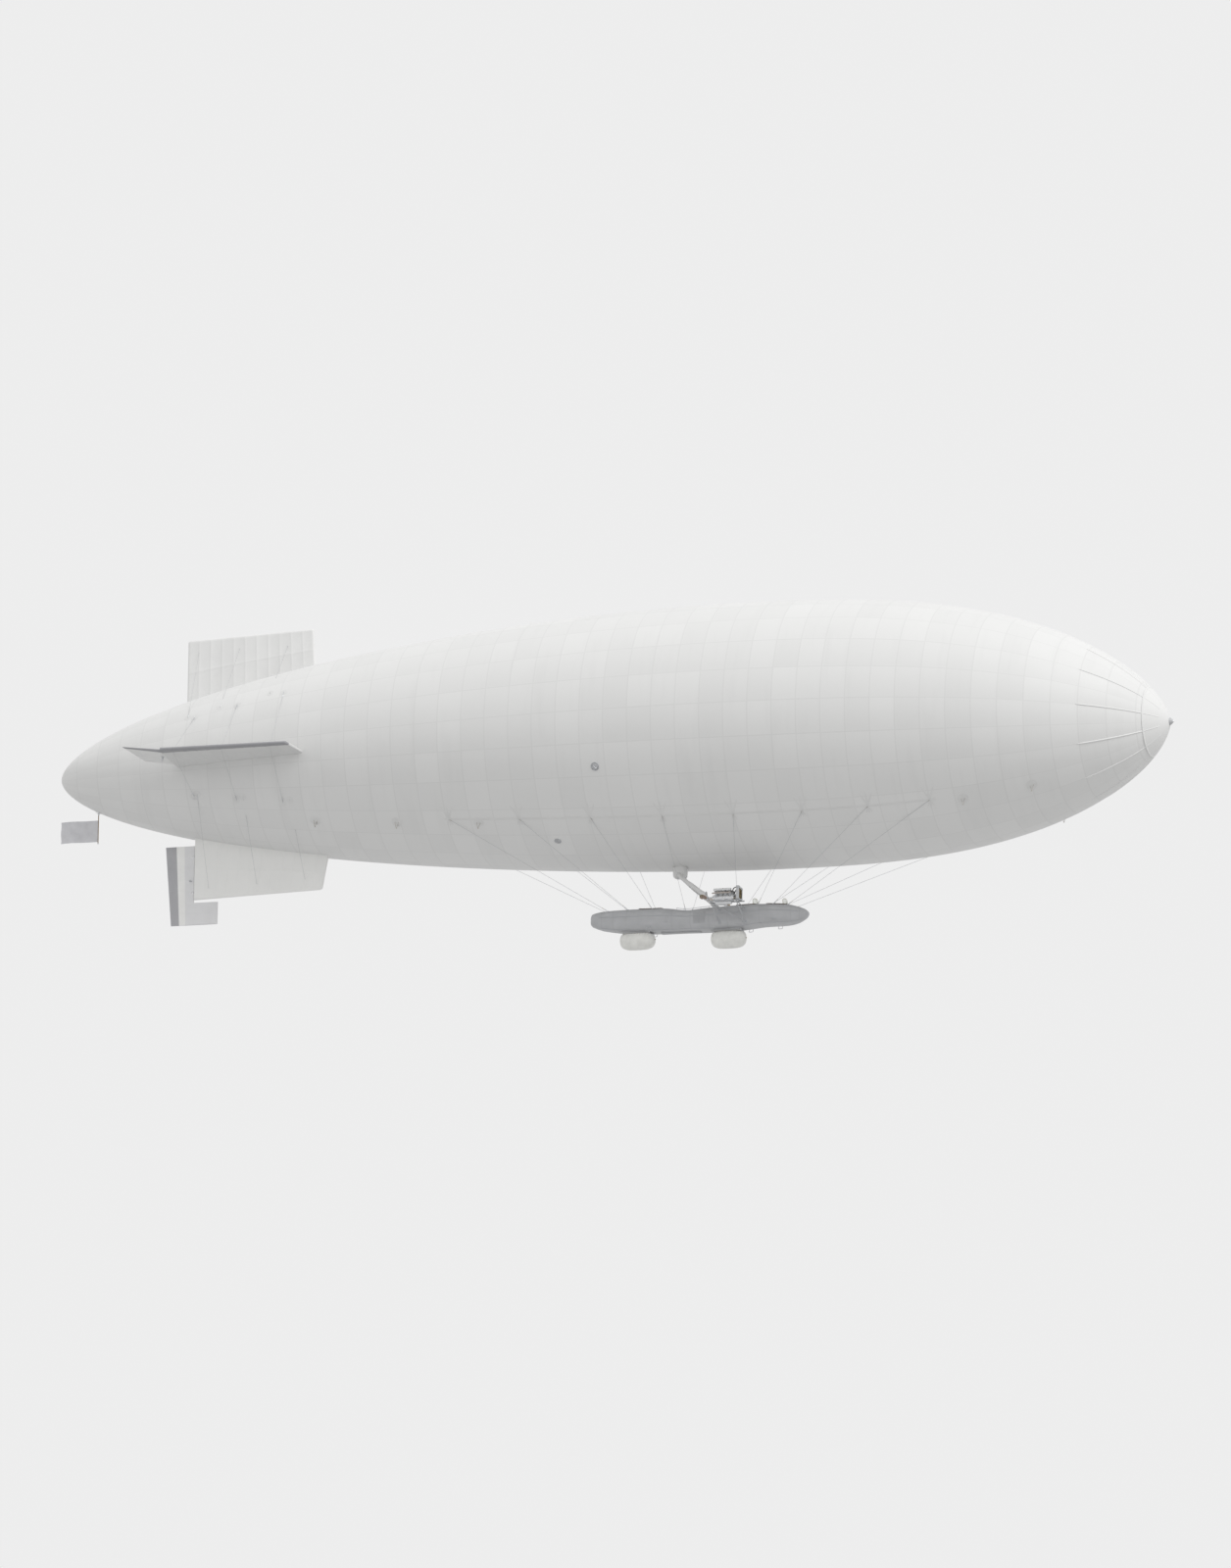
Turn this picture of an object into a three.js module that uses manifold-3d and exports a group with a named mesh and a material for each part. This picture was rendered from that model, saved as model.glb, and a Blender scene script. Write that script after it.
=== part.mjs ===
// Twin-engined non-rigid airship of the 1920s with an open car, as a scale model at 1:2.
// Nose towards +X, port side towards +Y, up is +Z. The origin is on the envelope's centre line at the
// station where its lift acts. Lengths in the tables are metres of the full-size ship, and FULL turns
// them into the model's millimetres. Stations are measured aft from the nose, and heights are measured
// from the straight line between the nose and the stern.
import * as THREE from 'three';
import { mergeVertices } from 'three/addons/utils/BufferGeometryUtils.js';
import Module from 'manifold-3d';

const wasm = await Module();
wasm.setup();

// Driving dimensions, in metres of the full-size ship
const FULL = 500; // millimetres of the model for one metre of the ship, a scale of 1:2
const LENGTH = 59.7;
const MAX_RADIUS = 6.95;
const MAX_STATION = 21.5; // where the envelope is widest
const BOW = 0.45; // how far the loaded envelope's centre line rises over the nose-to-stern line
const LIFT_STATION = 0.45 * LENGTH; // the origin
const NOSE_SHAPE = [2.7, 0.65]; // the two powers of the forward outline
const TAIL_SHAPE = [1.8, 0.56]; // the two powers of the after outline

const HINGE_STATION = 52.45; // rudder post and elevator hinge line
const FIN_THICK = 0.2;
const HINGE_RADIUS = 0.056; // round leading edge of each control surface
const STABILISER_HEIGHT = -0.5;
const STABILISER_HALF_SPAN = 7.0;
const ELEVATOR_HALF_SPAN = 6.7;
const ELEVATOR_ROOT = 4.0;
const ELEVATOR_CHORDS = [1.6, 2.05]; // at the root and at the tip
const ELEVATOR_AT_REST = 8; // degrees, trailing edge up
const RUDDER_TOP = -3.9;
const RUDDER_FOOT = -8.12;
const RUDDER_CHORDS = [1.53, 1.17];
const HORN_REACH = 1.35; // the rudder's balance horn reaches this far ahead of the hinge line
const HORN_SPAN = 1.17;

const ENGINE_SIDE = 2.3; // engine centre line from the centre plane
const SHAFT_HEIGHT = -8.78;
const PROPELLER_STATION = 24.1;
const PROPELLER_RADIUS = 1.24;

// Millimetres of the model
const WALL = 10; // envelope
const CAR_WALL = 10;
const SEAT_GAP = 0.3; // between pieces that touch
const PIN_RADIUS = 8;
const PIN_PLAY = 0.7;
const PIN_SIDES = 16;
const CABLE_RADIUS = 5;
const EDGE_HALF = 6; // half thickness of every tail surface at its thin edge

const bowAt = (station) => BOW * Math.sin((Math.PI * station) / LENGTH);
const X = (station) => (LIFT_STATION - station) * FULL;
const Z = (height) => (height - bowAt(LIFT_STATION)) * FULL;
const mm = (metres) => metres * FULL;

// Envelope radius in metres at a station
function radiusAt(station) {
  if (station <= MAX_STATION) {
    const u = 1 - Math.max(station, 0) / MAX_STATION;
    return MAX_RADIUS * (1 - u ** NOSE_SHAPE[0]) ** NOSE_SHAPE[1];
  }
  const t = 1 - Math.max(LENGTH - station, 0) / (LENGTH - MAX_STATION);
  return MAX_RADIUS * (1 - t ** TAIL_SHAPE[0]) ** TAIL_SHAPE[1];
}

// Closed geometry to its shared vertices, with faces turned outwards
function shared(geometry) {
  const bare = geometry.clone();
  for (const name of Object.keys(bare.attributes)) {
    if (name !== 'position') bare.deleteAttribute(name);
  }
  const merged = mergeVertices(bare, 1e-3);
  const p = merged.attributes.position.array;
  const all = merged.index.array;
  const kept = [];
  let volume = 0;
  for (let i = 0; i < all.length; i += 3) {
    const [a, b, c] = [all[i], all[i + 1], all[i + 2]];
    if (a === b || b === c || c === a) continue;
    kept.push(a, b, c);
    const va = new THREE.Vector3().fromArray(p, 3 * a);
    const vb = new THREE.Vector3().fromArray(p, 3 * b);
    const vc = new THREE.Vector3().fromArray(p, 3 * c);
    volume += va.dot(vb.cross(vc));
  }
  if (volume < 0) {
    for (let i = 0; i < kept.length; i += 3) [kept[i + 1], kept[i + 2]] = [kept[i + 2], kept[i + 1]];
  }
  return { vertices: new Float32Array(p), triangles: new Uint32Array(kept) };
}

function solid(geometry) {
  const { vertices, triangles } = shared(geometry);
  return new wasm.Manifold(new wasm.Mesh({ numProp: 3, vertProperties: vertices, triVerts: triangles }));
}

function joined(solids) {
  return solids.reduce((sum, next) => sum.add(next));
}

function surface(body) {
  const mesh = body.getMesh();
  const geometry = new THREE.BufferGeometry();
  geometry.setAttribute('position', new THREE.BufferAttribute(new Float32Array(mesh.vertProperties), 3));
  geometry.setIndex(new THREE.BufferAttribute(new Uint32Array(mesh.triVerts), 1));
  geometry.computeVertexNormals();
  return geometry;
}

// Primitive solids, placed in the model's frame
function block(x0, x1, y0, y1, z0, z1) {
  const box = new THREE.BoxGeometry(x1 - x0, y1 - y0, z1 - z0);
  return solid(box.translate((x0 + x1) / 2, (y0 + y1) / 2, (z0 + z1) / 2));
}

function rod(from, to, radius, sides = 8, endRadius = radius) {
  const a = new THREE.Vector3(...from);
  const b = new THREE.Vector3(...to);
  const along = b.clone().sub(a);
  const cylinder = new THREE.CylinderGeometry(endRadius, radius, along.length(), sides);
  const turn = new THREE.Quaternion().setFromUnitVectors(new THREE.Vector3(0, 1, 0), along.normalize());
  const middle = a.add(b).multiplyScalar(0.5);
  return solid(cylinder.applyQuaternion(turn).translate(middle.x, middle.y, middle.z));
}

// Solid between rings that have the same number of [x, y, z] points, closed by a flat fan at each end
function skin(rings) {
  const count = rings[0].length;
  const points = rings.flat();
  const faces = [];
  for (let r = 0; r + 1 < rings.length; r += 1) {
    for (let i = 0; i < count; i += 1) {
      const a = r * count + i;
      const b = r * count + ((i + 1) % count);
      faces.push(a, b, b + count, a, b + count, a + count);
    }
  }
  for (const [ring, turned] of [[0, true], [rings.length - 1, false]]) {
    const centre = [0, 1, 2].map((k) => rings[ring].reduce((sum, p) => sum + p[k], 0) / count);
    points.push(centre);
    for (let i = 0; i < count; i += 1) {
      const a = ring * count + i;
      const b = ring * count + ((i + 1) % count);
      if (turned) faces.push(b, a, points.length - 1);
      else faces.push(a, b, points.length - 1);
    }
  }
  const geometry = new THREE.BufferGeometry();
  geometry.setAttribute('position', new THREE.Float32BufferAttribute(points.flat(), 3));
  geometry.setIndex(faces);
  return solid(geometry);
}

const extruded = (shape, depth, curveSegments = 12) => new THREE.ExtrudeGeometry(shape,
  { depth, bevelEnabled: false, curveSegments });

// Outline of [x, y] points with a chamfered edge, standing in the XZ plane (upright) or lying in the XY
// plane at a height
function plate(outline, thick, edge, place) {
  const shape = new THREE.Shape(outline.map(([u, v]) => new THREE.Vector2(u, v)));
  const flank = thick / 2 - EDGE_HALF;
  const geometry = new THREE.ExtrudeGeometry(shape, {
    depth: 2 * EDGE_HALF,
    bevelThickness: flank,
    bevelSize: edge,
    bevelOffset: -edge,
    bevelSegments: 1,
  });
  geometry.translate(0, 0, -EDGE_HALF);
  if (place.upright) geometry.rotateX(Math.PI / 2);
  else geometry.translate(0, 0, place.height);
  return solid(geometry);
}

// Group of the whole ship
const ship = new THREE.Group();
const SIDES = [['port', 1], ['starboard', -1]];

function add(name, body, look) {
  const mesh = new THREE.Mesh(surface(body), new THREE.MeshStandardMaterial(look));
  mesh.name = name;
  ship.add(mesh);
  return mesh;
}

const SILVER_CLOTH = { color: 0xd9dad8, roughness: 0.62, metalness: 0.1 };
const FIN_CLOTH = { color: 0xcfd0ce, roughness: 0.7, metalness: 0.05 };
const DARK_METAL = { color: 0x4a4b4d, roughness: 0.5, metalness: 0.6 };
const CAR_CLOTH = { color: 0x5d5f61, roughness: 0.6, metalness: 0.1 };
const BARE_STEEL = { color: 0x8d9093, roughness: 0.4, metalness: 0.9 };
const BAG_RUBBER = { color: 0xb4b4b0, roughness: 0.7, metalness: 0 };
const VARNISHED_WOOD = { color: 0x6d4a2f, roughness: 0.4, metalness: 0 };
const SEAT_LEATHER = { color: 0x3b2f28, roughness: 0.6, metalness: 0 };
const CLEAR_GLASS = { color: 0xcfd8dc, roughness: 0.05, metalness: 0, transparent: true, opacity: 0.4 };
const ENSIGN_CLOTH = { color: 0x77787a, roughness: 0.9, metalness: 0 };

// Envelope: one turned outline, bent by the bow, and the same outline one wall further in
const ENVELOPE_RINGS = 24;
const ENVELOPE_SIDES = 36;

function outlinePoints(growth) {
  const points = [];
  for (let i = 0; i <= ENVELOPE_RINGS; i += 1) {
    const station = (LENGTH * (1 - Math.cos((Math.PI * i) / ENVELOPE_RINGS))) / 2;
    const step = 0.02;
    const radius = mm(radiusAt(station));
    const slope = (radiusAt(station + step) - radiusAt(station - step)) / (2 * step);
    const tilt = i === 0 || i === ENVELOPE_RINGS ? Math.PI / 2 : Math.atan(Math.abs(slope));
    const side = Math.sign(MAX_STATION - station);
    points.push(new THREE.Vector2(
      Math.max(radius + growth * Math.cos(tilt), 0) * (i % ENVELOPE_RINGS ? 1 : 0),
      X(station) + side * growth * Math.sin(tilt),
    ));
  }
  return points;
}

// Solid turned round the centre line and bent by the bow
function turned(points) {
  const geometry = new THREE.LatheGeometry(points, ENVELOPE_SIDES);
  geometry.rotateZ(-Math.PI / 2);
  const p = geometry.attributes.position;
  for (let i = 0; i < p.count; i += 1) {
    const station = Math.min(Math.max(LIFT_STATION - p.getX(i) / FULL, 0), LENGTH);
    p.setZ(i, p.getZ(i) + Z(bowAt(station)));
  }
  return solid(geometry);
}
const envelopeSolid = (growth) => turned(outlinePoints(growth));

const outside = envelopeSolid(0);
const clearOfEnvelope = envelopeSolid(SEAT_GAP);

// Point on the envelope at a station and an angle up from the lowest line, on one side (port is +1)
function onEnvelope(station, degrees, side, lift = 0) {
  const angle = (degrees * Math.PI) / 180;
  const radius = mm(radiusAt(station)) + lift;
  return [X(station), side * radius * Math.sin(angle), Z(bowAt(station)) - radius * Math.cos(angle)];
}

const MANIFOLD_STATION = 26.4;
const MANIFOLD_BORE = 120;
const BORE_DEEP = 100;
const bellyHeight = onEnvelope(MANIFOLD_STATION, 0, 1)[2];
const airHole = rod([X(MANIFOLD_STATION), 0, bellyHeight - BORE_DEEP],
  [X(MANIFOLD_STATION), 0, bellyHeight + BORE_DEEP], MANIFOLD_BORE, 20);
add('envelope', outside.subtract(envelopeSolid(-WALL)).subtract(airHole), SILVER_CLOTH);

// Strip laid along the envelope over its rings, at an angle up from the lowest line
function ringStation(ring) {
  return (LENGTH * (1 - Math.cos((Math.PI * ring) / ENVELOPE_RINGS))) / 2;
}

function strip(firstRing, lastRing, degrees, width, thick) {
  const rings = [];
  const angle = (degrees * Math.PI) / 180;
  const across = [0, Math.cos(angle), Math.sin(angle)];
  const low = outlinePoints(2 * SEAT_GAP);
  const high = outlinePoints(2 * SEAT_GAP + thick);
  for (let ring = firstRing; ring <= lastRing; ring += 1) {
    const corner = (points, out) => {
      const middle = [points[ring].y, points[ring].x * Math.sin(angle), -points[ring].x * Math.cos(angle)];
      middle[2] += Z(bowAt(ringStation(ring)));
      return middle.map((value, k) => value + (out * across[k] * width) / 2);
    };
    rings.push([corner(low, -1), corner(low, 1), corner(high, 1), corner(high, -1)]);
  }
  return skin(rings);
}

// Nose cap with its mooring spindle and the battens that spread its pull
const BATTENS = 12;
const BATTEN_RINGS = [1, 4];
const BATTEN_WIDE = 26;
const BATTEN_THICK = 10;
const CAP_THICK = 14;
const CAP_RINGS = 2;
// Millimetres ahead of the nose, and radii
const NOSE_CONE = { back: 4, front: 70, foot: 90, head: 44 };
const SPINDLE = { back: 60, front: 100, radius: 26 };

function noseCap() {
  const inner = outlinePoints(2 * SEAT_GAP).slice(0, CAP_RINGS + 1);
  const outer = outlinePoints(CAP_THICK).slice(0, CAP_RINGS + 1);
  const parts = [turned([...inner, ...outer.reverse()])];
  for (let i = 0; i < BATTENS; i += 1) {
    parts.push(strip(...BATTEN_RINGS, (360 * i) / BATTENS, BATTEN_WIDE, BATTEN_THICK));
  }
  const ahead = (reach) => [X(0) + reach, 0, Z(0)];
  parts.push(rod(ahead(NOSE_CONE.back), ahead(NOSE_CONE.front), NOSE_CONE.foot, 20, NOSE_CONE.head));
  parts.push(rod(ahead(SPINDLE.back), ahead(SPINDLE.front), SPINDLE.radius, 16));
  return joined(parts);
}
add('nose_cap', noseCap(), SILVER_CLOTH);

// Fixed tail surfaces. Rows are [station, height or distance out]
const UPPER_FIN = [
  [46.07, 4.6],
  [46.22, 7.32],
  [46.37, 7.47],
  [52.9, 7.18],
  [53.0, 7.06],
  [53.0, 2.8],
];
const POST_STATION = HINGE_STATION - HINGE_RADIUS - 0.02; // after edge of the surfaces that carry a hinge
const LOWER_FIN = [
  [45.15, -4.2],
  [45.4, -6.45],
  [45.55, -6.6],
  [POST_STATION, -6.8],
  [POST_STATION, -2.9],
];
const STABILISER = [
  [45.25, 4.4],
  [45.45, STABILISER_HALF_SPAN - 0.18],
  [45.65, STABILISER_HALF_SPAN],
  [POST_STATION, STABILISER_HALF_SPAN],
  [POST_STATION, 2.9],
];

const FIN_EDGE = 60; // width of the chamfer that thins each fin to its edge
const uprightOutline = (rows) => rows.map(([station, height]) => [X(station), Z(height)]);
const flatOutline = (rows, side) => rows.map(([station, out]) => [X(station), side * mm(out)]);

// Hinges: the fixed surface carries eyes, and the moving one has a notch with a pin at each
const EYE_LONG = 30;
const EYE_RADIUS = 20;
const EYE_ARM = { reach: 60, half: 16 };
const NOTCH = { long: 60, deep: 45, clear: 100 };
const PIN_SEAT = 15; // how far a pin runs into the surface at each end
const HORN_NOSE = { taper: 90, half: 9 };

const SURFACE_NOSE_SIDES = 6;

// Moving surface along local Z with its hinge line on that axis, its trailing edge towards -X. Chords are
// those at its root and its tip
function controlSurface(root, tip, chords, eyes) {
  const r = mm(HINGE_RADIUS);
  const nose = Array.from({ length: SURFACE_NOSE_SIDES + 1 }, (unused, i) => {
    const angle = (Math.PI * i) / SURFACE_NOSE_SIDES - Math.PI / 2;
    return [r * Math.cos(angle), r * Math.sin(angle)];
  });
  let body = skin([root, tip].map((z, i) => [
    ...nose.map(([x, y]) => [x, y, z]),
    [-mm(chords[i]), EDGE_HALF, z],
    [-mm(chords[i]), -EDGE_HALF, z],
  ]));
  for (const at of eyes) {
    const half = NOTCH.long / 2;
    body = body.subtract(block(-NOTCH.deep, NOTCH.clear, -NOTCH.clear, NOTCH.clear, at - half, at + half));
    const end = half + PIN_SEAT;
    body = body.add(rod([0, 0, at - end], [0, 0, at + end], PIN_RADIUS, PIN_SIDES));
  }
  return body;
}

// Balance horn ahead of the hinge line, along local Z up to the surface's tip
function balanceHorn(tip) {
  const r = mm(HINGE_RADIUS);
  const horn = new THREE.Shape();
  const reach = mm(HORN_REACH);
  horn.moveTo(0, r);
  horn.lineTo(0, -r);
  horn.lineTo(reach - HORN_NOSE.taper, -r);
  horn.lineTo(reach, -HORN_NOSE.half);
  horn.lineTo(reach, HORN_NOSE.half);
  horn.lineTo(reach - HORN_NOSE.taper, r);
  return solid(extruded(horn, mm(HORN_SPAN)).translate(0, 0, tip - mm(HORN_SPAN)));
}

// Eyes of a fixed surface, along local Z on the same axis
function hingeEyes(eyes) {
  const bore = (PIN_RADIUS + PIN_PLAY) / Math.cos(Math.PI / PIN_SIDES);
  return joined(eyes.map((at) => {
    const half = EYE_LONG / 2;
    const arm = block(0, EYE_ARM.reach, -EYE_ARM.half, EYE_ARM.half, at - half, at + half);
    const ring = rod([0, 0, at - half], [0, 0, at + half], EYE_RADIUS, 12);
    const hole = rod([0, 0, at - EYE_LONG], [0, 0, at + EYE_LONG], bore, PIN_SIDES);
    return arm.add(ring).subtract(hole);
  }));
}

const placed = (body, matrix) => solid(surface(body).applyMatrix4(matrix));

const RUDDER_EYES = [-4.5, -6.4].map((height) => Z(height));
const ELEVATOR_EYES = [4.6, 6.2].map((out) => mm(out));

const fin = (outline, place) => plate(outline, mm(FIN_THICK), FIN_EDGE, place).subtract(clearOfEnvelope);

add('upper_fin', fin(uprightOutline(UPPER_FIN), { upright: true }), FIN_CLOTH);

const rudderPost = new THREE.Matrix4().makeTranslation(X(HINGE_STATION), 0, 0);
add('lower_fin', fin(uprightOutline(LOWER_FIN), { upright: true })
  .add(placed(hingeEyes(RUDDER_EYES), rudderPost)), FIN_CLOTH);

const FOOT_UP = new THREE.Matrix4().makeScale(1, 1, -1);

function rudderBody() {
  const eyes = RUDDER_EYES.map((at) => -at);
  const hanging = controlSurface(-Z(RUDDER_TOP), -Z(RUDDER_FOOT), RUDDER_CHORDS, eyes)
    .add(balanceHorn(-Z(RUDDER_FOOT)));
  return placed(placed(hanging, FOOT_UP), rudderPost);
}
add('rudder', rudderBody(), FIN_CLOTH);

for (const [name, side] of SIDES) {
  // Local Z of the control surface goes outboard and its local Y goes down
  const outboard = new THREE.Matrix4().makeRotationX(-Math.PI / 2);
  const mirror = new THREE.Matrix4().makeScale(1, side, 1);
  const atHinge = new THREE.Matrix4().makeTranslation(X(HINGE_STATION), 0, Z(STABILISER_HEIGHT));
  const fixed = new THREE.Matrix4().multiplyMatrices(atHinge, mirror).multiply(outboard);
  add(`${name}_stabiliser`, fin(flatOutline(STABILISER, side), { height: Z(STABILISER_HEIGHT) })
    .add(placed(hingeEyes(ELEVATOR_EYES), fixed)), FIN_CLOTH);
  const moving = new THREE.Matrix4().multiplyMatrices(mirror, outboard);
  const elevator = placed(
    controlSurface(mm(ELEVATOR_ROOT), mm(ELEVATOR_HALF_SPAN), ELEVATOR_CHORDS, ELEVATOR_EYES), moving);
  const mesh = add(`${name}_elevator`, elevator, FIN_CLOTH);
  mesh.position.set(X(HINGE_STATION), 0, Z(STABILISER_HEIGHT));
  mesh.rotation.y = THREE.MathUtils.degToRad(ELEVATOR_AT_REST);
}

// Ensign on its staff under the tail
const STAFF = { station: 57.67, head: -1.1, collarFoot: -1.85, foot: -3.5, radius: 12, collar: 60 };
const ENSIGN = { top: -2.23, foot: -3.38, reach: 2.0, thick: 8, wave: 35, turns: 7 };

function ensignCloth() {
  const near = X(STAFF.station) - STAFF.radius - SEAT_GAP;
  const steps = 12;
  const edge = (offset) => Array.from({ length: steps + 1 }, (unused, i) => {
    const along = i / steps;
    const wave = ENSIGN.wave * along * Math.sin(ENSIGN.turns * along);
    return new THREE.Vector2(near - along * mm(ENSIGN.reach), offset + wave);
  });
  const shape = new THREE.Shape([...edge(-ENSIGN.thick / 2), ...edge(ENSIGN.thick / 2).reverse()]);
  return extruded(shape, mm(ENSIGN.top - ENSIGN.foot)).translate(0, 0, Z(ENSIGN.foot));
}
const staffAt = (height) => [X(STAFF.station), 0, Z(height)];
add('ensign_staff', rod(staffAt(STAFF.head), staffAt(STAFF.foot), STAFF.radius, 12)
  .add(rod(staffAt(STAFF.head), staffAt(STAFF.collarFoot), STAFF.collar, 16))
  .subtract(clearOfEnvelope), BARE_STEEL);
add('ensign', solid(ensignCloth()), ENSIGN_CLOTH);

// Valves in the envelope's skin. Rows are [name, station, degrees up from the lowest line, radius]
const VALVES = [
  ['gas_valve', 29.15, 64.5, 115],
  ['air_valve', 31.98, 26, 95],
];
// Distances off the skin, and the dome's radii as shares of the ring's
const VALVE = { foot: -80, ring: 12, dome: 28, domeFoot: 0.72, domeHead: 0.45 };
for (const [name, station, degrees, radius] of VALVES) {
  for (const [hand, side] of SIDES) {
    const off = (lift) => onEnvelope(station, degrees, side, lift);
    const ring = rod(off(VALVE.foot), off(VALVE.ring), radius, 20);
    const dome = rod(off(VALVE.ring - 2), off(VALVE.dome), radius * VALVE.domeFoot, 20,
      radius * VALVE.domeHead);
    add(`${name}_${hand}`, ring.add(dome).subtract(clearOfEnvelope), DARK_METAL);
  }
}

// Car sections, from nose to tail: [station, half width, top, bottom]
const CAR_SECTIONS = [
  [19.2, 0.05, -9.22, -9.34],
  [19.35, 0.24, -9.06, -9.5],
  [19.75, 0.44, -8.9, -9.68],
  [20.4, 0.62, -8.76, -9.78],
  [21.6, 0.74, -8.7, -9.78],
  [23.0, 0.76, -8.7, -9.9],
  [24.6, 0.74, -8.76, -9.92],
  [25.7, 0.72, -8.82, -9.9],
  [26.9, 0.72, -8.66, -9.88],
  [28.8, 0.66, -8.62, -9.8],
  [30.2, 0.48, -8.64, -9.6],
  [30.8, 0.3, -8.74, -9.4],
  [30.9, 0.18, -8.86, -9.3],
];
const CAR_SIDES = 20;
const CAR_SQUARENESS = 0.62; // 1 is an ellipse, 0 is a box
const powered = (value, power) => Math.sign(value) * Math.abs(value) ** power;

function carRing(row, growth) {
  const [station, halfWidth, top, bottom] = row;
  const last = CAR_SECTIONS[CAR_SECTIONS.length - 1][0];
  const lengthways = station === CAR_SECTIONS[0][0] ? growth : station === last ? -growth : 0;
  const wide = mm(halfWidth) + growth;
  const high = mm(top - bottom) / 2 + growth;
  const middle = Z((top + bottom) / 2);
  return Array.from({ length: CAR_SIDES }, (unused, i) => {
    const angle = (2 * Math.PI * (i + 0.5)) / CAR_SIDES;
    const across = wide * powered(Math.cos(angle), CAR_SQUARENESS);
    return [X(station) + lengthways, across, middle + high * powered(Math.sin(angle), CAR_SQUARENESS)];
  });
}
const carSolid = (growth) => skin(CAR_SECTIONS.map((row) => carRing(row, growth)));

// Half width, top and bottom of the car at any station
function carAt(station) {
  const next = CAR_SECTIONS.findIndex((row) => row[0] >= station);
  const [a, b] = [CAR_SECTIONS[Math.max(next - 1, 0)], CAR_SECTIONS[next]];
  const part = b[0] === a[0] ? 0 : (station - a[0]) / (b[0] - a[0]);
  return [1, 2, 3].map((k) => a[k] + part * (b[k] - a[k]));
}

const carOutside = carSolid(0);
const carInside = carSolid(-CAR_WALL);
const clearOfCar = carSolid(SEAT_GAP);
const clearInCar = carSolid(-CAR_WALL - SEAT_GAP);

// Cockpits: [first station, last station, half width]
const COCKPIT_SQUARENESS = 0.55;
const COCKPIT_SIDES = 20;
const COCKPIT_CUT = { foot: -9.1, high: 600 };
const COCKPITS = [
  [20.35, 21.45, 0.46],
  [21.95, 23.05, 0.52],
  [27.0, 28.3, 0.48],
];

function cockpitCut([first, last, halfWidth]) {
  const [long, wide] = [mm(last - first) / 2, mm(halfWidth)];
  const rim = Array.from({ length: COCKPIT_SIDES }, (unused, i) => {
    const angle = (2 * Math.PI * (i + 0.5)) / COCKPIT_SIDES;
    return new THREE.Vector2(long * powered(Math.cos(angle), COCKPIT_SQUARENESS),
      wide * powered(Math.sin(angle), COCKPIT_SQUARENESS));
  });
  const cut = extruded(new THREE.Shape(rim), COCKPIT_CUT.high);
  return solid(cut.translate(X((first + last) / 2), 0, Z(COCKPIT_CUT.foot)));
}
const carShell = COCKPITS.reduce((shell, row) => shell.subtract(cockpitCut(row)),
  carOutside.subtract(carInside));

// The shell's sections, split at its frames: [name, first station, last station]
const CAR_PARTS = [
  ['car_nose_cowl', 19.0, 20.05],
  ['car_forward_section', 20.05, 21.7],
  ['car_middle_section', 21.7, 23.4],
  ['car_centre_section', 23.4, 26.4],
  ['car_after_section', 26.4, 29.6],
  ['car_tail_cone', 29.6, 31.1],
];
const CLEAR_WIDE = 600; // half width of any block that spans the car
for (const [name, first, last] of CAR_PARTS) {
  const half = SEAT_GAP / 2;
  const length = block(X(last) + half, X(first) - half, -CLEAR_WIDE, CLEAR_WIDE, Z(-11), Z(-8));
  add(name, carShell.intersect(length), CAR_CLOTH);
}

const FLOOR_TOP = -9.66;
const FLOOR_THICK = 14;
const FLOOR_ENDS = [20.15, 29.3];
const floorSpace = block(X(FLOOR_ENDS[1]), X(FLOOR_ENDS[0]), -CLEAR_WIDE, CLEAR_WIDE,
  Z(FLOOR_TOP) - FLOOR_THICK, Z(FLOOR_TOP));
add('car_floor', clearInCar.intersect(floorSpace), VARNISHED_WOOD);

// Seats: [name, station of the back, half width]
const SEATS = [
  ['forward_seat', 21.38, 0.4],
  ['middle_seat', 22.98, 0.46],
  ['after_seat', 28.2, 0.42],
];
const SEAT = { depth: 0.42, high: 0.4, back: 0.82, backThick: 0.08 };
const floorAt = Z(FLOOR_TOP) + SEAT_GAP;
for (const [name, station, halfWidth] of SEATS) {
  const wide = mm(halfWidth);
  const bench = block(X(station), X(station - SEAT.depth), -wide, wide, floorAt, floorAt + mm(SEAT.high));
  const back = block(X(station), X(station - SEAT.backThick), -wide, wide, floorAt, floorAt + mm(SEAT.back));
  add(name, bench.add(back), SEAT_LEATHER);
}

// Instrument panel across the forward cockpit, the rudder wheel on its column and the elevator wheel
const PANEL = { station: 20.42, thick: 10, foot: -9.02, head: -8.3 };
const panelSpace = block(X(PANEL.station) - PANEL.thick, X(PANEL.station), -CLEAR_WIDE, CLEAR_WIDE,
  Z(PANEL.foot), Z(PANEL.head));
add('instrument_panel', clearInCar.intersect(panelSpace), VARNISHED_WOOD);

// Radii in millimetres. The column runs from head to foot, each given forward and outboard of the hub
const WHEELS = {
  rudder_wheel: {
    at: [20.72, 0, -9.2], radius: 85, rim: 7, column: 9, base: 34, head: [12, 0], foot: [40, 0],
  },
  elevator_wheel: {
    at: [20.95, 0.44, -9.22], radius: 75, rim: 6, column: 8, base: 26, head: [0, 12], foot: [0, 12],
  },
};
const HUB_HALF = 14;
const FOOT_THICK = 12;

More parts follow.
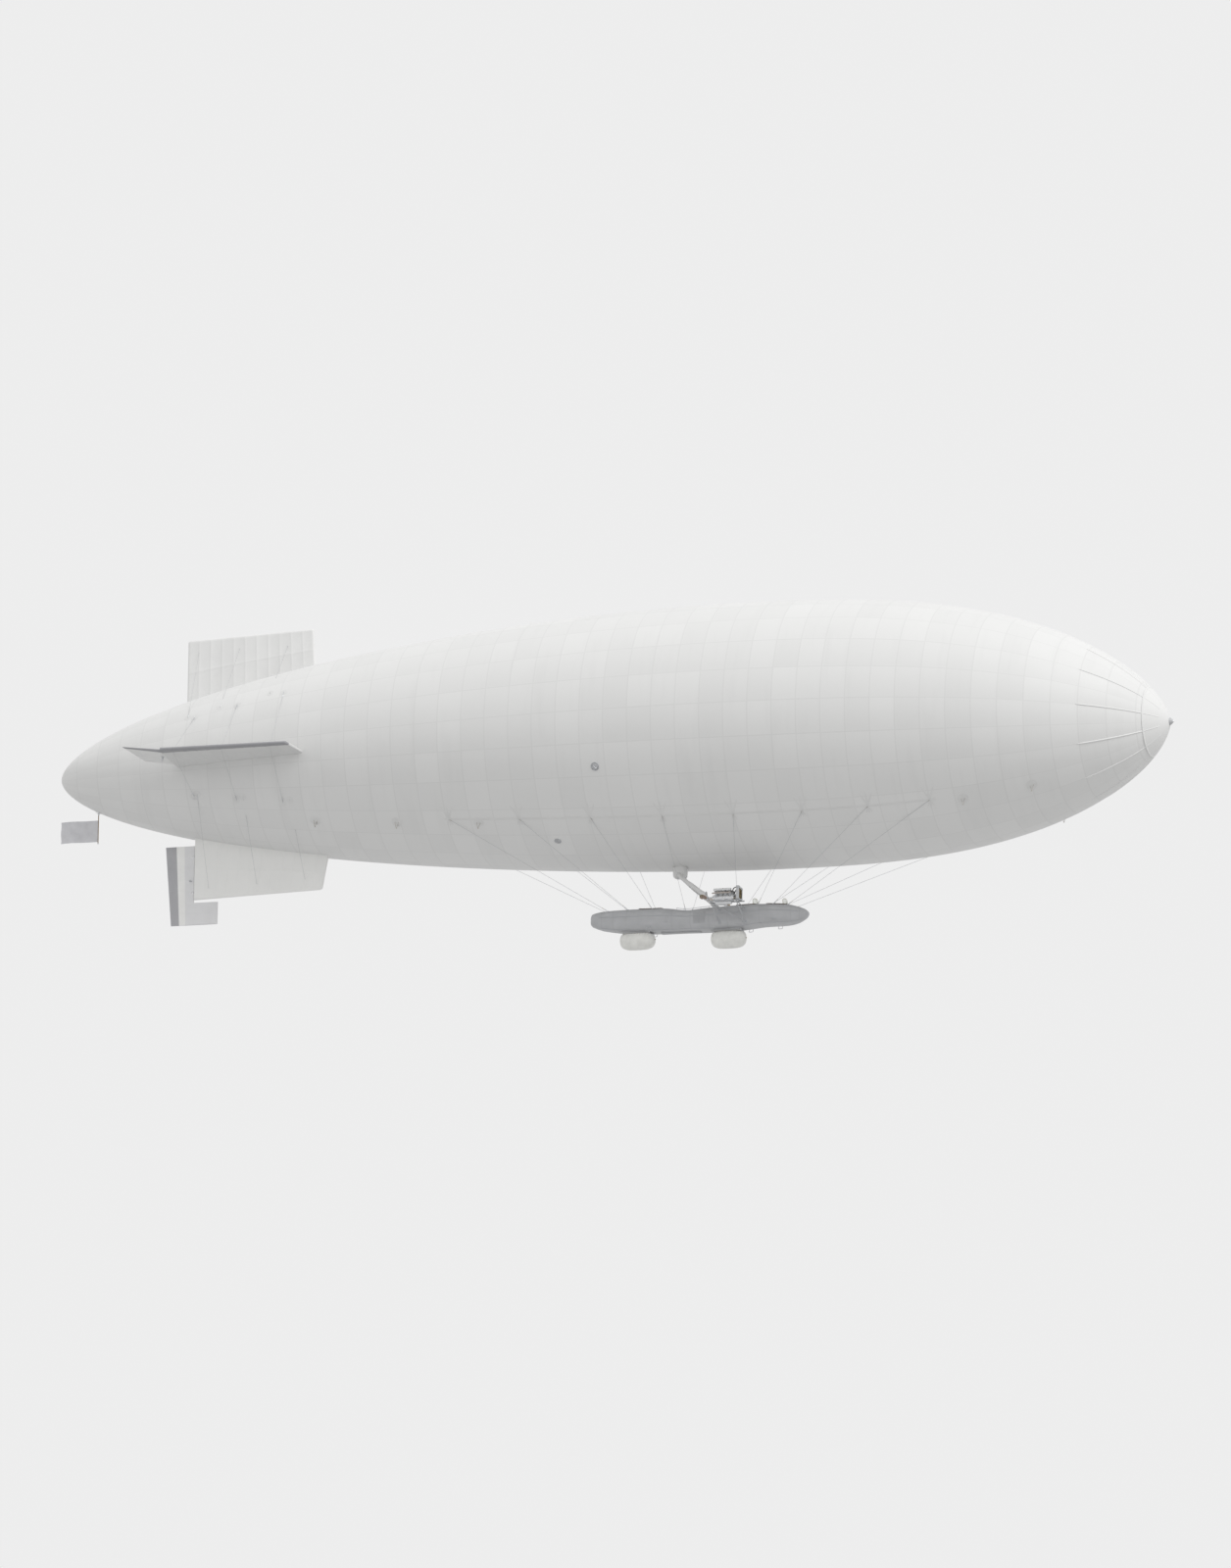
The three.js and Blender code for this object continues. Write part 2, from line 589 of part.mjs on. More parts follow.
function wheel({ at, radius, rim, column, base, head, foot }, turn) {
  const ring = solid(new THREE.TorusGeometry(radius, rim, 5, 16));
  const spokes = [[radius, 0], [0, radius]].map(([u, v]) => rod([-u, -v, 0], [u, v, 0], rim * 0.7, 5));
  const middle = [X(at[0]), mm(at[1]), Z(at[2])];
  const place = new THREE.Matrix4().makeTranslation(...middle).multiply(turn);
  const [headX, headY] = [middle[0] + head[0], middle[1] + head[1]];
  const [footX, footY] = [middle[0] + foot[0], middle[1] + foot[1]];
  return joined([
    placed(joined([ring, ...spokes, rod([0, 0, -HUB_HALF], [0, 0, HUB_HALF], 1.3 * HUB_HALF, 8)]), place),
    rod([headX, headY, middle[2]], [footX, footY, floorAt + FOOT_THICK / 2], column, 8),
    rod([footX, footY, floorAt], [footX, footY, floorAt + FOOT_THICK], base, 12),
  ]);
}
const facingAft = new THREE.Matrix4().makeRotationY(Math.PI / 2);
const facingInboard = new THREE.Matrix4().makeRotationX(Math.PI / 2);
add('rudder_wheel', wheel(WHEELS.rudder_wheel, facingAft), VARNISHED_WOOD);
add('elevator_wheel', wheel(WHEELS.elevator_wheel, facingInboard), VARNISHED_WOOD);

// Windscreens: [name, station of the foot, half width]
const WINDSCREENS = [
  ['forward_windscreen', 20.3, 0.42],
  ['middle_windscreen', 21.88, 0.46],
];
// Heights in metres over the car's top, the rest in millimetres. bend is the sheet's radius over its
// half width
const SCREEN = { head: 0.34, foot: -0.34, thick: 6, bend: 1.5, rake: 0.35, ahead: 60, long: 400 };
for (const [name, station, halfWidth] of WINDSCREENS) {
  const radius = mm(halfWidth) * SCREEN.bend;
  const half = Math.asin(1 / SCREEN.bend);
  const shape = new THREE.Shape();
  shape.absarc(0, 0, radius, -half, half, false);
  shape.absarc(0, 0, radius - SCREEN.thick, half, -half, true);
  const glass = extruded(shape, SCREEN.long, 10);
  glass.translate(-radius, 0, 0).rotateY(-SCREEN.rake);
  const [, top] = carAt(station);
  glass.translate(X(station) + SCREEN.ahead, 0, Z(top + SCREEN.foot));
  const height = block(X(station) - SCREEN.long, X(station) + SCREEN.long, -CLEAR_WIDE, CLEAR_WIDE,
    Z(top + 2 * SCREEN.foot), Z(top + SCREEN.head));
  add(name, solid(glass).intersect(height).subtract(clearOfCar), CLEAR_GLASS);
}

// Bumper bags under the car on their cradles: [name, station, height of the cradle's foot, lowest point]
const BAGS = [
  ['forward', 23.5, -10.05, -10.91],
  ['after', 28.4, -9.95, -10.74],
];
const BAG_HALF = { long: 0.93, wide: 0.5, high: 0.53, squareness: 0.6 };
const CRADLE_HALF = { long: 0.72, wide: 0.33 };
for (const [name, station, foot, lowest] of BAGS) {
  const wide = mm(CRADLE_HALF.wide);
  const board = block(X(station + CRADLE_HALF.long), X(station - CRADLE_HALF.long), -wide, wide,
    Z(foot), Z(FLOOR_TOP));
  add(`${name}_bag_cradle`, board.subtract(clearOfCar), DARK_METAL);
  const ball = new THREE.SphereGeometry(1, 20, 12).rotateZ(Math.PI / 2);
  const { position } = ball.attributes;
  for (let i = 0; i < position.count; i += 1) {
    const [along, y, z] = [position.getX(i), position.getY(i), position.getZ(i)];
    const out = Math.hypot(y, z);
    const fuller = out > 1e-6 ? powered(out, BAG_HALF.squareness) / out : 0;
    position.setXYZ(i, powered(along, BAG_HALF.squareness), y * fuller, z * fuller);
  }
  ball.scale(mm(BAG_HALF.long), mm(BAG_HALF.wide), mm(BAG_HALF.high));
  ball.translate(X(station), 0, Z(lowest + BAG_HALF.high));
  const under = block(X(station + BAG_HALF.long), X(station - BAG_HALF.long), -CLEAR_WIDE, CLEAR_WIDE,
    Z(lowest - BAG_HALF.high), Z(foot) - SEAT_GAP);
  add(`${name}_bumper_bag`, solid(ball).intersect(under), BAG_RUBBER);
}
const KEEL = { first: 25.0, last: 27.1, halfWidth: 0.12, foot: -9.96 };
const keelSpace = block(X(KEEL.last), X(KEEL.first), -mm(KEEL.halfWidth), mm(KEEL.halfWidth),
  Z(KEEL.foot), Z(FLOOR_TOP));
add('keel_skid', keelSpace.subtract(clearOfCar), VARNISHED_WOOD);

// Suspension: a band on each flank of the envelope and the cables down to the car.
// Rows are [envelope ring, station on the car]
const BAND_DEGREES = 40;
const BAND_WIDE = 60;
const BAND_THICK = 6;
const CABLES = [
  [7, 20.25],
  [8, 21.0],
  [9, 21.8],
  [10, 22.9],
  [11, 25.7],
  [12, 27.5],
  [13, 28.8],
  [14, 29.9],
];
const GUNWALE_DEGREES = 52; // round the car's side, up from its widest line
const FERRULE = { long: 34, radius: 11 };

function gunwale(station, side) {
  const [halfWidth, top, bottom] = carAt(station);
  const angle = (GUNWALE_DEGREES * Math.PI) / 180;
  const height = (top + bottom) / 2 + ((top - bottom) / 2) * powered(Math.sin(angle), CAR_SQUARENESS);
  return [X(station), side * mm(halfWidth) * powered(Math.cos(angle), CAR_SQUARENESS), Z(height)];
}

function suspension(side) {
  const [[firstRing], [lastRing]] = [CABLES[0], CABLES[CABLES.length - 1]];
  const parts = [strip(firstRing, lastRing, side * BAND_DEGREES, BAND_WIDE, BAND_THICK)];
  for (const [ring, station] of CABLES) {
    const high = onEnvelope(ringStation(ring), BAND_DEGREES, side, SEAT_GAP + BAND_THICK + 2);
    const low = gunwale(station, side);
    parts.push(rod(high, low, CABLE_RADIUS, 6));
    const up = new THREE.Vector3(...high).sub(new THREE.Vector3(...low)).setLength(FERRULE.long);
    parts.push(rod(low, low.map((value, k) => value + up.getComponent(k)), FERRULE.radius, 6));
  }
  return joined(parts).subtract(clearOfCar);
}

// Engines on their outriggers. Tubes are [station, out, height] to [station, out, height], then a radius
const BED_HEIGHT = -9.0;
const BED_HALF = 0.19;
const [INNER, OUTER] = [ENGINE_SIDE - BED_HALF, ENGINE_SIDE + BED_HALF];
const OUTRIGGER_TUBES = [
  [[22.1, INNER, BED_HEIGHT], [23.85, INNER, BED_HEIGHT], 17],
  [[22.1, OUTER, BED_HEIGHT], [23.85, OUTER, BED_HEIGHT], 17],
  [[22.46, 0.6, BED_HEIGHT], [22.46, OUTER, BED_HEIGHT], 14],
  [[23.83, 0.6, BED_HEIGHT], [23.83, OUTER, BED_HEIGHT], 14],
  [[22.46, 0.5, -9.7], [22.46, OUTER, BED_HEIGHT], 13],
  [[23.83, 0.5, -9.72], [23.83, OUTER, BED_HEIGHT], 13],
  [[22.46, 0.6, BED_HEIGHT], [23.83, INNER, BED_HEIGHT], 11],
  [[22.46, 0.5, -9.7], [23.83, INNER, BED_HEIGHT], 11],
];
const tubePoint = ([station, out, height], side) => [X(station), side * mm(out), Z(height)];
const BED_TOP = Z(BED_HEIGHT) + 17;
const shaftZ = Z(SHAFT_HEIGHT);

const HUB = { radius: 52, front: 46, back: -46, bore: 60 };
const SHAFT_RADIUS = 20;
const SPINNER = { long: 26, foot: 24, head: 44 };

// The engine is drawn round its shaft, along X from the propeller. Blocks are [back, front, half width,
// foot, head]: crankcase, sump, mounting feet and the carburettor's box between the banks
const ENGINE = { front: mm(PROPELLER_STATION - 22.6), back: mm(PROPELLER_STATION - 23.72) };
const ENGINE_BLOCKS = [
  [ENGINE.back, ENGINE.front, 80, -96, 60],
  [ENGINE.back + 60, ENGINE.front - 60, 58, -190, -90],
  [ENGINE.front - 400, ENGINE.front - 120, 20, 110, 150],
];
const BEARER = { thick: 26, over: 20 };
const NOSE_BEARING = { long: 30, foot: 46, head: 34 };
const MAGNETO = { out: 48, height: 30, long: 46, radius: 26 };
const BANK_TILT = Math.PI / 4;
const CYLINDER = { count: 4, first: 88, pitch: 122, foot: 50, head: 230, radius: 44 };
const CAM_COVER = { foot: 222, head: 262, half: 36, back: 50, front: 36 };
const EXHAUST = { height: 190, inner: 30, outer: 92, port: 14, pipe: 19, front: 40, back: 20 };

function bank(side) {
  const parts = [block(ENGINE.back + CAM_COVER.back, ENGINE.front - CAM_COVER.front,
    -CAM_COVER.half, CAM_COVER.half, CAM_COVER.foot, CAM_COVER.head)];
  const port = (x, out) => [x, side * out, EXHAUST.height];
  for (let i = 0; i < CYLINDER.count; i += 1) {
    const x = ENGINE.front - CYLINDER.first - i * CYLINDER.pitch;
    parts.push(rod([x, 0, CYLINDER.foot], [x, 0, CYLINDER.head], CYLINDER.radius, 10));
    parts.push(rod(port(x, EXHAUST.inner), port(x, EXHAUST.outer), EXHAUST.port, 6));
  }
  parts.push(rod(port(ENGINE.front - EXHAUST.front, EXHAUST.outer),
    port(ENGINE.back + EXHAUST.back, EXHAUST.outer), EXHAUST.pipe, 8));
  return placed(joined(parts), new THREE.Matrix4().makeRotationX(-side * BANK_TILT));
}

function engine() {
  const { front, back } = ENGINE;
  const bed = BED_TOP + SEAT_GAP - shaftZ;
  const foot = mm(BED_HALF) + BEARER.over;
  const magneto = (y) => rod([front - 2, y, MAGNETO.height], [front + MAGNETO.long, y, MAGNETO.height],
    MAGNETO.radius, 8);
  return joined([
    ...ENGINE_BLOCKS.map(([x0, x1, wide, low, high]) => block(x0, x1, -wide, wide, low, high)),
    block(back + 30, front - 30, -foot, foot, bed, bed + BEARER.thick),
    rod([back + 60, 0, 0], [HUB.front - 8, 0, 0], SHAFT_RADIUS, PIN_SIDES),
    rod([back + 1, 0, 0], [back - NOSE_BEARING.long, 0, 0], NOSE_BEARING.foot, 12, NOSE_BEARING.head),
    magneto(-MAGNETO.out),
    magneto(MAGNETO.out),
    rod([front - 240, 0, 40], [front - 240, 0, 130], 24, 8),
    bank(1),
    bank(-1),
  ]);
}

// Two-bladed propeller along Z, turning about X. Blade sections are [radius, half chord, half
// thickness, pitch in degrees]
const BLADE = [
  [0.0, 0.09, 0.075, 90],
  [0.12, 0.09, 0.07, 70],
  [0.3, 0.1, 0.045, 50],
  [0.55, 0.125, 0.032, 35],
  [0.85, 0.12, 0.022, 25],
  [1.1, 0.095, 0.014, 20],
  [1.22, 0.05, 0.009, 18],
  [PROPELLER_RADIUS, 0.015, 0.006, 18],
];
const BLADE_SIDES = 8;

function propeller() {
  const blades = [0, Math.PI].map((turn) => {
    const section = ([radius, chord, thick, pitch]) => Array.from({ length: BLADE_SIDES }, (unused, i) => {
      const angle = (2 * Math.PI * i) / BLADE_SIDES;
      const twist = (pitch * Math.PI) / 180;
      const [c, t] = [mm(chord) * Math.cos(angle), mm(thick) * Math.sin(angle)];
      const point = new THREE.Vector3(c * Math.sin(twist) - t * Math.cos(twist),
        c * Math.cos(twist) + t * Math.sin(twist), mm(radius));
      return point.applyAxisAngle(new THREE.Vector3(1, 0, 0), turn).toArray();
    });
    return skin(BLADE.map(section));
  });
  const bore = (SHAFT_RADIUS + PIN_PLAY) / Math.cos(Math.PI / PIN_SIDES);
  const hub = rod([HUB.back, 0, 0], [HUB.front, 0, 0], HUB.radius, 16);
  const spinner = rod([HUB.back - SPINNER.long, 0, 0], [HUB.back + 1, 0, 0], SPINNER.foot, 12, SPINNER.head);
  const socket = rod([HUB.front - HUB.bore, 0, 0], [HUB.front + 5, 0, 0], bore, PIN_SIDES);
  return joined([hub, spinner, ...blades]).subtract(socket);
}

const RADIATOR = { front: 22.25, back: 22.41, halfWidth: 0.34, top: -8.27 };
const HEADER = { deep: 60, over: 8 };
const CORE = { border: 22, sunk: 14 };
const FILLER = { radius: 22, high: 26 };

function radiator(y) {
  const [x1, x0] = [X(RADIATOR.front), X(RADIATOR.back)];
  const wide = mm(RADIATOR.halfWidth);
  const foot = BED_TOP + SEAT_GAP;
  const top = Z(RADIATOR.top);
  const frame = block(x0, x1, y - wide, y + wide, foot, top - HEADER.deep / 2);
  const header = block(x0 - HEADER.over, x1 + HEADER.over, y - wide - HEADER.over, y + wide + HEADER.over,
    top - HEADER.deep, top);
  const middle = (x0 + x1) / 2;
  const filler = rod([middle, y, top - 5], [middle, y, top + FILLER.high], FILLER.radius, 12);
  const half = wide - CORE.border;
  const head = top - HEADER.deep - CORE.border / 2;
  const recess = (from, to) => block(from, to, y - half, y + half, foot + CORE.border, head);
  return joined([frame, header, filler])
    .subtract(recess(x1 - CORE.sunk, x1 + CORE.sunk))
    .subtract(recess(x0 - CORE.sunk, x0 + CORE.sunk));
}

// Air manifold under the envelope
const MANIFOLD = { first: 25.85, last: 26.5, halfWidth: 0.28, foot: -7.02, head: -6.0 };

function manifoldSpace(growth) {
  const wide = mm(MANIFOLD.halfWidth) + growth;
  return block(X(MANIFOLD.last) - growth, X(MANIFOLD.first) + growth, -wide, wide,
    Z(MANIFOLD.foot) - growth, Z(MANIFOLD.head));
}
add('air_manifold', manifoldSpace(0).subtract(clearOfEnvelope), SILVER_CLOTH);

// Scoop ducts behind the propellers, up to the air manifold: [station, out, height]
const DUCT_ROUTE = [
  [26.2, 0.2, -6.84],
  [26.0, 0.52, -7.06],
  [25.62, 0.84, -7.42],
  [25.06, 1.22, -7.86],
  [24.66, 1.5, -8.2],
  [24.32, 1.68, -8.42],
];
const DUCT_RADIUS = 55;
const DUCT_WALL = 5;
const DUCT_MOUTH = { back: 40, ahead: 26, flare: 26 };

function duct(side) {
  const points = DUCT_ROUTE.map((row) => new THREE.Vector3(...tubePoint(row, side)));
  const path = new THREE.CatmullRomCurve3(points);
  const shape = new THREE.Shape();
  shape.absarc(0, 0, DUCT_RADIUS, 0, 2 * Math.PI, false);
  const hole = new THREE.Path();
  hole.absarc(0, 0, DUCT_RADIUS - DUCT_WALL, 0, 2 * Math.PI, true);
  shape.holes.push(hole);
  const pipe = new THREE.ExtrudeGeometry(shape, { steps: 10, curveSegments: 5, extrudePath: path });
  const [x, y, z] = tubePoint(DUCT_ROUTE[DUCT_ROUTE.length - 1], side);
  const cone = (over, small, large) => rod([x - DUCT_MOUTH.back - over, y, z],
    [x + DUCT_MOUTH.ahead + over, y, z], small, 14, large);
  const rim = cone(0, DUCT_RADIUS - 2, DUCT_RADIUS + DUCT_MOUTH.flare)
    .subtract(cone(1, DUCT_RADIUS - 12, DUCT_RADIUS + DUCT_MOUTH.flare - 6));
  return solid(pipe).subtract(manifoldSpace(SEAT_GAP)).add(rim);
}
const PROPELLER_TURN = { port: 25, starboard: -80 }; // degrees of the blades from upright at rest
for (const [name, side] of SIDES) {
  add(`${name}_suspension`, suspension(side), BARE_STEEL);
  const tubes = OUTRIGGER_TUBES
    .map(([from, to, radius]) => rod(tubePoint(from, side), tubePoint(to, side), radius, 8));
  add(`${name}_outrigger`, joined(tubes).subtract(clearOfCar), BARE_STEEL);
  const y = side * mm(ENGINE_SIDE);
  const shaft = [X(PROPELLER_STATION), y, shaftZ];
  add(`${name}_engine`, engine(), DARK_METAL).position.set(...shaft);
  add(`${name}_radiator`, radiator(y), DARK_METAL);
  const turning = add(`${name}_propeller`, propeller(), VARNISHED_WOOD);
  turning.position.set(...shaft);
  turning.rotation.x = THREE.MathUtils.degToRad(PROPELLER_TURN[name]);
  add(`${name}_scoop_duct`, duct(side), SILVER_CLOTH);
}

export default ship;
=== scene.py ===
"""Looks of a twin-engined non-rigid airship of the 1920s with an open car, as a scale model at 1:2.

Nose towards +X, port side towards +Y, up is +Z. Stations, heights and sizes called full are metres of the
full-size ship, and SCALE turns them into the model's metres. A station is measured aft from the nose, and a
height from the straight line between nose and stern.
"""
import logging
import math
from dataclasses import dataclass
from enum import Enum
from math import cos, pi, radians, sin
from typing import Any, Iterable, Sequence

import bmesh
import bpy
from mathutils import Matrix, Vector
from mathutils.bvhtree import BVHTree


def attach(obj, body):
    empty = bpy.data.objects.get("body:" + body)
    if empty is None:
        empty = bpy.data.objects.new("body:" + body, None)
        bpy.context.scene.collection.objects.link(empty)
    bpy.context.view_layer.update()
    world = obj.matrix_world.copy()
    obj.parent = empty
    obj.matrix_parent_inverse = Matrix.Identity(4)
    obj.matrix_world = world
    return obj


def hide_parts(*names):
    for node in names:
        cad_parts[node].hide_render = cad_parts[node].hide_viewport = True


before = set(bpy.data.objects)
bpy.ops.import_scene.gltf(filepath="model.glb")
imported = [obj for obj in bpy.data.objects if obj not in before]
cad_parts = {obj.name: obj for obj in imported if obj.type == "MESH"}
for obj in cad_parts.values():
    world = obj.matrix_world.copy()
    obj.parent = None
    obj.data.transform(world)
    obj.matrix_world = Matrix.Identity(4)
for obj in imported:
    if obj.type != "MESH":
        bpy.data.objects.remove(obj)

LOG = logging.getLogger("airship")
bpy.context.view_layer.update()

# Driving dimensions of the full-size ship, in metres
SCALE = 0.5
LENGTH = 59.7
MAX_RADIUS = 6.95
MAX_STATION = 21.5
BOW = 0.45
LIFT_STATION = 0.45 * LENGTH
NOSE_POWERS = (2.7, 0.65)
TAIL_POWERS = (1.8, 0.56)
HINGE_STATION = 52.45
STABILISER_HEIGHT = -0.5
ENGINE_SIDE = 2.3
SHAFT_HEIGHT = -8.78
PROPELLER_STATION = 24.1
FLOOR_TOP = -9.66
BED_HEIGHT = -9.0

# The model's own metres: the control surfaces' round fronts, edges tucked under the skin, the radius of the
# outriggers' bed tubes, and the foot of what stands on them
HINGE_RADIUS = 0.028
UNDER_SKIN = -0.004
BED_TUBE = 0.017
BED_TOP = BED_TUBE + 0.0003
# Largest share of a block's least side that its soft edges may take
MOST_SOFT = 0.45
SIDES = (("port", 1), ("starboard", -1))
Point = Sequence[float]


def bow_at(station: float) -> float:
    """Height of the bowed centre line over the nose-to-stern line, full size."""
    return BOW * sin(pi * station / LENGTH)


def at_x(station: float) -> float:
    """Model X of a full-size station."""
    return (LIFT_STATION - station) * SCALE


def at_z(height: float) -> float:
    """Model Z of a full-size height."""
    return (height - bow_at(LIFT_STATION)) * SCALE


def place(station: float, out: float, height: float, side: int = 1) -> Vector:
    """Model point of a full-size station, distance out and height.

    Args:
        station: Metres aft of the nose.
        out: Metres from the centre plane.
        height: Metres over the nose-to-stern line.
        side: +1 for port and -1 for starboard.

    Returns:
        The point in the model's frame.
    """
    return Vector((at_x(station), side * out * SCALE, at_z(height)))


def radius_at(station: float) -> float:
    """Full-size radius of the envelope at a station.

    Args:
        station: Metres aft of the nose, full size.

    Returns:
        The radius in metres.
    """
    if station <= MAX_STATION:
        reach = 1 - max(station, 0.0) / MAX_STATION
        power, root = NOSE_POWERS
    else:
        reach = 1 - max(LENGTH - station, 0.0) / (LENGTH - MAX_STATION)
        power, root = TAIL_POWERS
    return MAX_RADIUS * max(1 - reach ** power, 0.0) ** root


def on_skin(station: float, degrees: float, side: int = 1, lift: float = 0.0) -> Vector:
    """Point on the envelope's skin.

    Args:
        station: Metres aft of the nose, full size.
        degrees: Angle up from the lowest line.
        side: +1 for port and -1 for starboard.
        lift: Model metres off the skin.

    Returns:
        The point in the model's frame.
    """
    angle = radians(degrees)
    radius = radius_at(station) * SCALE + lift
    centre = at_z(bow_at(station))
    return Vector((at_x(station), side * radius * sin(angle), centre - radius * cos(angle)))


def out_of_skin(station: float, degrees: float, side: int = 1) -> Vector:
    """Unit vector that stands off the skin.

    Args:
        station: Metres aft of the nose, full size.
        degrees: Angle up from the lowest line.
        side: +1 for port and -1 for starboard.

    Returns:
        The vector in the model's frame.
    """
    step = 0.05
    slope = (radius_at(station + step) - radius_at(station - step)) / (2 * step)
    angle = radians(degrees)
    return Vector((slope, side * sin(angle), -cos(angle))).normalized()


def blend_value(a: float, b: float, part: float) -> float:
    """Value a part of the way from a to b."""
    return a + (b - a) * part


def spread(first: float, last: float, count: int) -> list[float]:
    """Evenly spaced values from first to last, both included."""
    return [blend_value(first, last, i / (count - 1)) for i in range(count)]


def angles(count: int, first: float = 0.0) -> list[float]:
    """Angles that share a full turn evenly, the first of them a share of a step past zero."""
    return [2 * pi * (k + first) / count for k in range(count)]


def powered(value: float, power: float) -> float:
    """Power of a value's size, with its sign kept."""
    return math.copysign(abs(value) ** power, value)


def smooth_line(rows: Sequence[Point], count: int) -> list[list[float]]:
    """Points on a Catmull-Rom curve through rows of numbers.

    Args:
        rows: Two or more rows of the same length.
        count: Number of points to return.

    Returns:
        Rows of numbers, evenly spaced by row.
    """
    line = []
    for value in spread(0, len(rows) - 1, count):
        i = min(int(value), len(rows) - 2)
        t = value - i
        a, b, c, d = (rows[min(max(k, 0), len(rows) - 1)] for k in (i - 1, i, i + 1, i + 2))
        line.append([
            0.5 * (2 * q + (r - p) * t + (2 * p - 5 * q + 4 * r - s) * t ** 2
                   + (3 * q - p - 3 * r + s) * t ** 3)
            for p, q, r, s in zip(a, b, c, d)
        ])
    return line


class Form:
    """Faces of one piece, gathered before they become a mesh. Each face has the number of its finish."""

    def __init__(self) -> None:
        """Starts with no faces."""
        self.points: list[Vector] = []
        self.faces: list[tuple[int, ...]] = []
        self.paint: list[int] = []

    def face(self, corners: Iterable[int], finish: int = 0) -> None:
        """Adds one face by its points' numbers."""
        self.faces.append(tuple(corners))
        self.paint.append(finish)

    def loft(self, rings: Sequence[Sequence[Point]], finish: int | Sequence[int] = 0, closed: bool = True,
             caps: bool = True) -> "Form":
        """Adds a skin over rings of the same number of points.

        Args:
            rings: The rings, in order.
            finish: One finish, or one for each gap between a ring's points.
            closed: Whether each ring closes on itself.
            caps: Whether the first and last ring are filled.

        Returns:
            This form.
        """
        start, count = len(self.points), len(rings[0])
        self.points += [Vector(p) for ring in rings for p in ring]
        for r in range(len(rings) - 1):
            for i in range(count if closed else count - 1):
                a, b = start + r * count + i, start + r * count + (i + 1) % count
                self.face((a, b, b + count, a + count), finish if isinstance(finish, int) else finish[i])
        if closed and caps:
            last = start + (len(rings) - 1) * count
            end = finish if isinstance(finish, int) else finish[0]
            self.face(reversed(range(start, start + count)), end)
            self.face(range(last, last + count), end)
        return self

    def tube(self, path: Sequence[Point], radius: float | Sequence[float], finish: int = 0,
             sides: int = 10) -> "Form":
        """Adds a round tube along a path, closed at its ends.

        Args:
            path: Its points.
            radius: One radius, or one at each point.
            finish: Number of its finish.
            sides: Points round it.

        Returns:
            This form.
        """
        line = [Vector(p) for p in path]
        radii = [radius] * len(line) if isinstance(radius, (int, float)) else radius
        rings, across = [], None
        for i, point in enumerate(line):
            ahead = (line[min(i + 1, len(line) - 1)] - line[max(i - 1, 0)]).normalized()
            if across is None:
                across = ahead.orthogonal().normalized()
            across = (across - ahead * across.dot(ahead)).normalized()
            other = ahead.cross(across)
            rings.append([point + (across * cos(a) + other * sin(a)) * radii[i] for a in angles(sides)])
        return self.loft(rings, finish)

    def turned(self, start: Point, axis: Point, profile: Sequence[tuple[float, float]], finish: int = 0,
               sides: int = 24) -> "Form":
        """Adds a turned shape.

        Args:
            start: Where its axis starts.
            axis: The axis's direction.
            profile: Rows of distance along the axis and radius.
            finish: Number of its finish.
            sides: Points round it.

        Returns:
            This form.
        """
        base, along = Vector(start), Vector(axis).normalized()
        return self.tube([base + along * reach for reach, _ in profile], [max(r, 1e-4) for _, r in profile],
                         finish, sides)

    def block(self, low: Point, high: Point, finish: int = 0, soft: float = 0.0) -> "Form":
        """Adds a block between two corners.

        Args:
            low: Lowest corner.
            high: Highest corner.
            finish: Number of its finish.
            soft: How far its edges are cut back.

        Returns:
            This form.
        """
        (x0, y0, z0), (x1, y1, z1) = low, high
        s = min(soft, MOST_SOFT * min(x1 - x0, y1 - y0, z1 - z0))
        if s <= 0:
            return self.loft(
                [[(x0, y0, z), (x1, y0, z), (x1, y1, z), (x0, y1, z)] for z in (z0, z1)], finish)
        rings = []
        for z, back in ((z0, s), (z0 + s, 0), (z1 - s, 0), (z1, s)):
            a0, a1, b0, b1 = x0 + back, x1 - back, y0 + back, y1 - back
            rings.append([(a0 + s, b0, z), (a1 - s, b0, z), (a1, b0 + s, z), (a1, b1 - s, z),
                          (a1 - s, b1, z), (a0 + s, b1, z), (a0, b1 - s, z), (a0, b0 + s, z)])
        return self.loft(rings, finish)

    def ball(self, centre: Point, radii: Point, finish: int = 0, sides: int = 12, rows: int = 8) -> "Form":
        """Adds an ellipsoid, its poles along Z.

        Args:
            centre: Its middle.
            radii: Half its size along each axis.
            finish: Number of its finish.
            sides: Points round it.
            rows: Rows of faces from pole to pole.

        Returns:
            This form.
        """
        middle = Vector(centre)
        rings = []
        for row in range(rows + 1):
            polar = pi * row / rows
            wide = max(sin(polar), 1e-3)
            rings.append([middle + Vector((radii[0] * wide * cos(a), radii[1] * wide * sin(a),
                                           -radii[2] * cos(polar)))
                          for a in angles(sides)])
        return self.loft(rings, finish)

    def add(self, other: "Form", matrix: Matrix | None = None, shift: int = 0) -> "Form":
        """Adds another form's faces.

        Args:
            other: The form to copy.
            matrix: Where to put it.
            shift: Added to each face's finish number.

        Returns:
            This form.
        """
        start = len(self.points)
        self.points += [matrix @ p if matrix else p.copy() for p in other.points]
        mirrored = matrix is not None and matrix.determinant() < 0
        for corners, finish in zip(other.faces, other.paint):
            order = reversed(corners) if mirrored else corners
            self.face((start + k for k in order), finish + shift)
        return self

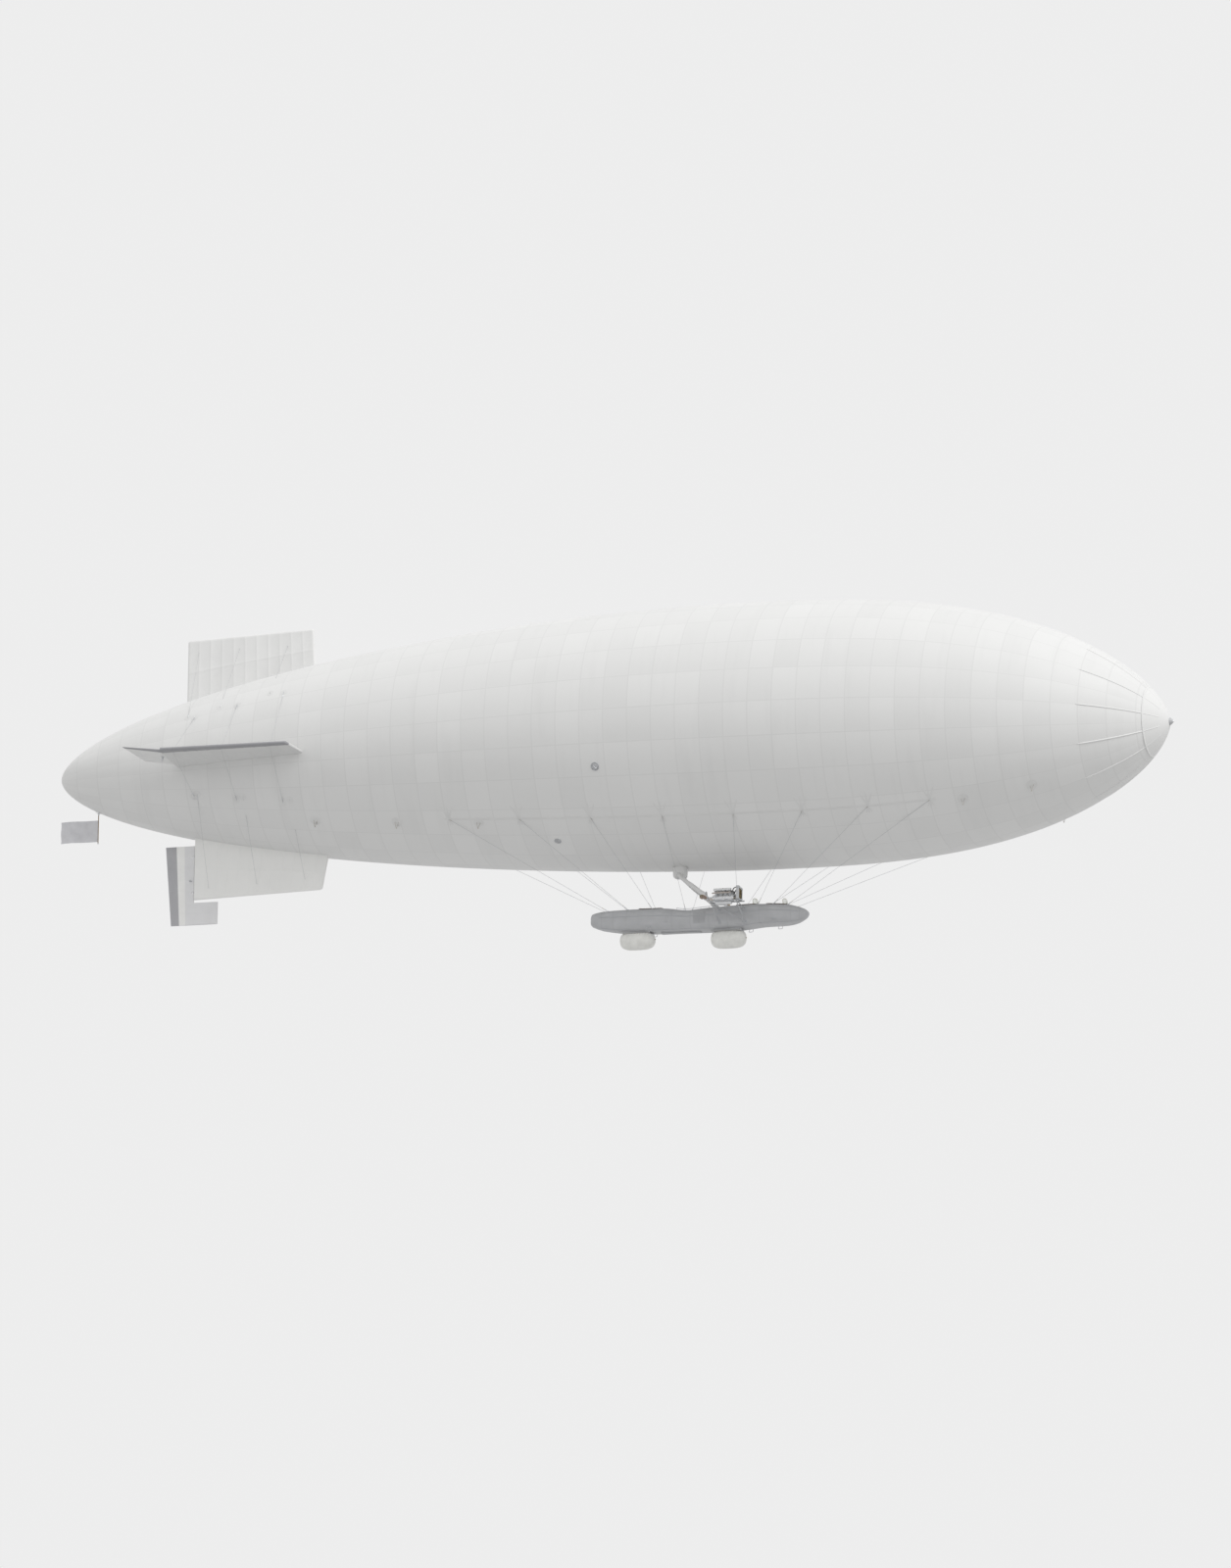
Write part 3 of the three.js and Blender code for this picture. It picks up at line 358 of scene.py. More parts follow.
    def piece(self, name: str, finishes: Sequence["Finish"], body: str = "root", slot: str = "",
              replaces: Sequence[str] = (), crease: float = 38) -> bpy.types.Object:
        """Makes the mesh, dresses it and lets it ride on a body.

        Args:
            name: The piece's name.
            finishes: What it is made of, by finish number.
            body: The body that carries it.
            slot: Not used.
            replaces: The nodes it stands for.
            crease: Degrees between faces past which an edge stays sharp.

        Returns:
            The new object.
        """
        mesh = bpy.data.meshes.new(name)
        mesh.from_pydata([tuple(p) for p in self.points], [], self.faces)
        for finish in finishes:
            mesh.materials.append(finish.material())
        mesh.polygons.foreach_set("material_index", self.paint)
        made = bpy.data.objects.new(name, mesh)
        bpy.context.scene.collection.objects.link(made)
        turn_outwards(mesh)
        shade(mesh, crease)
        return dress(made, body, replaces)


def turn_outwards(mesh: bpy.types.Mesh) -> None:
    """Turns every closed shell's faces outwards.

    Args:
        mesh: The mesh, whose faces are turned.
    """
    shell = bmesh.new()
    shell.from_mesh(mesh)
    bmesh.ops.recalc_face_normals(shell, faces=shell.faces)
    shell.to_mesh(mesh)
    shell.free()


def shade(mesh: bpy.types.Mesh, crease: float) -> None:
    """Shades a mesh smooth, but for edges sharper than the crease angle in degrees."""
    mesh.polygons.foreach_set("use_smooth", [True] * len(mesh.polygons))
    mesh.set_sharp_from_angle(angle=radians(crease))


def dress(made: bpy.types.Object, body: str, replaces: Sequence[str]) -> bpy.types.Object:
    """Lets an object ride on a body, and hides the nodes it stands for.

    Args:
        made: The object.
        body: The body that carries it.
        replaces: The nodes it stands for.

    Returns:
        The same object.
    """
    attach(made, body)
    if replaces:
        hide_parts(*replaces)
    LOG.info("%s rides on %s with %d faces", made.name, body, len(made.data.polygons))
    return made


def finish_node(name: str, finish: "Finish") -> None:
    """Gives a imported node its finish.

    Args:
        name: The node.
        finish: What it is made of.
    """
    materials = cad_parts[name].data.materials
    materials.clear()
    materials.append(finish.material())
    LOG.info("%s is dressed in %s", name, finish.name)


def linear(colour: int, share: float = 1.0) -> tuple[float, float, float, float]:
    """Linear RGBA of an sRGB hex value.

    Args:
        colour: The value.
        share: Makes it lighter or darker.

    Returns:
        Red, green, blue and a full alpha.
    """
    parts = [(colour >> shift & 255) / 255 for shift in (16, 8, 0)]
    lights = [c / 12.92 if c <= 0.04045 else ((c + 0.055) / 1.055) ** 2.4 for c in parts]
    return (*[min(c * share, 1.0) for c in lights], 1.0)


def add_node(
        tree: bpy.types.NodeTree, kind: str, values: dict[str | int, Any] | None = None
) -> bpy.types.Node:
    """Adds a shader node with its settings and links.

    Args:
        tree: The material's or world's tree.
        kind: The node's type, without its ShaderNode prefix.
        values: By property name, input name or input number; a socket is linked and anything else is set.

    Returns:
        The new node.
    """
    node = tree.nodes.new("ShaderNode" + kind)
    for name, value in (values or {}).items():
        if isinstance(value, bpy.types.NodeSocket):
            tree.links.new(value, node.inputs[name])
        elif isinstance(name, str) and hasattr(node, name):
            setattr(node, name, value)
        else:
            node.inputs[name].default_value = value
    return node


def per_metre(millimetres: float) -> float:
    """Texture scale that repeats once in so many millimetres."""
    return 1000.0 / millimetres


@dataclass(frozen=True)
class Finish:
    """A surface as its maker would name it. Its tone wanders by mottle, over patches of mottle_mm."""

    name: str
    colour: int
    roughness: float
    metallic: float = 0.0
    ior: float = 1.5
    mottle: float = 0.06
    mottle_mm: float = 500.0

    def sockets(self) -> dict[str, Any]:
        """Fixed values of the shader's own sockets."""
        return {}

    def tint(self, tree: bpy.types.NodeTree, point: bpy.types.NodeSocket) -> bpy.types.NodeSocket:
        """Colour socket of the surface.

        Args:
            tree: The material's node tree.
            point: Socket of the place on the object, in metres.

        Returns:
            The colour's socket.
        """
        cloud = add_node(
            tree, "TexNoise", {"Vector": point, "Scale": per_metre(self.mottle_mm), "Detail": 5.0})
        return add_node(tree, "Mix", {
            "data_type": "RGBA",
            0: cloud.outputs["Fac"],
            6: linear(self.colour, 1 - 2 * self.mottle),
            7: linear(self.colour, 1 + 2 * self.mottle),
        }).outputs[2]

    def relief(self, tree: bpy.types.NodeTree, point: bpy.types.NodeSocket) -> bpy.types.NodeSocket | None:
        """Height socket of the surface in metres, or None where it is smooth."""
        return None

    def material(self) -> bpy.types.Material:
        """The material, made once for each name.

        Returns:
            The material.
        """
        known = bpy.data.materials.get(self.name)
        if known:
            return known
        made = bpy.data.materials.new(self.name)
        made.use_nodes = True
        tree = made.node_tree
        shader = tree.nodes["Principled BSDF"]
        point = add_node(tree, "TexCoord").outputs["Object"]
        tree.links.new(self.tint(tree, point), shader.inputs["Base Color"])
        values = {"Roughness": self.roughness, "Metallic": self.metallic, **self.sockets()}
        if self.metallic < 0.5:
            values["IOR"] = self.ior
        for socket, value in values.items():
            shader.inputs[socket].default_value = value
        height = self.relief(tree, point)
        if height is not None:
            bump = add_node(tree, "Bump", {"Distance": 1.0, "Strength": 1.0, "Height": height})
            tree.links.new(bump.outputs[0], shader.inputs["Normal"])
        return made


def weave(tree: bpy.types.NodeTree, point: bpy.types.NodeSocket, pitch_mm: float) -> bpy.types.NodeSocket:
    """Plain weave from 0 to 1: two crossed sets of threads.

    Args:
        tree: The material's node tree.
        point: Socket of the place on the object, in metres.
        pitch_mm: Distance between threads.

    Returns:
        The weave's socket.
    """
    threads = [add_node(tree, "TexWave", {
        "Vector": point,
        "bands_direction": direction,
        "Scale": per_metre(pitch_mm) * pi / 10,
        "Distortion": 0.6,
        "Detail": 1.0,
    }).outputs["Fac"] for direction in ("X", "Z")]
    return add_node(tree, "Math", {"operation": "MAXIMUM", 0: threads[0], 1: threads[1]}).outputs[0]


@dataclass(frozen=True)
class DopedCloth(Finish):
    """Woven cotton, doped: matt with a faint sheen, since the threads stay proud of the dope.

    The real threads lie 0.5 mm apart, too fine to show from any view, so the weave is drawn at weave_mm.
    """

    weave_mm: float = 9.0
    thread_mm: float = 0.25
    slack_mm: float = 260.0
    slack_deep_mm: float = 2.0

    def sockets(self) -> dict[str, Any]:
        """A soft sheen at grazing angles."""
        return {"Sheen Weight": 0.12, "Sheen Roughness": 0.5}

    def relief(self, tree: bpy.types.NodeTree, point: bpy.types.NodeSocket) -> bpy.types.NodeSocket:
        """The weave, with slack where the dope shrank unevenly.

        Args:
            tree: The material's node tree.
            point: Socket of the place on the object, in metres.

        Returns:
            The height's socket, in metres.
        """
        slack = add_node(
            tree, "TexNoise", {"Vector": point, "Scale": per_metre(self.slack_mm), "Detail": 2.0})
        threads = add_node(tree, "Math", {
            "operation": "MULTIPLY",
            0: weave(tree, point, self.weave_mm),
            1: self.thread_mm / 1000,
        })
        return add_node(tree, "Math", {
            "operation": "MULTIPLY_ADD",
            0: slack.outputs["Fac"],
            1: self.slack_deep_mm / 1000,
            2: threads.outputs[0],
        }).outputs[0]


@dataclass(frozen=True)
class EnvelopeCloth(DopedCloth):
    """Rubbered three-ply cotton with aluminium dope, glued from panels, its seams taped.

    The UV map counts gores round the envelope and panels along it, so whole numbers are seams.
    """

    tape_gore: float = 0.016
    tape_panel: float = 0.024
    tape_mm: float = 0.8
    pillow_mm: float = 1.6
    streak_mm: float = 900.0

    def seams(self, tree: bpy.types.NodeTree) -> tuple[bpy.types.NodeSocket, ...]:
        """Tape mask from 0 to 1, pillow height from 0 to 1, and a random value for each panel.

        Args:
            tree: The material's node tree.

        Returns:
            Their three sockets.
        """
        counts = add_node(tree, "SeparateXYZ", {0: add_node(tree, "UVMap").outputs[0]}).outputs
        masks, swells, cells = [], [], []
        for socket, tape in ((counts[0], self.tape_gore), (counts[1], self.tape_panel)):
            away = add_node(tree, "Math", {"operation": "PINGPONG", 0: socket, 1: 0.5}).outputs[0]
            masks.append(add_node(tree, "MapRange", {
                "interpolation_type": "SMOOTHSTEP",
                "Value": away,
                "From Min": tape * 0.7,
                "From Max": tape * 1.3,
                "To Min": 1.0,
                "To Max": 0.0,
            }).outputs[0])
            phase = add_node(tree, "Math", {"operation": "MULTIPLY", 0: away, 1: pi}).outputs[0]
            swells.append(add_node(tree, "Math", {"operation": "SINE", 0: phase}).outputs[0])
            cells.append(add_node(tree, "Math", {"operation": "FLOOR", 0: socket}).outputs[0])
        cell = add_node(tree, "CombineXYZ", {0: cells[0], 1: cells[1]}).outputs[0]
        batch = add_node(tree, "TexWhiteNoise", {"noise_dimensions": "2D", "Vector": cell}).outputs["Value"]
        tape = add_node(tree, "Math", {"operation": "MAXIMUM", 0: masks[0], 1: masks[1]}).outputs[0]
        pillow = add_node(tree, "Math", {"operation": "MULTIPLY", 0: swells[0], 1: swells[1]}).outputs[0]
        return tape, pillow, batch

    def tint(self, tree: bpy.types.NodeTree, point: bpy.types.NodeSocket) -> bpy.types.NodeSocket:
        """Panels of slightly different batches, duller tape, and rain streaks that run down from the top.

        Args:
            tree: The material's node tree.
            point: Socket of the place on the object, in metres.

        Returns:
            The colour's socket.
        """
        tape, _, batch = self.seams(tree)
        narrow = add_node(tree, "Mapping", {"Vector": point, "Scale": (3.0, 0.35, 0.35)}).outputs[0]
        runs = add_node(
            tree, "TexNoise", {"Vector": narrow, "Scale": per_metre(self.streak_mm), "Detail": 4.0})
        streak = add_node(tree, "MapRange", {
            "Value": runs.outputs["Fac"],
            "From Min": 0.55,
            "From Max": 0.8,
            "To Max": 0.28,
        })
        shade_of_batch = add_node(tree, "Math", {"operation": "MULTIPLY", 0: batch, 1: 0.35})
        shade_of_tape = add_node(tree, "Math", {"operation": "MULTIPLY", 0: tape, 1: 0.3})
        tone = super().tint(tree, point)
        for part, share in ((shade_of_batch, 0.9), (shade_of_tape, 0.82), (streak, 0.86)):
            tone = add_node(tree, "Mix", {
                "data_type": "RGBA",
                0: part.outputs[0],
                6: tone,
                7: linear(self.colour, share),
            }).outputs[2]
        return tone

    def relief(self, tree: bpy.types.NodeTree, point: bpy.types.NodeSocket) -> bpy.types.NodeSocket:
        """Taped seams, panels that swell between them, and the weave.

        Args:
            tree: The material's node tree.
            point: Socket of the place on the object, in metres.

        Returns:
            The height's socket, in metres.
        """
        tape, pillow, _ = self.seams(tree)
        height = add_node(tree, "Math", {"operation": "MULTIPLY", 0: pillow, 1: self.pillow_mm / 1000})
        for source, rise in ((tape, self.tape_mm), (weave(tree, point, self.weave_mm), self.thread_mm)):
            height = add_node(tree, "Math", {
                "operation": "MULTIPLY_ADD",
                0: source,
                1: rise / 1000,
                2: height.outputs[0],
            })
        return height.outputs[0]


@dataclass(frozen=True)
class Paint(Finish):
    """Brushed enamel on sheet metal or tube: satin, a little uneven, rubbed where hands and boots reach."""

    worn: int = 0xA2A3A4
    speck_mm: float = 18.0
    dent_mm: float = 140.0
    dent_deep_mm: float = 2.0

    def sockets(self) -> dict[str, Any]:
        """The enamel's own clear top."""
        return {"Coat Weight": 0.15, "Coat Roughness": 0.35}

    def tint(self, tree: bpy.types.NodeTree, point: bpy.types.NodeSocket) -> bpy.types.NodeSocket:
        """Enamel, worn to bare metal along the edges.

        Args:
            tree: The material's node tree.
            point: Socket of the place on the object, in metres.

        Returns:
            The colour's socket.
        """
        edge = add_node(tree, "NewGeometry").outputs["Pointiness"]
        speck = add_node(
            tree, "TexNoise", {"Vector": point, "Scale": per_metre(self.speck_mm), "Detail": 4.0})
        near = add_node(
            tree, "Math", {"operation": "MULTIPLY_ADD", 0: speck.outputs["Fac"], 1: 0.05, 2: edge})
        rubbed = add_node(tree, "MapRange", {
            "Value": near.outputs[0],
            "From Min": 0.59,
            "From Max": 0.68,
            "To Max": 0.6,
        })
        return add_node(tree, "Mix", {
            "data_type": "RGBA",
            0: rubbed.outputs[0],
            6: super().tint(tree, point),
            7: linear(self.worn),
        }).outputs[2]

    def relief(self, tree: bpy.types.NodeTree, point: bpy.types.NodeSocket) -> bpy.types.NodeSocket:
        """Brush marks and faint dents.

        Args:
            tree: The material's node tree.
            point: Socket of the place on the object, in metres.

        Returns:
            The height's socket, in metres.
        """
        dents = add_node(
            tree, "TexNoise", {"Vector": point, "Scale": per_metre(self.dent_mm), "Detail": 3.0})
        depth = self.dent_deep_mm / 1000
        return add_node(
            tree, "Math", {"operation": "MULTIPLY", 0: dents.outputs["Fac"], 1: depth}).outputs[0]


@dataclass(frozen=True)
class Metal(Finish):
    """Bare cast, drawn or rolled metal: it mirrors, blurred by its grain."""

    metallic: float = 1.0
    grain_mm: float = 3.0
    grain_depth_mm: float = 0.05

    def relief(self, tree: bpy.types.NodeTree, point: bpy.types.NodeSocket) -> bpy.types.NodeSocket:
        """The grain that its making left.

        Args:
            tree: The material's node tree.
            point: Socket of the place on the object, in metres.

        Returns:
            The height's socket, in metres.
        """
        grain = add_node(
            tree, "TexNoise", {"Vector": point, "Scale": per_metre(self.grain_mm), "Detail": 3.0})
        depth = self.grain_depth_mm / 1000
        return add_node(
            tree, "Math", {"operation": "MULTIPLY", 0: grain.outputs["Fac"], 1: depth}).outputs[0]


class Grain(Enum):
    """How far each axis is drawn out by the wood's grain, so that lines run along the smallest."""

    FORE_AND_AFT = (0.06, 1.0, 1.0)
    UPRIGHT = (1.0, 1.0, 0.06)


@dataclass(frozen=True)
class Wood(Finish):
    """Sawn or laminated wood under varnish, its grain along one axis."""

    grain: Grain = Grain.FORE_AND_AFT
    grain_mm: float = 14.0
    coat: float = 0.5
    pore_deep_mm: float = 0.6

    def sockets(self) -> dict[str, Any]:
        """The varnish."""
        return {"Coat Weight": self.coat, "Coat Roughness": 0.15}

    def lines(self, tree: bpy.types.NodeTree, point: bpy.types.NodeSocket) -> bpy.types.NodeSocket:
        """Grain lines from 0 to 1, drawn out along the axis.

        Args:
            tree: The material's node tree.
            point: Socket of the place on the object, in metres.

        Returns:
            The lines' socket.
        """
        drawn = add_node(tree, "Mapping", {"Vector": point, "Scale": self.grain.value}).outputs[0]
        return add_node(tree, "TexNoise", {
            "Vector": drawn,
            "Scale": per_metre(self.grain_mm),
            "Detail": 6.0,
            "Distortion": 0.8,
        }).outputs["Fac"]

    def tint(self, tree: bpy.types.NodeTree, point: bpy.types.NodeSocket) -> bpy.types.NodeSocket:
        """Light and dark wood by its grain.

        Args:
            tree: The material's node tree.
            point: Socket of the place on the object, in metres.

        Returns:
            The colour's socket.
        """
        part = add_node(
            tree, "MapRange", {"Value": self.lines(tree, point), "From Min": 0.35, "From Max": 0.65})
        return add_node(tree, "Mix", {
            "data_type": "RGBA",
            0: part.outputs[0],
            6: linear(self.colour, 0.6),
            7: linear(self.colour, 1.25),
        }).outputs[2]

    def relief(self, tree: bpy.types.NodeTree, point: bpy.types.NodeSocket) -> bpy.types.NodeSocket:
        """Open pores under the varnish.

        Args:
            tree: The material's node tree.
            point: Socket of the place on the object, in metres.

        Returns:
            The height's socket, in metres.
        """
        depth = self.pore_deep_mm / 1000
        return add_node(
            tree, "Math", {"operation": "MULTIPLY", 0: self.lines(tree, point), 1: depth}).outputs[0]


@dataclass(frozen=True)
class Leather(Finish):
    """Stuffed hide: pebbled, with a dull shine where it is sat on."""

    pebble_mm: float = 6.0
    pebble_deep_mm: float = 1.2

    def relief(self, tree: bpy.types.NodeTree, point: bpy.types.NodeSocket) -> bpy.types.NodeSocket:
        """The hide's pebbles, drawn three times their size so that they show.

        Args:
            tree: The material's node tree.
            point: Socket of the place on the object, in metres.

        Returns:
            The height's socket, in metres.
        """
        cells = add_node(tree, "TexVoronoi", {"Vector": point, "Scale": per_metre(self.pebble_mm)})
        depth = self.pebble_deep_mm / 1000
        return add_node(
            tree, "Math", {"operation": "MULTIPLY", 0: cells.outputs["Distance"], 1: depth}).outputs[0]


@dataclass(frozen=True)
class ClearSheet(Finish):
    """Bent celluloid sheet, clear and a little wavy."""

    wave_mm: float = 120.0
    wave_deep_mm: float = 1.0

    def sockets(self) -> dict[str, Any]:
        """Light goes through."""
        return {"Transmission Weight": 0.95}

    def relief(self, tree: bpy.types.NodeTree, point: bpy.types.NodeSocket) -> bpy.types.NodeSocket:
        """The waves of a sheet bent by hand.

        Args:
            tree: The material's node tree.
            point: Socket of the place on the object, in metres.

        Returns:
            The height's socket, in metres.
        """
        waves = add_node(
            tree, "TexNoise", {"Vector": point, "Scale": per_metre(self.wave_mm), "Detail": 1.0})
        depth = self.wave_deep_mm / 1000
        return add_node(
            tree, "Math", {"operation": "MULTIPLY", 0: waves.outputs["Fac"], 1: depth}).outputs[0]


@dataclass(frozen=True)
class Honeycomb(Finish):
    """Radiator core of soldered brass tubes: bright rims round holes painted black as the shade inside the
    tubes, seen along X.
    """

    cell_mm: float = 14.0
    cell_deep_mm: float = 8.0
    # Near-black colour of the holes: painted shade of the open tubes
    hole_shade: int = 0x0C0C0C

    def cells(self, tree: bpy.types.NodeTree, point: bpy.types.NodeSocket) -> bpy.types.NodeSocket:
        """0 in a cell's rim and 1 in its opening, which the colour paints black as shade.

        Args:
            tree: The material's node tree.
            point: Socket of the place on the object, in metres.

        Returns:
            The cells' socket.
        """
        upright = add_node(tree, "Mapping", {"Vector": point, "Rotation": (pi / 2, 0.0, pi / 2)}).outputs[0]
        bricks = add_node(tree, "TexBrick", {
            "Vector": upright,
            "Scale": per_metre(self.cell_mm),
            "Mortar Size": 0.14,
            "Mortar Smooth": 0.4,
            "Brick Width": 1.0,
            "Row Height": 0.86,
        })
        return add_node(
            tree, "Math", {"operation": "SUBTRACT", 0: 1.0, 1: bricks.outputs["Fac"]}).outputs[0]

    def tint(self, tree: bpy.types.NodeTree, point: bpy.types.NodeSocket) -> bpy.types.NodeSocket:
        """Brass rims, and holes painted black as the shade inside the tubes.

        Args:
            tree: The material's node tree.
            point: Socket of the place on the object, in metres.

        Returns:
            The colour's socket.
        """
        return add_node(tree, "Mix", {
            "data_type": "RGBA",
            0: self.cells(tree, point),
            6: linear(self.colour),
            7: linear(self.hole_shade),
        }).outputs[2]

    def relief(self, tree: bpy.types.NodeTree, point: bpy.types.NodeSocket) -> bpy.types.NodeSocket:
        """The holes' depth.

        Args:
            tree: The material's node tree.
            point: Socket of the place on the object, in metres.

        Returns:
            The height's socket, in metres.
        """
        depth = -self.cell_deep_mm / 1000
        return add_node(
            tree, "Math", {"operation": "MULTIPLY", 0: self.cells(tree, point), 1: depth}).outputs[0]


# Each finish: name, sRGB colour, roughness, metallic, IOR, mottle and the width of its patches in mm
# Envelope, ducts and patches: aluminium dope over rubbered cotton, a pale matt grey
ENVELOPE_CLOTH = EnvelopeCloth("aluminium_doped_envelope_cotton", 0xD9D9D8, 0.62, 0.0, 1.45, 0.015, 2600)
NOSE_CLOTH = DopedCloth("aluminium_doped_nose_cotton", 0xD9D9D8, 0.62, 0.0, 1.45, 0.015, 900)
PATCH_CLOTH = DopedCloth("doped_patch_cotton", 0xD3D3D2, 0.68, 0.0, 1.45, 0.04, 300)
# Tail surfaces: doped cotton over ribs, a touch duller than the envelope
FIN_CLOTH = DopedCloth("doped_fin_cotton", 0xDCDCDB, 0.66, 0.0, 1.45, 0.03, 900)
# Stabilisers and elevators: the cotton painted greyer, as painted shade of the undersides seen from below
STABILISER_SHADE_CLOTH = DopedCloth("stabiliser_cotton_painted_shade", 0xCDCDCC, 0.68, 0.0, 1.45, 0.03, 900)
# Lower fin: the cotton painted paler, as painted light where the hull shades it; the palest of the tail
LOWER_FIN_LIGHT_CLOTH = DopedCloth("lower_fin_cotton_painted_light", 0xEBEBE9, 0.64, 0.0, 1.45, 0.02, 900)
# Bands round the tips of stabilisers and elevators: a dark band painted as the shade along their tips seen
# from below
TIP_SHADE_CLOTH = DopedCloth("dark_tip_band_painted_shade", 0x949497, 0.7, 0.0, 1.45, 0.05, 300)
# Three upright stripes of the rudder, as greys: dark after, pale between, mid-grey ahead
STRIPE_DARK = DopedCloth("dark_stripe_cotton", 0xAEAEB1, 0.6, 0.0, 1.45, 0.05, 500)
STRIPE_PALE = DopedCloth("pale_stripe_cotton", 0xECECEA, 0.62, 0.0, 1.45, 0.03, 500)
STRIPE_MID = DopedCloth("mid_stripe_cotton", 0xDEDEDF, 0.6, 0.0, 1.45, 0.04, 500)
# Ensign: loosely woven wool, the dullest of the cloths, its threads drawn coarser than they are
BUNTING = DopedCloth("wool_bunting", 0xCDCDD0, 0.9, 0.0, 1.4, 0.08, 200, 5.0, 0.5)
# Air bags and their straps: rubbered canvas, a warm pale grey that handling has smeared
BAG_CLOTH = DopedCloth("rubbered_bag_canvas", 0xE0E0DC, 0.72, 0.0, 1.5, 0.1, 160, 6.0, 0.5)
# Lacing and grab loops: twisted cotton cord, greyed and without shine
LACING = DopedCloth("cotton_cord", 0xB4B1AA, 0.85, 0.0, 1.45, 0.12, 40, 4.0, 0.6)
# Car: pale grey enamel on light sheet, dull from weather
CAR_ENAMEL = Paint("grey_car_enamel", 0xB2B3B5, 0.46, 0.0, 1.5, 0.07, 240)
# Cylinder jackets, radiator casings, valve rings and the dials' hands: stove enamel, a little glossier
STOVE_ENAMEL = Paint("grey_stove_enamel", 0xBABCBE, 0.38, 0.0, 1.5, 0.08, 120)
# Tubes and columns: brushed enamel, rubbed along the round
TUBE_ENAMEL = Paint("grey_tube_enamel", 0xB0B2B5, 0.42, 0.0, 1.5, 0.06, 160)
# Rigging: galvanised strands, a broken grey glint
WIRE = Metal("galvanised_wire_rope", 0xB4B6B8, 0.42, mottle=0.08, mottle_mm=60, grain_mm=5)
# Bolts, turnbuckles and shafts: turned steel, a bright mirror blurred by its tool marks
STEEL = Metal("turned_steel", 0xCBCDCF, 0.3, mottle=0.05, mottle_mm=40, grain_mm=4)
# Crankcases and pipes: sand-cast aluminium, the palest metal, with the sand's pebbles
ALUMINIUM = Metal(
    "sand_cast_aluminium", 0xEAEBEC, 0.48, mottle=0.08, mottle_mm=60, grain_mm=4, grain_depth_mm=0.3)
# Caps, frames and blade tips: brass gone dull, a soft yellow shine
BRASS = Metal("dull_brass", 0xA99B7B, 0.36, mottle=0.12, mottle_mm=50)
# Exhaust pipes: steel that heat has dulled, warm and nearly matt
HOT_STEEL = Metal("heat_dulled_exhaust_steel", 0xBAB3AD, 0.55, mottle=0.2, mottle_mm=40, grain_depth_mm=0.2)
# Radiator cores: soldered brass tubes, bright rims round holes painted black as shade
CORE_BRASS = Honeycomb("brass_honeycomb", 0x9A8E72, 0.4, 0.8)
# Floor, gratings, seats and staff: straight-grained spruce under clear varnish
SPRUCE = Wood("varnished_spruce", 0x93806A, 0.42)
# Propellers, panel and wheels: walnut laminations, darker, with broader grain
WALNUT = Wood("laminated_walnut", 0x9A8372, 0.35, grain=Grain.UPRIGHT, grain_mm=18.0)
# Cushions and coamings: stuffed hide, pebbled brown with a dull shine
HIDE = Leather("brown_button_hide", 0x4A3427, 0.5, 0.0, 1.5, 0.12, 90)
# Water hoses and leads: rubber, dark and bloomed
RUBBER = Finish("grey_rubber", 0x626262, 0.7, 0.0, 1.52, 0.1, 40)
# Windscreens: celluloid sheet, clear with a wavy gloss
SCREEN = ClearSheet("bent_celluloid", 0xE8EAE6, 0.04, 0.0, 1.5, 0.02, 200)
# Dials: white enamel on copper, even and half glossy
DIAL = Finish("enamelled_dial_face", 0xE4E2DA, 0.4, 0.0, 1.5, 0.03, 30)


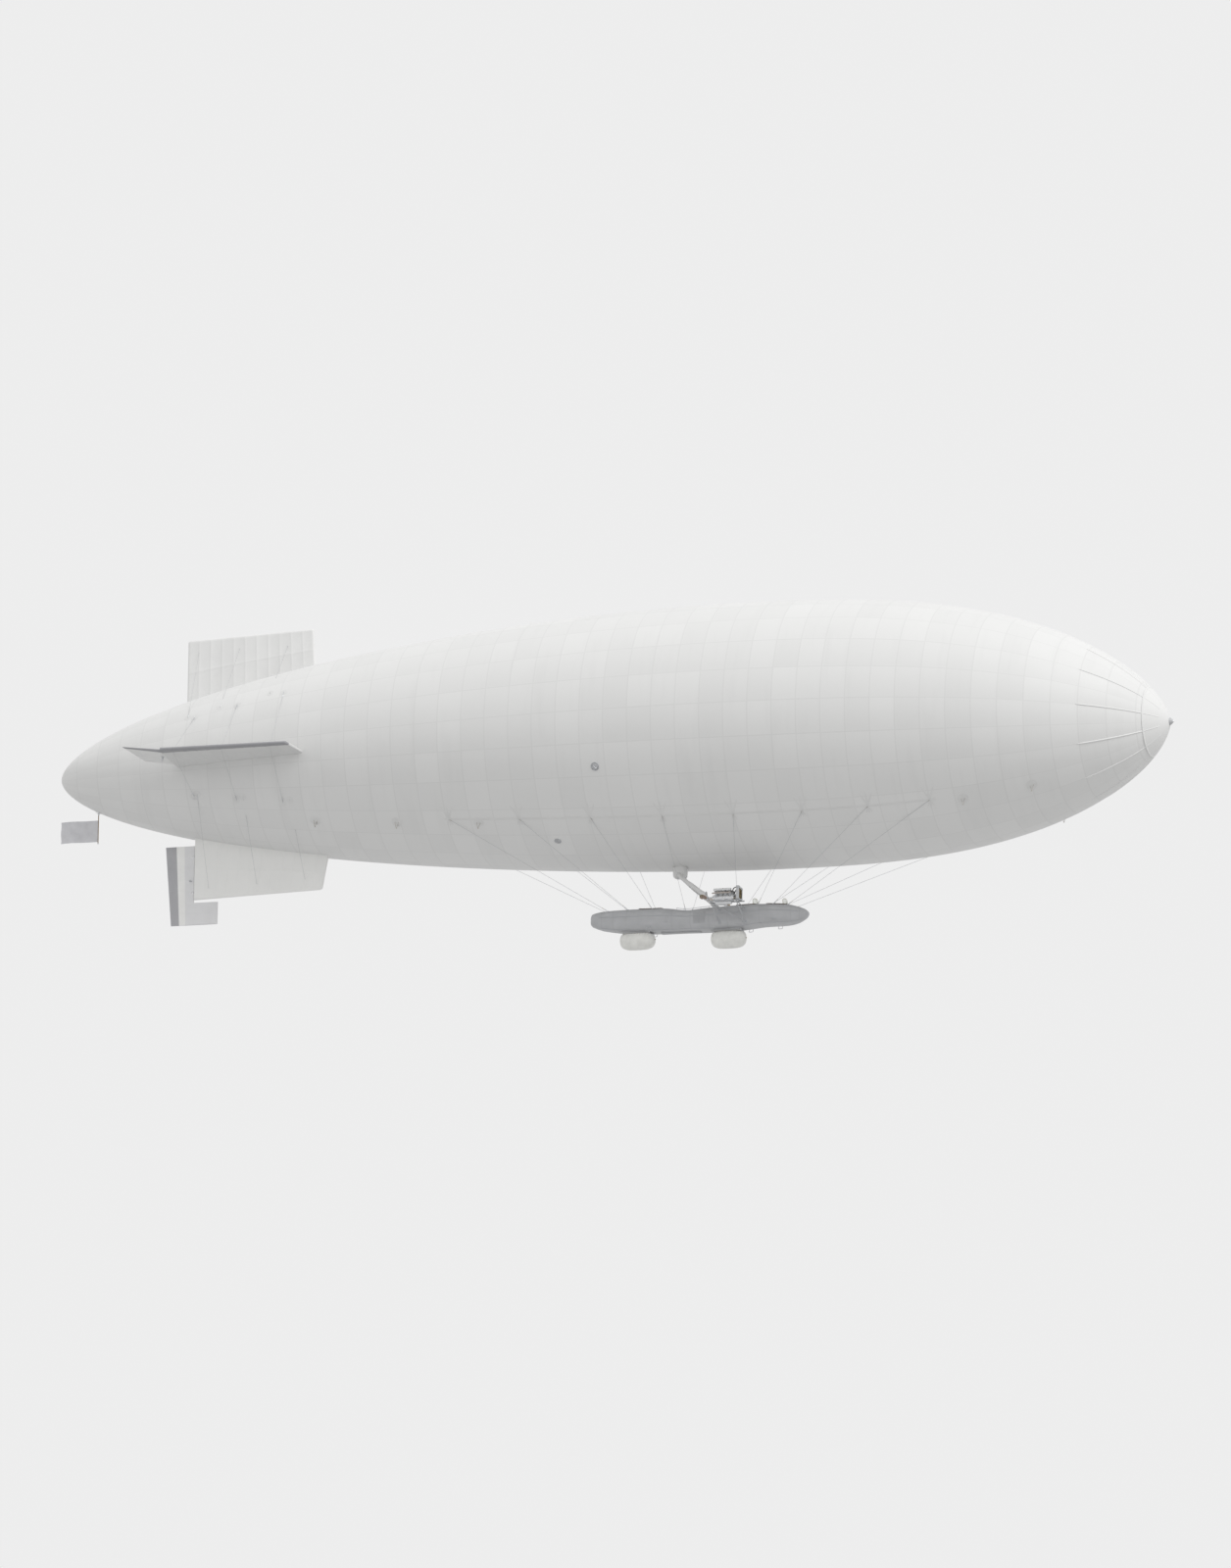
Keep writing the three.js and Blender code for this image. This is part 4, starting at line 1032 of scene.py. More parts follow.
@dataclass
class Envelope:
    """The gas bag: gores and panels under one smooth skin, with its patches, rip panel and grab loops."""

    gores: int = 24
    points_per_gore: int = 8
    panel: float = 1.3  # full-size length of a panel
    rings: int = 190
    gore_swell: float = 0.003

    def stations(self) -> list[float]:
        """Stations of the skin's rings, closer at both ends."""
        return [LENGTH * (1 - cos(pi * i / self.rings)) / 2 for i in range(1, self.rings)]

    def build(self) -> None:
        """Builds the skin and what is cemented on it."""
        self.skin()
        self.rip_panel()
        self.grab_loops()

    def skin(self) -> None:
        """The skin, with gores counted by U and panels by V."""
        form = Form()
        sides = self.gores * self.points_per_gore
        stations = self.stations()
        for tip in (0.0, LENGTH):
            form.points.append(place(tip, 0, 0))
        for station in stations:
            for k in range(sides):
                phase = pi * (k % self.points_per_gore) / self.points_per_gore
                lift = self.gore_swell * sin(phase) * min(radius_at(station) / 3, 1)
                form.points.append(on_skin(station, 360 * k / sides, 1, lift))
        for r in range(len(stations) - 1):
            for k in range(sides):
                a, b = 2 + r * sides + k, 2 + r * sides + (k + 1) % sides
                form.face((a, a + sides, b + sides, b))
        last = 2 + (len(stations) - 1) * sides
        for k in range(sides):
            form.face((0, 2 + k, 2 + (k + 1) % sides))
            form.face((1, last + (k + 1) % sides, last + k))
        made = form.piece("envelope_skin", [ENVELOPE_CLOTH], slot="silver_cloth",
                          replaces=["envelope"], crease=180)
        self.count_seams(made.data, stations, sides)

    def count_seams(self, mesh: bpy.types.Mesh, stations: Sequence[float], sides: int) -> None:
        """Writes the UV map that counts gores and panels.

        Args:
            mesh: The skin.
            stations: Its rings' stations.
            sides: Points in each ring.
        """
        uv = mesh.uv_layers.new(name="panels").data
        for face in mesh.polygons:
            corners = [mesh.loops[i].vertex_index for i in face.loop_indices]
            turns = [((v - 2) % sides) / self.points_per_gore if v > 1 else None for v in corners]
            known = [t for t in turns if t is not None]
            wraps = max(known) - min(known) > self.gores / 2
            for loop, vertex, turn in zip(face.loop_indices, corners, turns):
                if turn is None:
                    turn, station = sum(known) / len(known), (0.0, LENGTH)[vertex]
                else:
                    station = stations[(vertex - 2) // sides]
                if wraps and turn < self.gores / 2:
                    turn += self.gores
                uv[loop].uv = (turn, station / self.panel)

    def rip_panel(self) -> None:
        """Taped rip panel along the top."""
        form = Form()
        first, last, half = 12.0, 20.0, 4.2
        wide, thick = 0.05, 0.002
        for edge in (-half, half):
            form.add(band(first, last, 180 + edge, wide, thick))
        for station in (first, last):
            form.add(hoop_band(station, 180 - half, 180 + half, wide, thick))
        form.piece("rip_panel_tapes", [PATCH_CLOTH], slot="silver_cloth")

    def grab_loops(self) -> None:
        """Rope loops on round patches, low on each side."""
        form = Form()
        for station in (6.5, 10.0, 36.0, 40.5, 45.0):
            for _, side in SIDES:
                form.add(round_patch(station, 38, side, 0.16))
                out, base = out_of_skin(station, 38, side), on_skin(station, 38, side)
                ends = [base + Vector((reach, 0, 0)) for reach in (-0.05, 0.05)]
                low = base + out * 0.03 + Vector((0, 0, -0.16))
                path = smooth_line(
                    [ends[0], ends[0].lerp(low, 0.7), low, ends[1].lerp(low, 0.7), ends[1]], 13)
                form.tube(path, 0.007, 1, 6)
        form.piece("grab_loops", [PATCH_CLOTH, LACING], slot="silver_cloth")


def band(first: float, last: float, degrees: float, wide: float, thick: float, side: int = 1) -> Form:
    """Tape cemented lengthways on the skin.

    Args:
        first: Station where it starts, full size.
        last: Station where it ends.
        degrees: Its angle up from the lowest line.
        wide: Its width in model metres.
        thick: Its thickness in model metres.
        side: +1 for port and -1 for starboard.

    Returns:
        The tape.
    """
    return Form().loft([tape_section(station, degrees, side, wide, thick)
                        for station in spread(first, last, max(int((last - first) / 0.6), 2) + 1)])


def tape_rows(half: float, thick: float, crown: float | None = None) -> tuple[tuple[float, float], ...]:
    """Section of a tape as rows of distance across and height, its edges under the skin.

    Args:
        half: Half its width.
        thick: Its thickness at the edges.
        crown: Its thickness in the middle, or None for a little more than at the edges.

    Returns:
        The five rows.
    """
    middle = thick * 1.6 if crown is None else crown
    return (-half, UNDER_SKIN), (half, UNDER_SKIN), (half, thick), (0, middle), (-half, thick)


def tape_section(station: float, degrees: float, side: int, wide: float, thick: float) -> list[Vector]:
    """Section of a lengthways tape: its edges under the skin and three points over it.

    Args:
        station: Metres aft of the nose, full size.
        degrees: The tape's angle up from the lowest line.
        side: +1 for port and -1 for starboard.
        wide: Its width in model metres.
        thick: Its thickness in model metres.

    Returns:
        The section's five points.
    """
    turn = math.degrees(wide / 2 / max(radius_at(station) * SCALE, 0.05))
    return [on_skin(station, degrees + angle, side, lift) for angle, lift in tape_rows(turn, thick)]


def hoop_band(station: float, first: float, last: float, wide: float, thick: float) -> Form:
    """Tape cemented round the skin.

    Args:
        station: Metres aft of the nose, full size.
        first: Degrees up from the lowest line where it starts.
        last: The same where it ends.
        wide: Its width in model metres.
        thick: Its thickness in model metres.

    Returns:
        The tape.
    """
    half = wide / 2 / SCALE
    rings = []
    for degrees in spread(first, last, max(int(abs(last - first) / 3), 2) + 1):
        rings.append([on_skin(station + along, degrees, 1, lift) for along, lift in tape_rows(half, thick)])
    return Form().loft(rings)


def round_patch(station: float, degrees: float, side: int, radius: float, thick: float = 0.003) -> Form:
    """Round patch cemented on the skin, its edge feathered.

    Args:
        station: Metres aft of the nose, full size.
        degrees: Its middle's angle up from the lowest line.
        side: +1 for port and -1 for starboard.
        radius: Its radius in model metres.
        thick: Its thickness in model metres.

    Returns:
        The patch.
    """
    rings, sides = [], 20
    for reach, lift in ((1.0, UNDER_SKIN), (1.0, 0.2 * thick), (0.85, thick), (0.01, thick * 1.3)):
        ring = []
        for angle in angles(sides):
            along = reach * radius * cos(angle) / SCALE
            turn = math.degrees(reach * radius * sin(angle) / (radius_at(station + along) * SCALE))
            ring.append(on_skin(station + along, degrees + turn, side, lift))
        rings.append(ring)
    return Form().loft(rings)


def finger_patch(station: float, degrees: float, side: int, long: float) -> Form:
    """Patch whose three fabric fingers fan up from an eye, as they spread a cable's pull over the skin.

    Args:
        station: The eye's station, full size.
        degrees: The eye's angle up from the lowest line.
        side: +1 for port and -1 for starboard.
        long: A finger's length in model metres.

    Returns:
        The patch.
    """
    form = Form()
    radius = radius_at(station) * SCALE
    lean_most, root_half, tip_half = 0.42, 0.035, 0.004
    for lean in spread(-lean_most, lean_most, 3):
        rings = []
        for part in spread(0.0, 1.0, 7):
            wide = root_half * (1 - 0.55 * part) if part < 0.99 else tip_half
            up, along = long * part * cos(lean), long * part * sin(lean) / SCALE
            rings.append([on_skin(station + along + across / SCALE * cos(lean),
                                  degrees + math.degrees((up - across * sin(lean)) / radius), side, lift)
                          for across, lift in tape_rows(wide, 0.002, 0.0035)])
        form.loft(rings)
    return form


@dataclass
class NoseFitting:
    """Battens in sleeves that spread the mooring pull, their cap, and the spindle."""

    battens: int = 12
    batten_ends: tuple[float, float] = (0.35, 4.0)
    batten_half: float = 0.016
    cap_edge: float = 1.02
    cap_lift: float = 0.012

    def build(self) -> None:
        """Builds the whole fitting."""
        form = Form()
        stations = [self.cap_edge * (i / 12) ** 2 for i in range(1, 13)]
        sides = 48
        outer = [[on_skin(s, 360 * k / sides, 1, self.cap_lift) for k in range(sides)] for s in stations]
        hem = [[on_skin(self.cap_edge, 360 * k / sides, 1, UNDER_SKIN) for k in range(sides)]]
        form.loft(outer + hem)
        for k in range(self.battens):
            form.add(self.batten(360 * k / self.battens))
        form.add(hoop_band(self.cap_edge, 0, 360, 0.03, 0.016))
        tip = Vector((at_x(0), 0, at_z(0)))
        form.turned(tip + Vector((-0.02, 0, 0)), (1, 0, 0), [
            (0, 0.1), (0.02, 0.098), (0.035, 0.09), (0.06, 0.062), (0.085, 0.05), (0.09, 0.044)], 1, 32)
        form.turned(tip + Vector((0.06, 0, 0)), (1, 0, 0), [
            (0, 0.026), (0.034, 0.026), (0.038, 0.024), (0.04, 0.02)], 2, 24)
        for angle in angles(8, 0.5):
            bolt = tip + Vector((0.012, 0.08 * cos(angle), 0.08 * sin(angle)))
            form.turned(bolt, (1, 0, 0), [(-0.01, 0.006), (0.016, 0.006), (0.018, 0.004)], 2, 6)
        form.piece("nose_fitting", [NOSE_CLOTH, CAR_ENAMEL, ALUMINIUM],
                   slot="silver_cloth", replaces=["nose_cap"])

    def batten(self, degrees: float) -> Form:
        """One batten in its sleeve, round-topped and tapered at its end.

        Args:
            degrees: Its angle up from the lowest line.

        Returns:
            The batten.
        """
        rings = []
        first, last = self.batten_ends
        for station in [first + (last - first) * (i / 22) ** 1.3 for i in range(23)]:
            end = min((last - station) / 0.25, 1.0)
            half = self.batten_half * max(end, 0.15) ** 0.5
            turn = math.degrees(half / (radius_at(station) * SCALE))
            high = self.cap_lift + 0.01 * max(end, 0.0)
            rings.append([on_skin(station, degrees + turn * across, 1, lift) for across, lift in (
                (-1.3, UNDER_SKIN), (1.3, UNDER_SKIN), (1.0, 0.4 * high), (0.6, 0.85 * high), (0, high),
                (-0.6, 0.85 * high), (-1.0, 0.4 * high))])
        return Form().loft(rings)


class Stand(Enum):
    """Which way a tail surface stands."""

    UPRIGHT = "upright"
    FLAT = "flat"


@dataclass
class FixedSurface:
    """Fin or stabiliser: doped cotton over ribs, with a round free edge.

    Stations and spans are full size, and the tip width is that of a dark band painted along the tip as
    shade.
    """

    name: str
    stand: Stand
    side: int
    lead_root: tuple[float, float]
    lead_tip: tuple[float, float]
    trail_tip: tuple[float, float]
    rib_pitch: float = 0.62
    half_thick: float = 0.05
    edge_round: float = 0.07
    corner: float = 0.16
    eyes: tuple[float, ...] = ()
    cloth: Finish = FIN_CLOTH
    tip_shade_width: float = 0.0

    def root_span(self, station: float) -> float:
        """Where the surface meets the skin, a little inside it.

        Args:
            station: Metres aft of the nose, full size.

        Returns:
            The span in full-size metres.
        """
        radius, centre = radius_at(station), bow_at(station)
        if self.stand is Stand.UPRIGHT:
            return centre * self.side + radius - 0.06
        return math.sqrt(max(radius ** 2 - (centre - STABILISER_HEIGHT) ** 2, 0.0)) - 0.06

    def point(self, station: float, span: float, off: float) -> Vector:
        """Model point on the surface.

        Args:
            station: Metres aft of the nose, full size.
            span: Full-size metres out along the surface.
            off: Model metres off its middle plane.

        Returns:
            The point in the model's frame.
        """
        if self.stand is Stand.UPRIGHT:
            return place(station, 0, self.side * span) + Vector((0, off, 0))
        return place(station, span, STABILISER_HEIGHT, self.side) + Vector((0, 0, off))

    def samples(self, length: float, edges: tuple[bool, bool], pitch: float) -> list[float]:
        """Positions over a length, thick at round edges and at each rib, from 0 to 1.

        Args:
            length: Full-size metres.
            edges: Whether the first and the last end are free.
            pitch: Full-size metres between ribs.

        Returns:
            Sorted shares of the length.
        """
        near = [0.0, 0.01, 0.03, 0.06, 0.1, 0.15]
        found = {0.0, 1.0}
        found |= {d / length for d in near} if edges[0] else set()
        found |= {1 - d / length for d in near} if edges[1] else set()
        count = max(round(length / pitch), 1)
        for k in range(1, count):
            found |= {(k * length / count + d) / length for d in (-0.1, -0.03, 0.0, 0.03, 0.1)}
        return sorted(round(v, 5) for v in found)

    def rib_rise(self, at: float, length: float, pitch: float) -> float:
        """Height of the cloth over a rib, and its sag between ribs.

        Args:
            at: Share of the length.
            length: Full-size metres.
            pitch: Full-size metres between ribs.

        Returns:
            The height in model metres.
        """
        count = max(round(length / pitch), 1)
        away = abs(at * count - round(at * count)) * length / count
        sag = -0.006 * sin(pi * min(abs(at * count % 1), 1))
        return sag + 0.004 * max(0.0, 1 - away / 0.05)

    def build(self) -> None:
        """Builds both faces as one closed skin, with the hinge eyes if it carries a hinge."""
        post = self.trail_tip[0]
        chord = post - self.lead_root[0]
        high = abs(self.lead_tip[1]) - self.root_span(self.lead_tip[0])
        us = self.samples(chord, (True, not self.eyes), self.rib_pitch)
        vs = sorted({*self.samples(high, (False, True), self.rib_pitch * 1.6), 1 - self.tip_shade_width / high})
        grid = {}
        for face in (1, -1):
            for i, u in enumerate(us):
                x_root = blend_value(self.lead_root[0], post, u)
                x_tip = blend_value(self.lead_tip[0], post, u)
                tip = blend_value(self.lead_tip[1], self.trail_tip[1], u)
                for gap in (x_tip - self.lead_tip[0], *(() if self.eyes else (post - x_tip,))):
                    if gap < self.corner:
                        tip -= self.corner - math.sqrt(max(self.corner ** 2 - (self.corner - gap) ** 2, 0))
                root = self.root_span(x_root)
                for j, v in enumerate(vs):
                    station, span = blend_value(x_root, x_tip, v), blend_value(root, tip, v)
                    free = [station - blend_value(self.lead_root[0], self.lead_tip[0], v), tip - span]
                    if not self.eyes:
                        free.append(post - station)
                    near = min(max(min(free), 0) * SCALE / self.edge_round, 1)
                    off = self.half_thick * math.sqrt(1 - (1 - near) ** 2)
                    cloth = self.rib_rise(u, chord, self.rib_pitch) + self.rib_rise(
                        v, high, self.rib_pitch * 1.6)
                    grid[face, i, j] = self.point(station, span, face * (off + cloth * min(near, 1)))
        form = Form()
        # Faces within the tip band take the dark band of painted shade
        tip_shaded = [2 if v >= 1 - self.tip_shade_width / high else 0 for v in vs[:-1]]
        for face in (1, -1):
            rows = [[grid[face, i, j] for j in range(len(vs))] for i in range(len(us))]
            form.loft(rows, tip_shaded, closed=False)
        closing = [[grid[face, len(us) - 1, j] for j in range(len(vs))] for face in (1, -1)]
        form.loft(closing, closed=False)
        sew(form)
        for eye in self.eyes:
            self.hinge_eye(form, eye)
        form.piece(f"{self.name}_cloth", [self.cloth, STEEL, TIP_SHADE_CLOTH],
                   slot="fin_cloth", replaces=[self.name], crease=50)

    def hinge_eye(self, form: Form, span: float) -> None:
        """Adds a steel eye round the hinge line.

        Args:
            form: The form that gets the faces.
            span: Full-size metres out along the hinge line.
        """
        axis = (0, 0, 1) if self.stand is Stand.UPRIGHT else (0, 1, 0)
        middle = self.point(HINGE_STATION, span, 0)
        start = middle - Vector(axis) * 0.014
        form.turned(start, axis, [(0, 0.0175), (0.003, 0.02), (0.025, 0.02), (0.028, 0.0175)], 1, 20)
        arm = middle + Vector((0.045, 0, 0))
        half = Vector((0.04, 0.009, 0.012)) if self.stand is Stand.UPRIGHT else Vector((0.04, 0.012, 0.009))
        form.block(arm - half, arm + half, 1, 0.003)


def sew(form: Form) -> None:
    """Merges points of a form that lie on each other.

    Args:
        form: The form, which is changed.
    """
    near = 1e-5
    known: dict[tuple[int, ...], int] = {}
    number, points = [], []
    for p in form.points:
        key = tuple(round(c / near) for c in p)
        if key not in known:
            known[key] = len(points)
            points.append(p)
        number.append(known[key])
    kept = [
        (tuple(dict.fromkeys(number[i] for i in face)), finish)
        for face, finish in zip(form.faces, form.paint)]
    form.points = points
    form.faces = [face for face, _ in kept if len(face) > 2]
    form.paint = [finish for face, finish in kept if len(face) > 2]


@dataclass
class ControlSurface:
    """Rudder or elevator on its hinge pins: ribbed cloth in three stripes, the rudder with a balance horn.

    Lengths are model metres, chords are those at root and tip, and the tip width is that of a dark band
    painted at the tip as shade. The surface is drawn with its hinge line along Z, its trailing edge towards
    -X and its tip up, and matrix puts it on the ship.
    """

    name: str
    matrix: Matrix
    root: float
    tip: float
    chords: tuple[float, float]
    eyes: tuple[float, ...]
    stripes: tuple[Finish, Finish, Finish] = (STRIPE_DARK, STRIPE_PALE, STRIPE_MID)
    tip_shade_width: float = 0.0
    horn_reach: float = 0.675
    horn_span: float = 0.0
    edge_half: float = 0.006
    rib_pitch: float = 0.3
    notch_half: float = 0.03
    notch_deep: float = 0.045

    def section(self, kind: str, rise: float, z: float) -> list[tuple[float, float]]:
        """Half a section from trailing edge to front, as rows of (x, half thickness).

        Args:
            kind: plain, notch or horn.
            rise: How far the cloth stands proud over a rib.
            z: Where along the hinge line.

        Returns:
            The rows, the same number for each kind.
        """
        r = HINGE_RADIUS
        chord = blend_value(*self.chords, (z - self.root) / (self.tip - self.root))
        tail = [
            -chord, -chord + 0.008, -0.9 * chord, -0.62 * chord, -0.5 * chord, -0.333 * chord,
            -0.15 * chord, -self.notch_deep]
        halves = [blend_value(r, self.edge_half, min(-x / chord, 1)) for x in tail]
        rows = [(tail[0], 0.0)] + [(x, h + rise * min(1, -x / 0.1)) for x, h in zip(tail[1:], halves[1:])]
        if kind == "notch":
            h = halves[-1]
            return rows + [(-self.notch_deep, h * (1 - k / 6)) for k in range(1, 7)]
        if kind == "horn":
            reach = self.horn_reach
            return rows + [
                (0, r + rise), (0.3 * reach, r + rise), (reach - 0.12, r + rise), (reach - 0.06, 0.8 * r),
                (reach - 0.015, 0.45 * r), (reach, 0)]
        return rows + [(r * sin(a), r * cos(a)) for a in spread(0, pi / 2, 6)]

    def build(self) -> None:
        """Builds the cloth, the pins and the control horn."""
        horn_from = self.tip - self.horn_span
        cuts = {self.root: 0.0, self.tip: 0.0}
        count = round((self.tip - self.root) / self.rib_pitch)
        ribs = [blend_value(self.root, self.tip, k / count) for k in range(1, count)]
        for rib in ribs:
            cuts.update({rib - 0.02: 0.0, rib: 0.005, rib + 0.02: 0.0})
            cuts[rib + self.rib_pitch / 2] = -0.003
        cuts = {z: rise for z, rise in cuts.items() if self.root <= z <= self.tip}
        rings = []
        steps = sorted(
            set(cuts) | {horn_from} | {e + s * self.notch_half for e in self.eyes for s in (-1, 1)})
        steps = [z for z in steps if not any(abs(z - e) < self.notch_half - 1e-6 for e in self.eyes)]
        for z in steps:
            kinds = [self.kind_at(z - 1e-5), self.kind_at(z + 1e-5)]
            for kind in kinds if kinds[0] != kinds[1] else kinds[:1]:
                rings.append(self.ring(z, kind, cuts.get(z, 0.0)))
        first, last = self.root, self.tip
        rings = [self.shrunk(first, rings[0]), *rings, self.shrunk(last, rings[-1])]
        half = 13
        stripes = [0, 0, 0, 1, 1, 2, 2] + [2] * (half - 7)
        stripes += reversed(stripes)
        # Rings within the tip band take the dark band of painted shade
        tip_finishes = [4] * len(stripes) if self.tip_shade_width else stripes
        cut = next(i for i, ring in enumerate(rings) if ring[0].z >= self.tip - self.tip_shade_width)
        form = Form().loft(rings[:cut + 1], stripes, caps=False)
        form.loft(rings[cut:], tip_finishes, caps=False)
        form.face(reversed(range(len(rings[0]))), stripes[0])
        form.face(range(len(form.points) - len(rings[0]), len(form.points)), tip_finishes[0])
        for eye in self.eyes:
            form.turned((0, 0, eye - 0.045), (0, 0, 1), [(0, 0.008), (0.09, 0.008)], 3, 16)
        self.control_horn(form)
        placed = Form().add(form, self.matrix)
        placed.piece(f"{self.name}_cloth", [*self.stripes, STEEL, TIP_SHADE_CLOTH],
                     self.name, "striped_cloth", [self.name], 50)

    def kind_at(self, z: float) -> str:
        """Kind of section at a span.

        Args:
            z: Where along the hinge line.

        Returns:
            plain, notch or horn.
        """
        if any(abs(z - eye) < self.notch_half for eye in self.eyes):
            return "notch"
        return "horn" if self.horn_span and z > self.tip - self.horn_span else "plain"

    def ring(self, z: float, kind: str, rise: float) -> list[Vector]:
        """Whole section, round from the trailing edge.

        Args:
            z: Where along the hinge line.
            kind: plain, notch or horn.
            rise: How far the cloth stands proud over a rib.

        Returns:
            The section's points.
        """
        rows = self.section(kind, rise, z)
        upper = [Vector((x, h, z)) for x, h in rows]
        lower = [Vector((x, -h, z)) for x, h in reversed(rows[1:-1])]
        return upper + lower

    def shrunk(self, z: float, ring: Sequence[Vector]) -> list[Vector]:
        """End ring drawn in towards the middle plane, for a soft end."""
        step = 0.006 if z == self.tip else -0.006
        return [Vector((p.x, 0.5 * p.y, p.z + step)) for p in ring]

    def control_horn(self, form: Form) -> None:
        """Adds the lever that the control cables pull, on both faces.

        Args:
            form: The form that gets the faces.
        """
        z = blend_value(self.root, self.tip - self.horn_span, 0.62)
        for face in (1, -1):
            rings = [[(-0.1, face * 0.024, z - 0.006), (-0.1, face * 0.024, z + 0.006),
                      (-0.03, face * 0.026, z + 0.006), (-0.03, face * 0.026, z - 0.006)],
                     [(-0.07, face * 0.17, z - 0.004), (-0.07, face * 0.17, z + 0.004),
                      (-0.05, face * 0.17, z + 0.004), (-0.05, face * 0.17, z - 0.004)]]
            form.loft(rings, 3)
            form.turned((-0.06, face * 0.165, z - 0.01), (0, 0, 1), [(0, 0.012), (0.02, 0.012)], 3, 12)


@dataclass
class Bracing:
    """Streamline wires from the tail surfaces to patches on the skin.

    Rows are station and span on a surface, then station and degrees on the skin.
    """

    radius: float = 0.0028
    upper: tuple[tuple[float, ...], ...] = (
        (47.6, 6.6, 47.4, 126), (50.2, 6.6, 50.2, 124), (52.4, 6.5, 52.0, 122))
    lower: tuple[tuple[float, ...], ...] = (
        (46.4, -6.0, 46.2, 52), (49.0, -6.1, 48.8, 54), (51.6, -6.2, 51.4, 56))
    flat: tuple[tuple[float, ...], ...] = (
        (46.6, 6.3, 46.6, 124), (49.2, 6.4, 49.2, 122), (51.8, 6.4, 51.6, 120))

    def build(self) -> None:
        """Builds the wires of both sides."""
        form = Form()
        for _, side in SIDES:
            for station, height, foot, degrees in (*self.upper, *self.lower):
                start = place(station, 0, height) + Vector((0, side * 0.045, 0))
                self.wire(form, start, foot, degrees, side)
            for station, out, foot, degrees in self.flat:
                for face in (1, -1):
                    start = place(station, out, STABILISER_HEIGHT, side) + Vector((0, 0, face * 0.045))
                    self.wire(form, start, foot, degrees if face > 0 else 180 - degrees - 6, side)
        form.piece("tail_bracing", [WIRE, PATCH_CLOTH, STEEL], slot="steel_cable")

    def wire(self, form: Form, start: Vector, station: float, degrees: float, side: int) -> None:
        """Adds a wire, its lug, its turnbuckle and its patch.

        Args:
            form: The form that gets the faces.
            start: Where it meets the tail surface.
            station: Station of its patch, full size.
            degrees: The patch's angle up from the lowest line.
            side: +1 for port and -1 for starboard.
        """
        end = on_skin(station, degrees, side, 0.004)
        away = (start - end).normalized()
        form.add(round_patch(station, degrees, side, 0.11), None, 1)
        form.ball(end, (0.012, 0.012, 0.012), 2, 10, 6)
        form.ball(start, (0.01, 0.01, 0.01), 2, 10, 6)
        form.tube([end, start], self.radius, 0, 6)
        form.turned(end + away * 0.05, away, [(0, 0.005), (0.01, 0.01), (0.09, 0.01), (0.1, 0.005)], 2, 8)


@dataclass
class Ensign:
    """Plain grey ensign that waves aft of its staff. Stations and heights are full size."""

    station: float = 57.67
    staff_foot: float = -3.5
    staff_radius: float = 0.012
    collar: tuple[float, float] = (-1.85, 0.06)
    top: float = -2.23
    foot: float = -3.38
    reach: float = 1.0
    wave: float = 0.035
    turns: float = 7.0
    thick: float = 0.003
    columns: int = 84
    rows: int = 34

    def build(self) -> None:
        """Builds staff and cloth."""
        self.staff()
        self.cloth()

    def staff(self) -> None:
        """Wooden staff with a ball at its foot, in a steel socket on a patch."""
        form = Form()
        foot = place(self.station, 0, self.staff_foot)
        collar_foot, collar_radius = place(self.station, 0, self.collar[0]), self.collar[1]
        skin = on_skin(self.station, 0)
        form.tube([skin + Vector((0, 0, 0.02)), foot + Vector((0, 0, 0.012))], self.staff_radius, 0, 16)
        form.ball(foot + Vector((0, 0, 0.014)), (0.016, 0.016, 0.014), 1, 14, 8)
        socket = [(0, 0.6 * collar_radius), (0.004, 0.42 * collar_radius), (0.05, 0.3 * collar_radius),
                  (0.1, 0.3 * collar_radius), (0.104, 0.24 * collar_radius)]
        form.turned(collar_foot + Vector((0, 0, 0.05)), (0, 0, -1), socket, 1, 20)
        for angle in angles(4, 0.5):
            leg = Vector((0.05 * cos(angle), 0.05 * sin(angle), 0))
            form.tube([collar_foot + Vector((0, 0, -0.03)), Vector((skin.x, 0, skin.z)) + leg * 1.6],
                      0.005, 1, 6)
        form.add(round_patch(self.station, 0, 1, 0.14, 0.004), None, 2)
        form.piece("ensign_staff_fitted", [SPRUCE, STEEL, PATCH_CLOTH],
                   slot="steel_tube", replaces=["ensign_staff"])

    def offset(self, along: float, down: float) -> float:
        """Sideways place of the cloth at a share of its length and of its depth."""
        ripple = 0.006 * along * sin(31 * along + 2.2 * down) * (0.5 + 0.5 * down)
        return self.wave * along * sin(self.turns * along) + ripple

    def cloth(self) -> None:
        """Cloth with a rope heading, hems and a little droop at the fly."""
        start = at_x(self.station) - self.staff_radius
        form = Form()
        grid = {}
        for face in (1, -1):
            for i, along in enumerate(spread(0, 1, self.columns)):
                for j, down in enumerate(spread(0, 1, self.rows)):
                    edge = min(along * 1.025, (1 - along) * 1.025, down * 0.5, (1 - down) * 0.5)
                    half = self.thick / 2 * (2.0 if edge < 0.012 else 1.0) * (0.2 if edge <= 0 else 1.0)
                    height = blend_value(at_z(self.top), at_z(self.foot), down)
                    x = start - along * self.reach * (1 - 0.006 * sin(9 * down))
                    grid[face, i, j] = Vector((x, self.offset(along, down) + face * half, height))
            form.loft(
                [[grid[face, i, j] for j in range(self.rows)] for i in range(self.columns)], closed=False)
        rim = ([(i, 0) for i in range(self.columns)] + [(self.columns - 1, j) for j in range(1, self.rows)]
               + [(i, self.rows - 1) for i in range(self.columns - 2, -1, -1)]
               + [(0, j) for j in range(self.rows - 2, 0, -1)])
        form.loft([[grid[face, i, j] for i, j in rim] for face in (1, -1)], caps=False)
        sew(form)
        made = form.piece("ensign_cloth", [BUNTING], slot="ensign_cloth", replaces=["ensign"], crease=60)


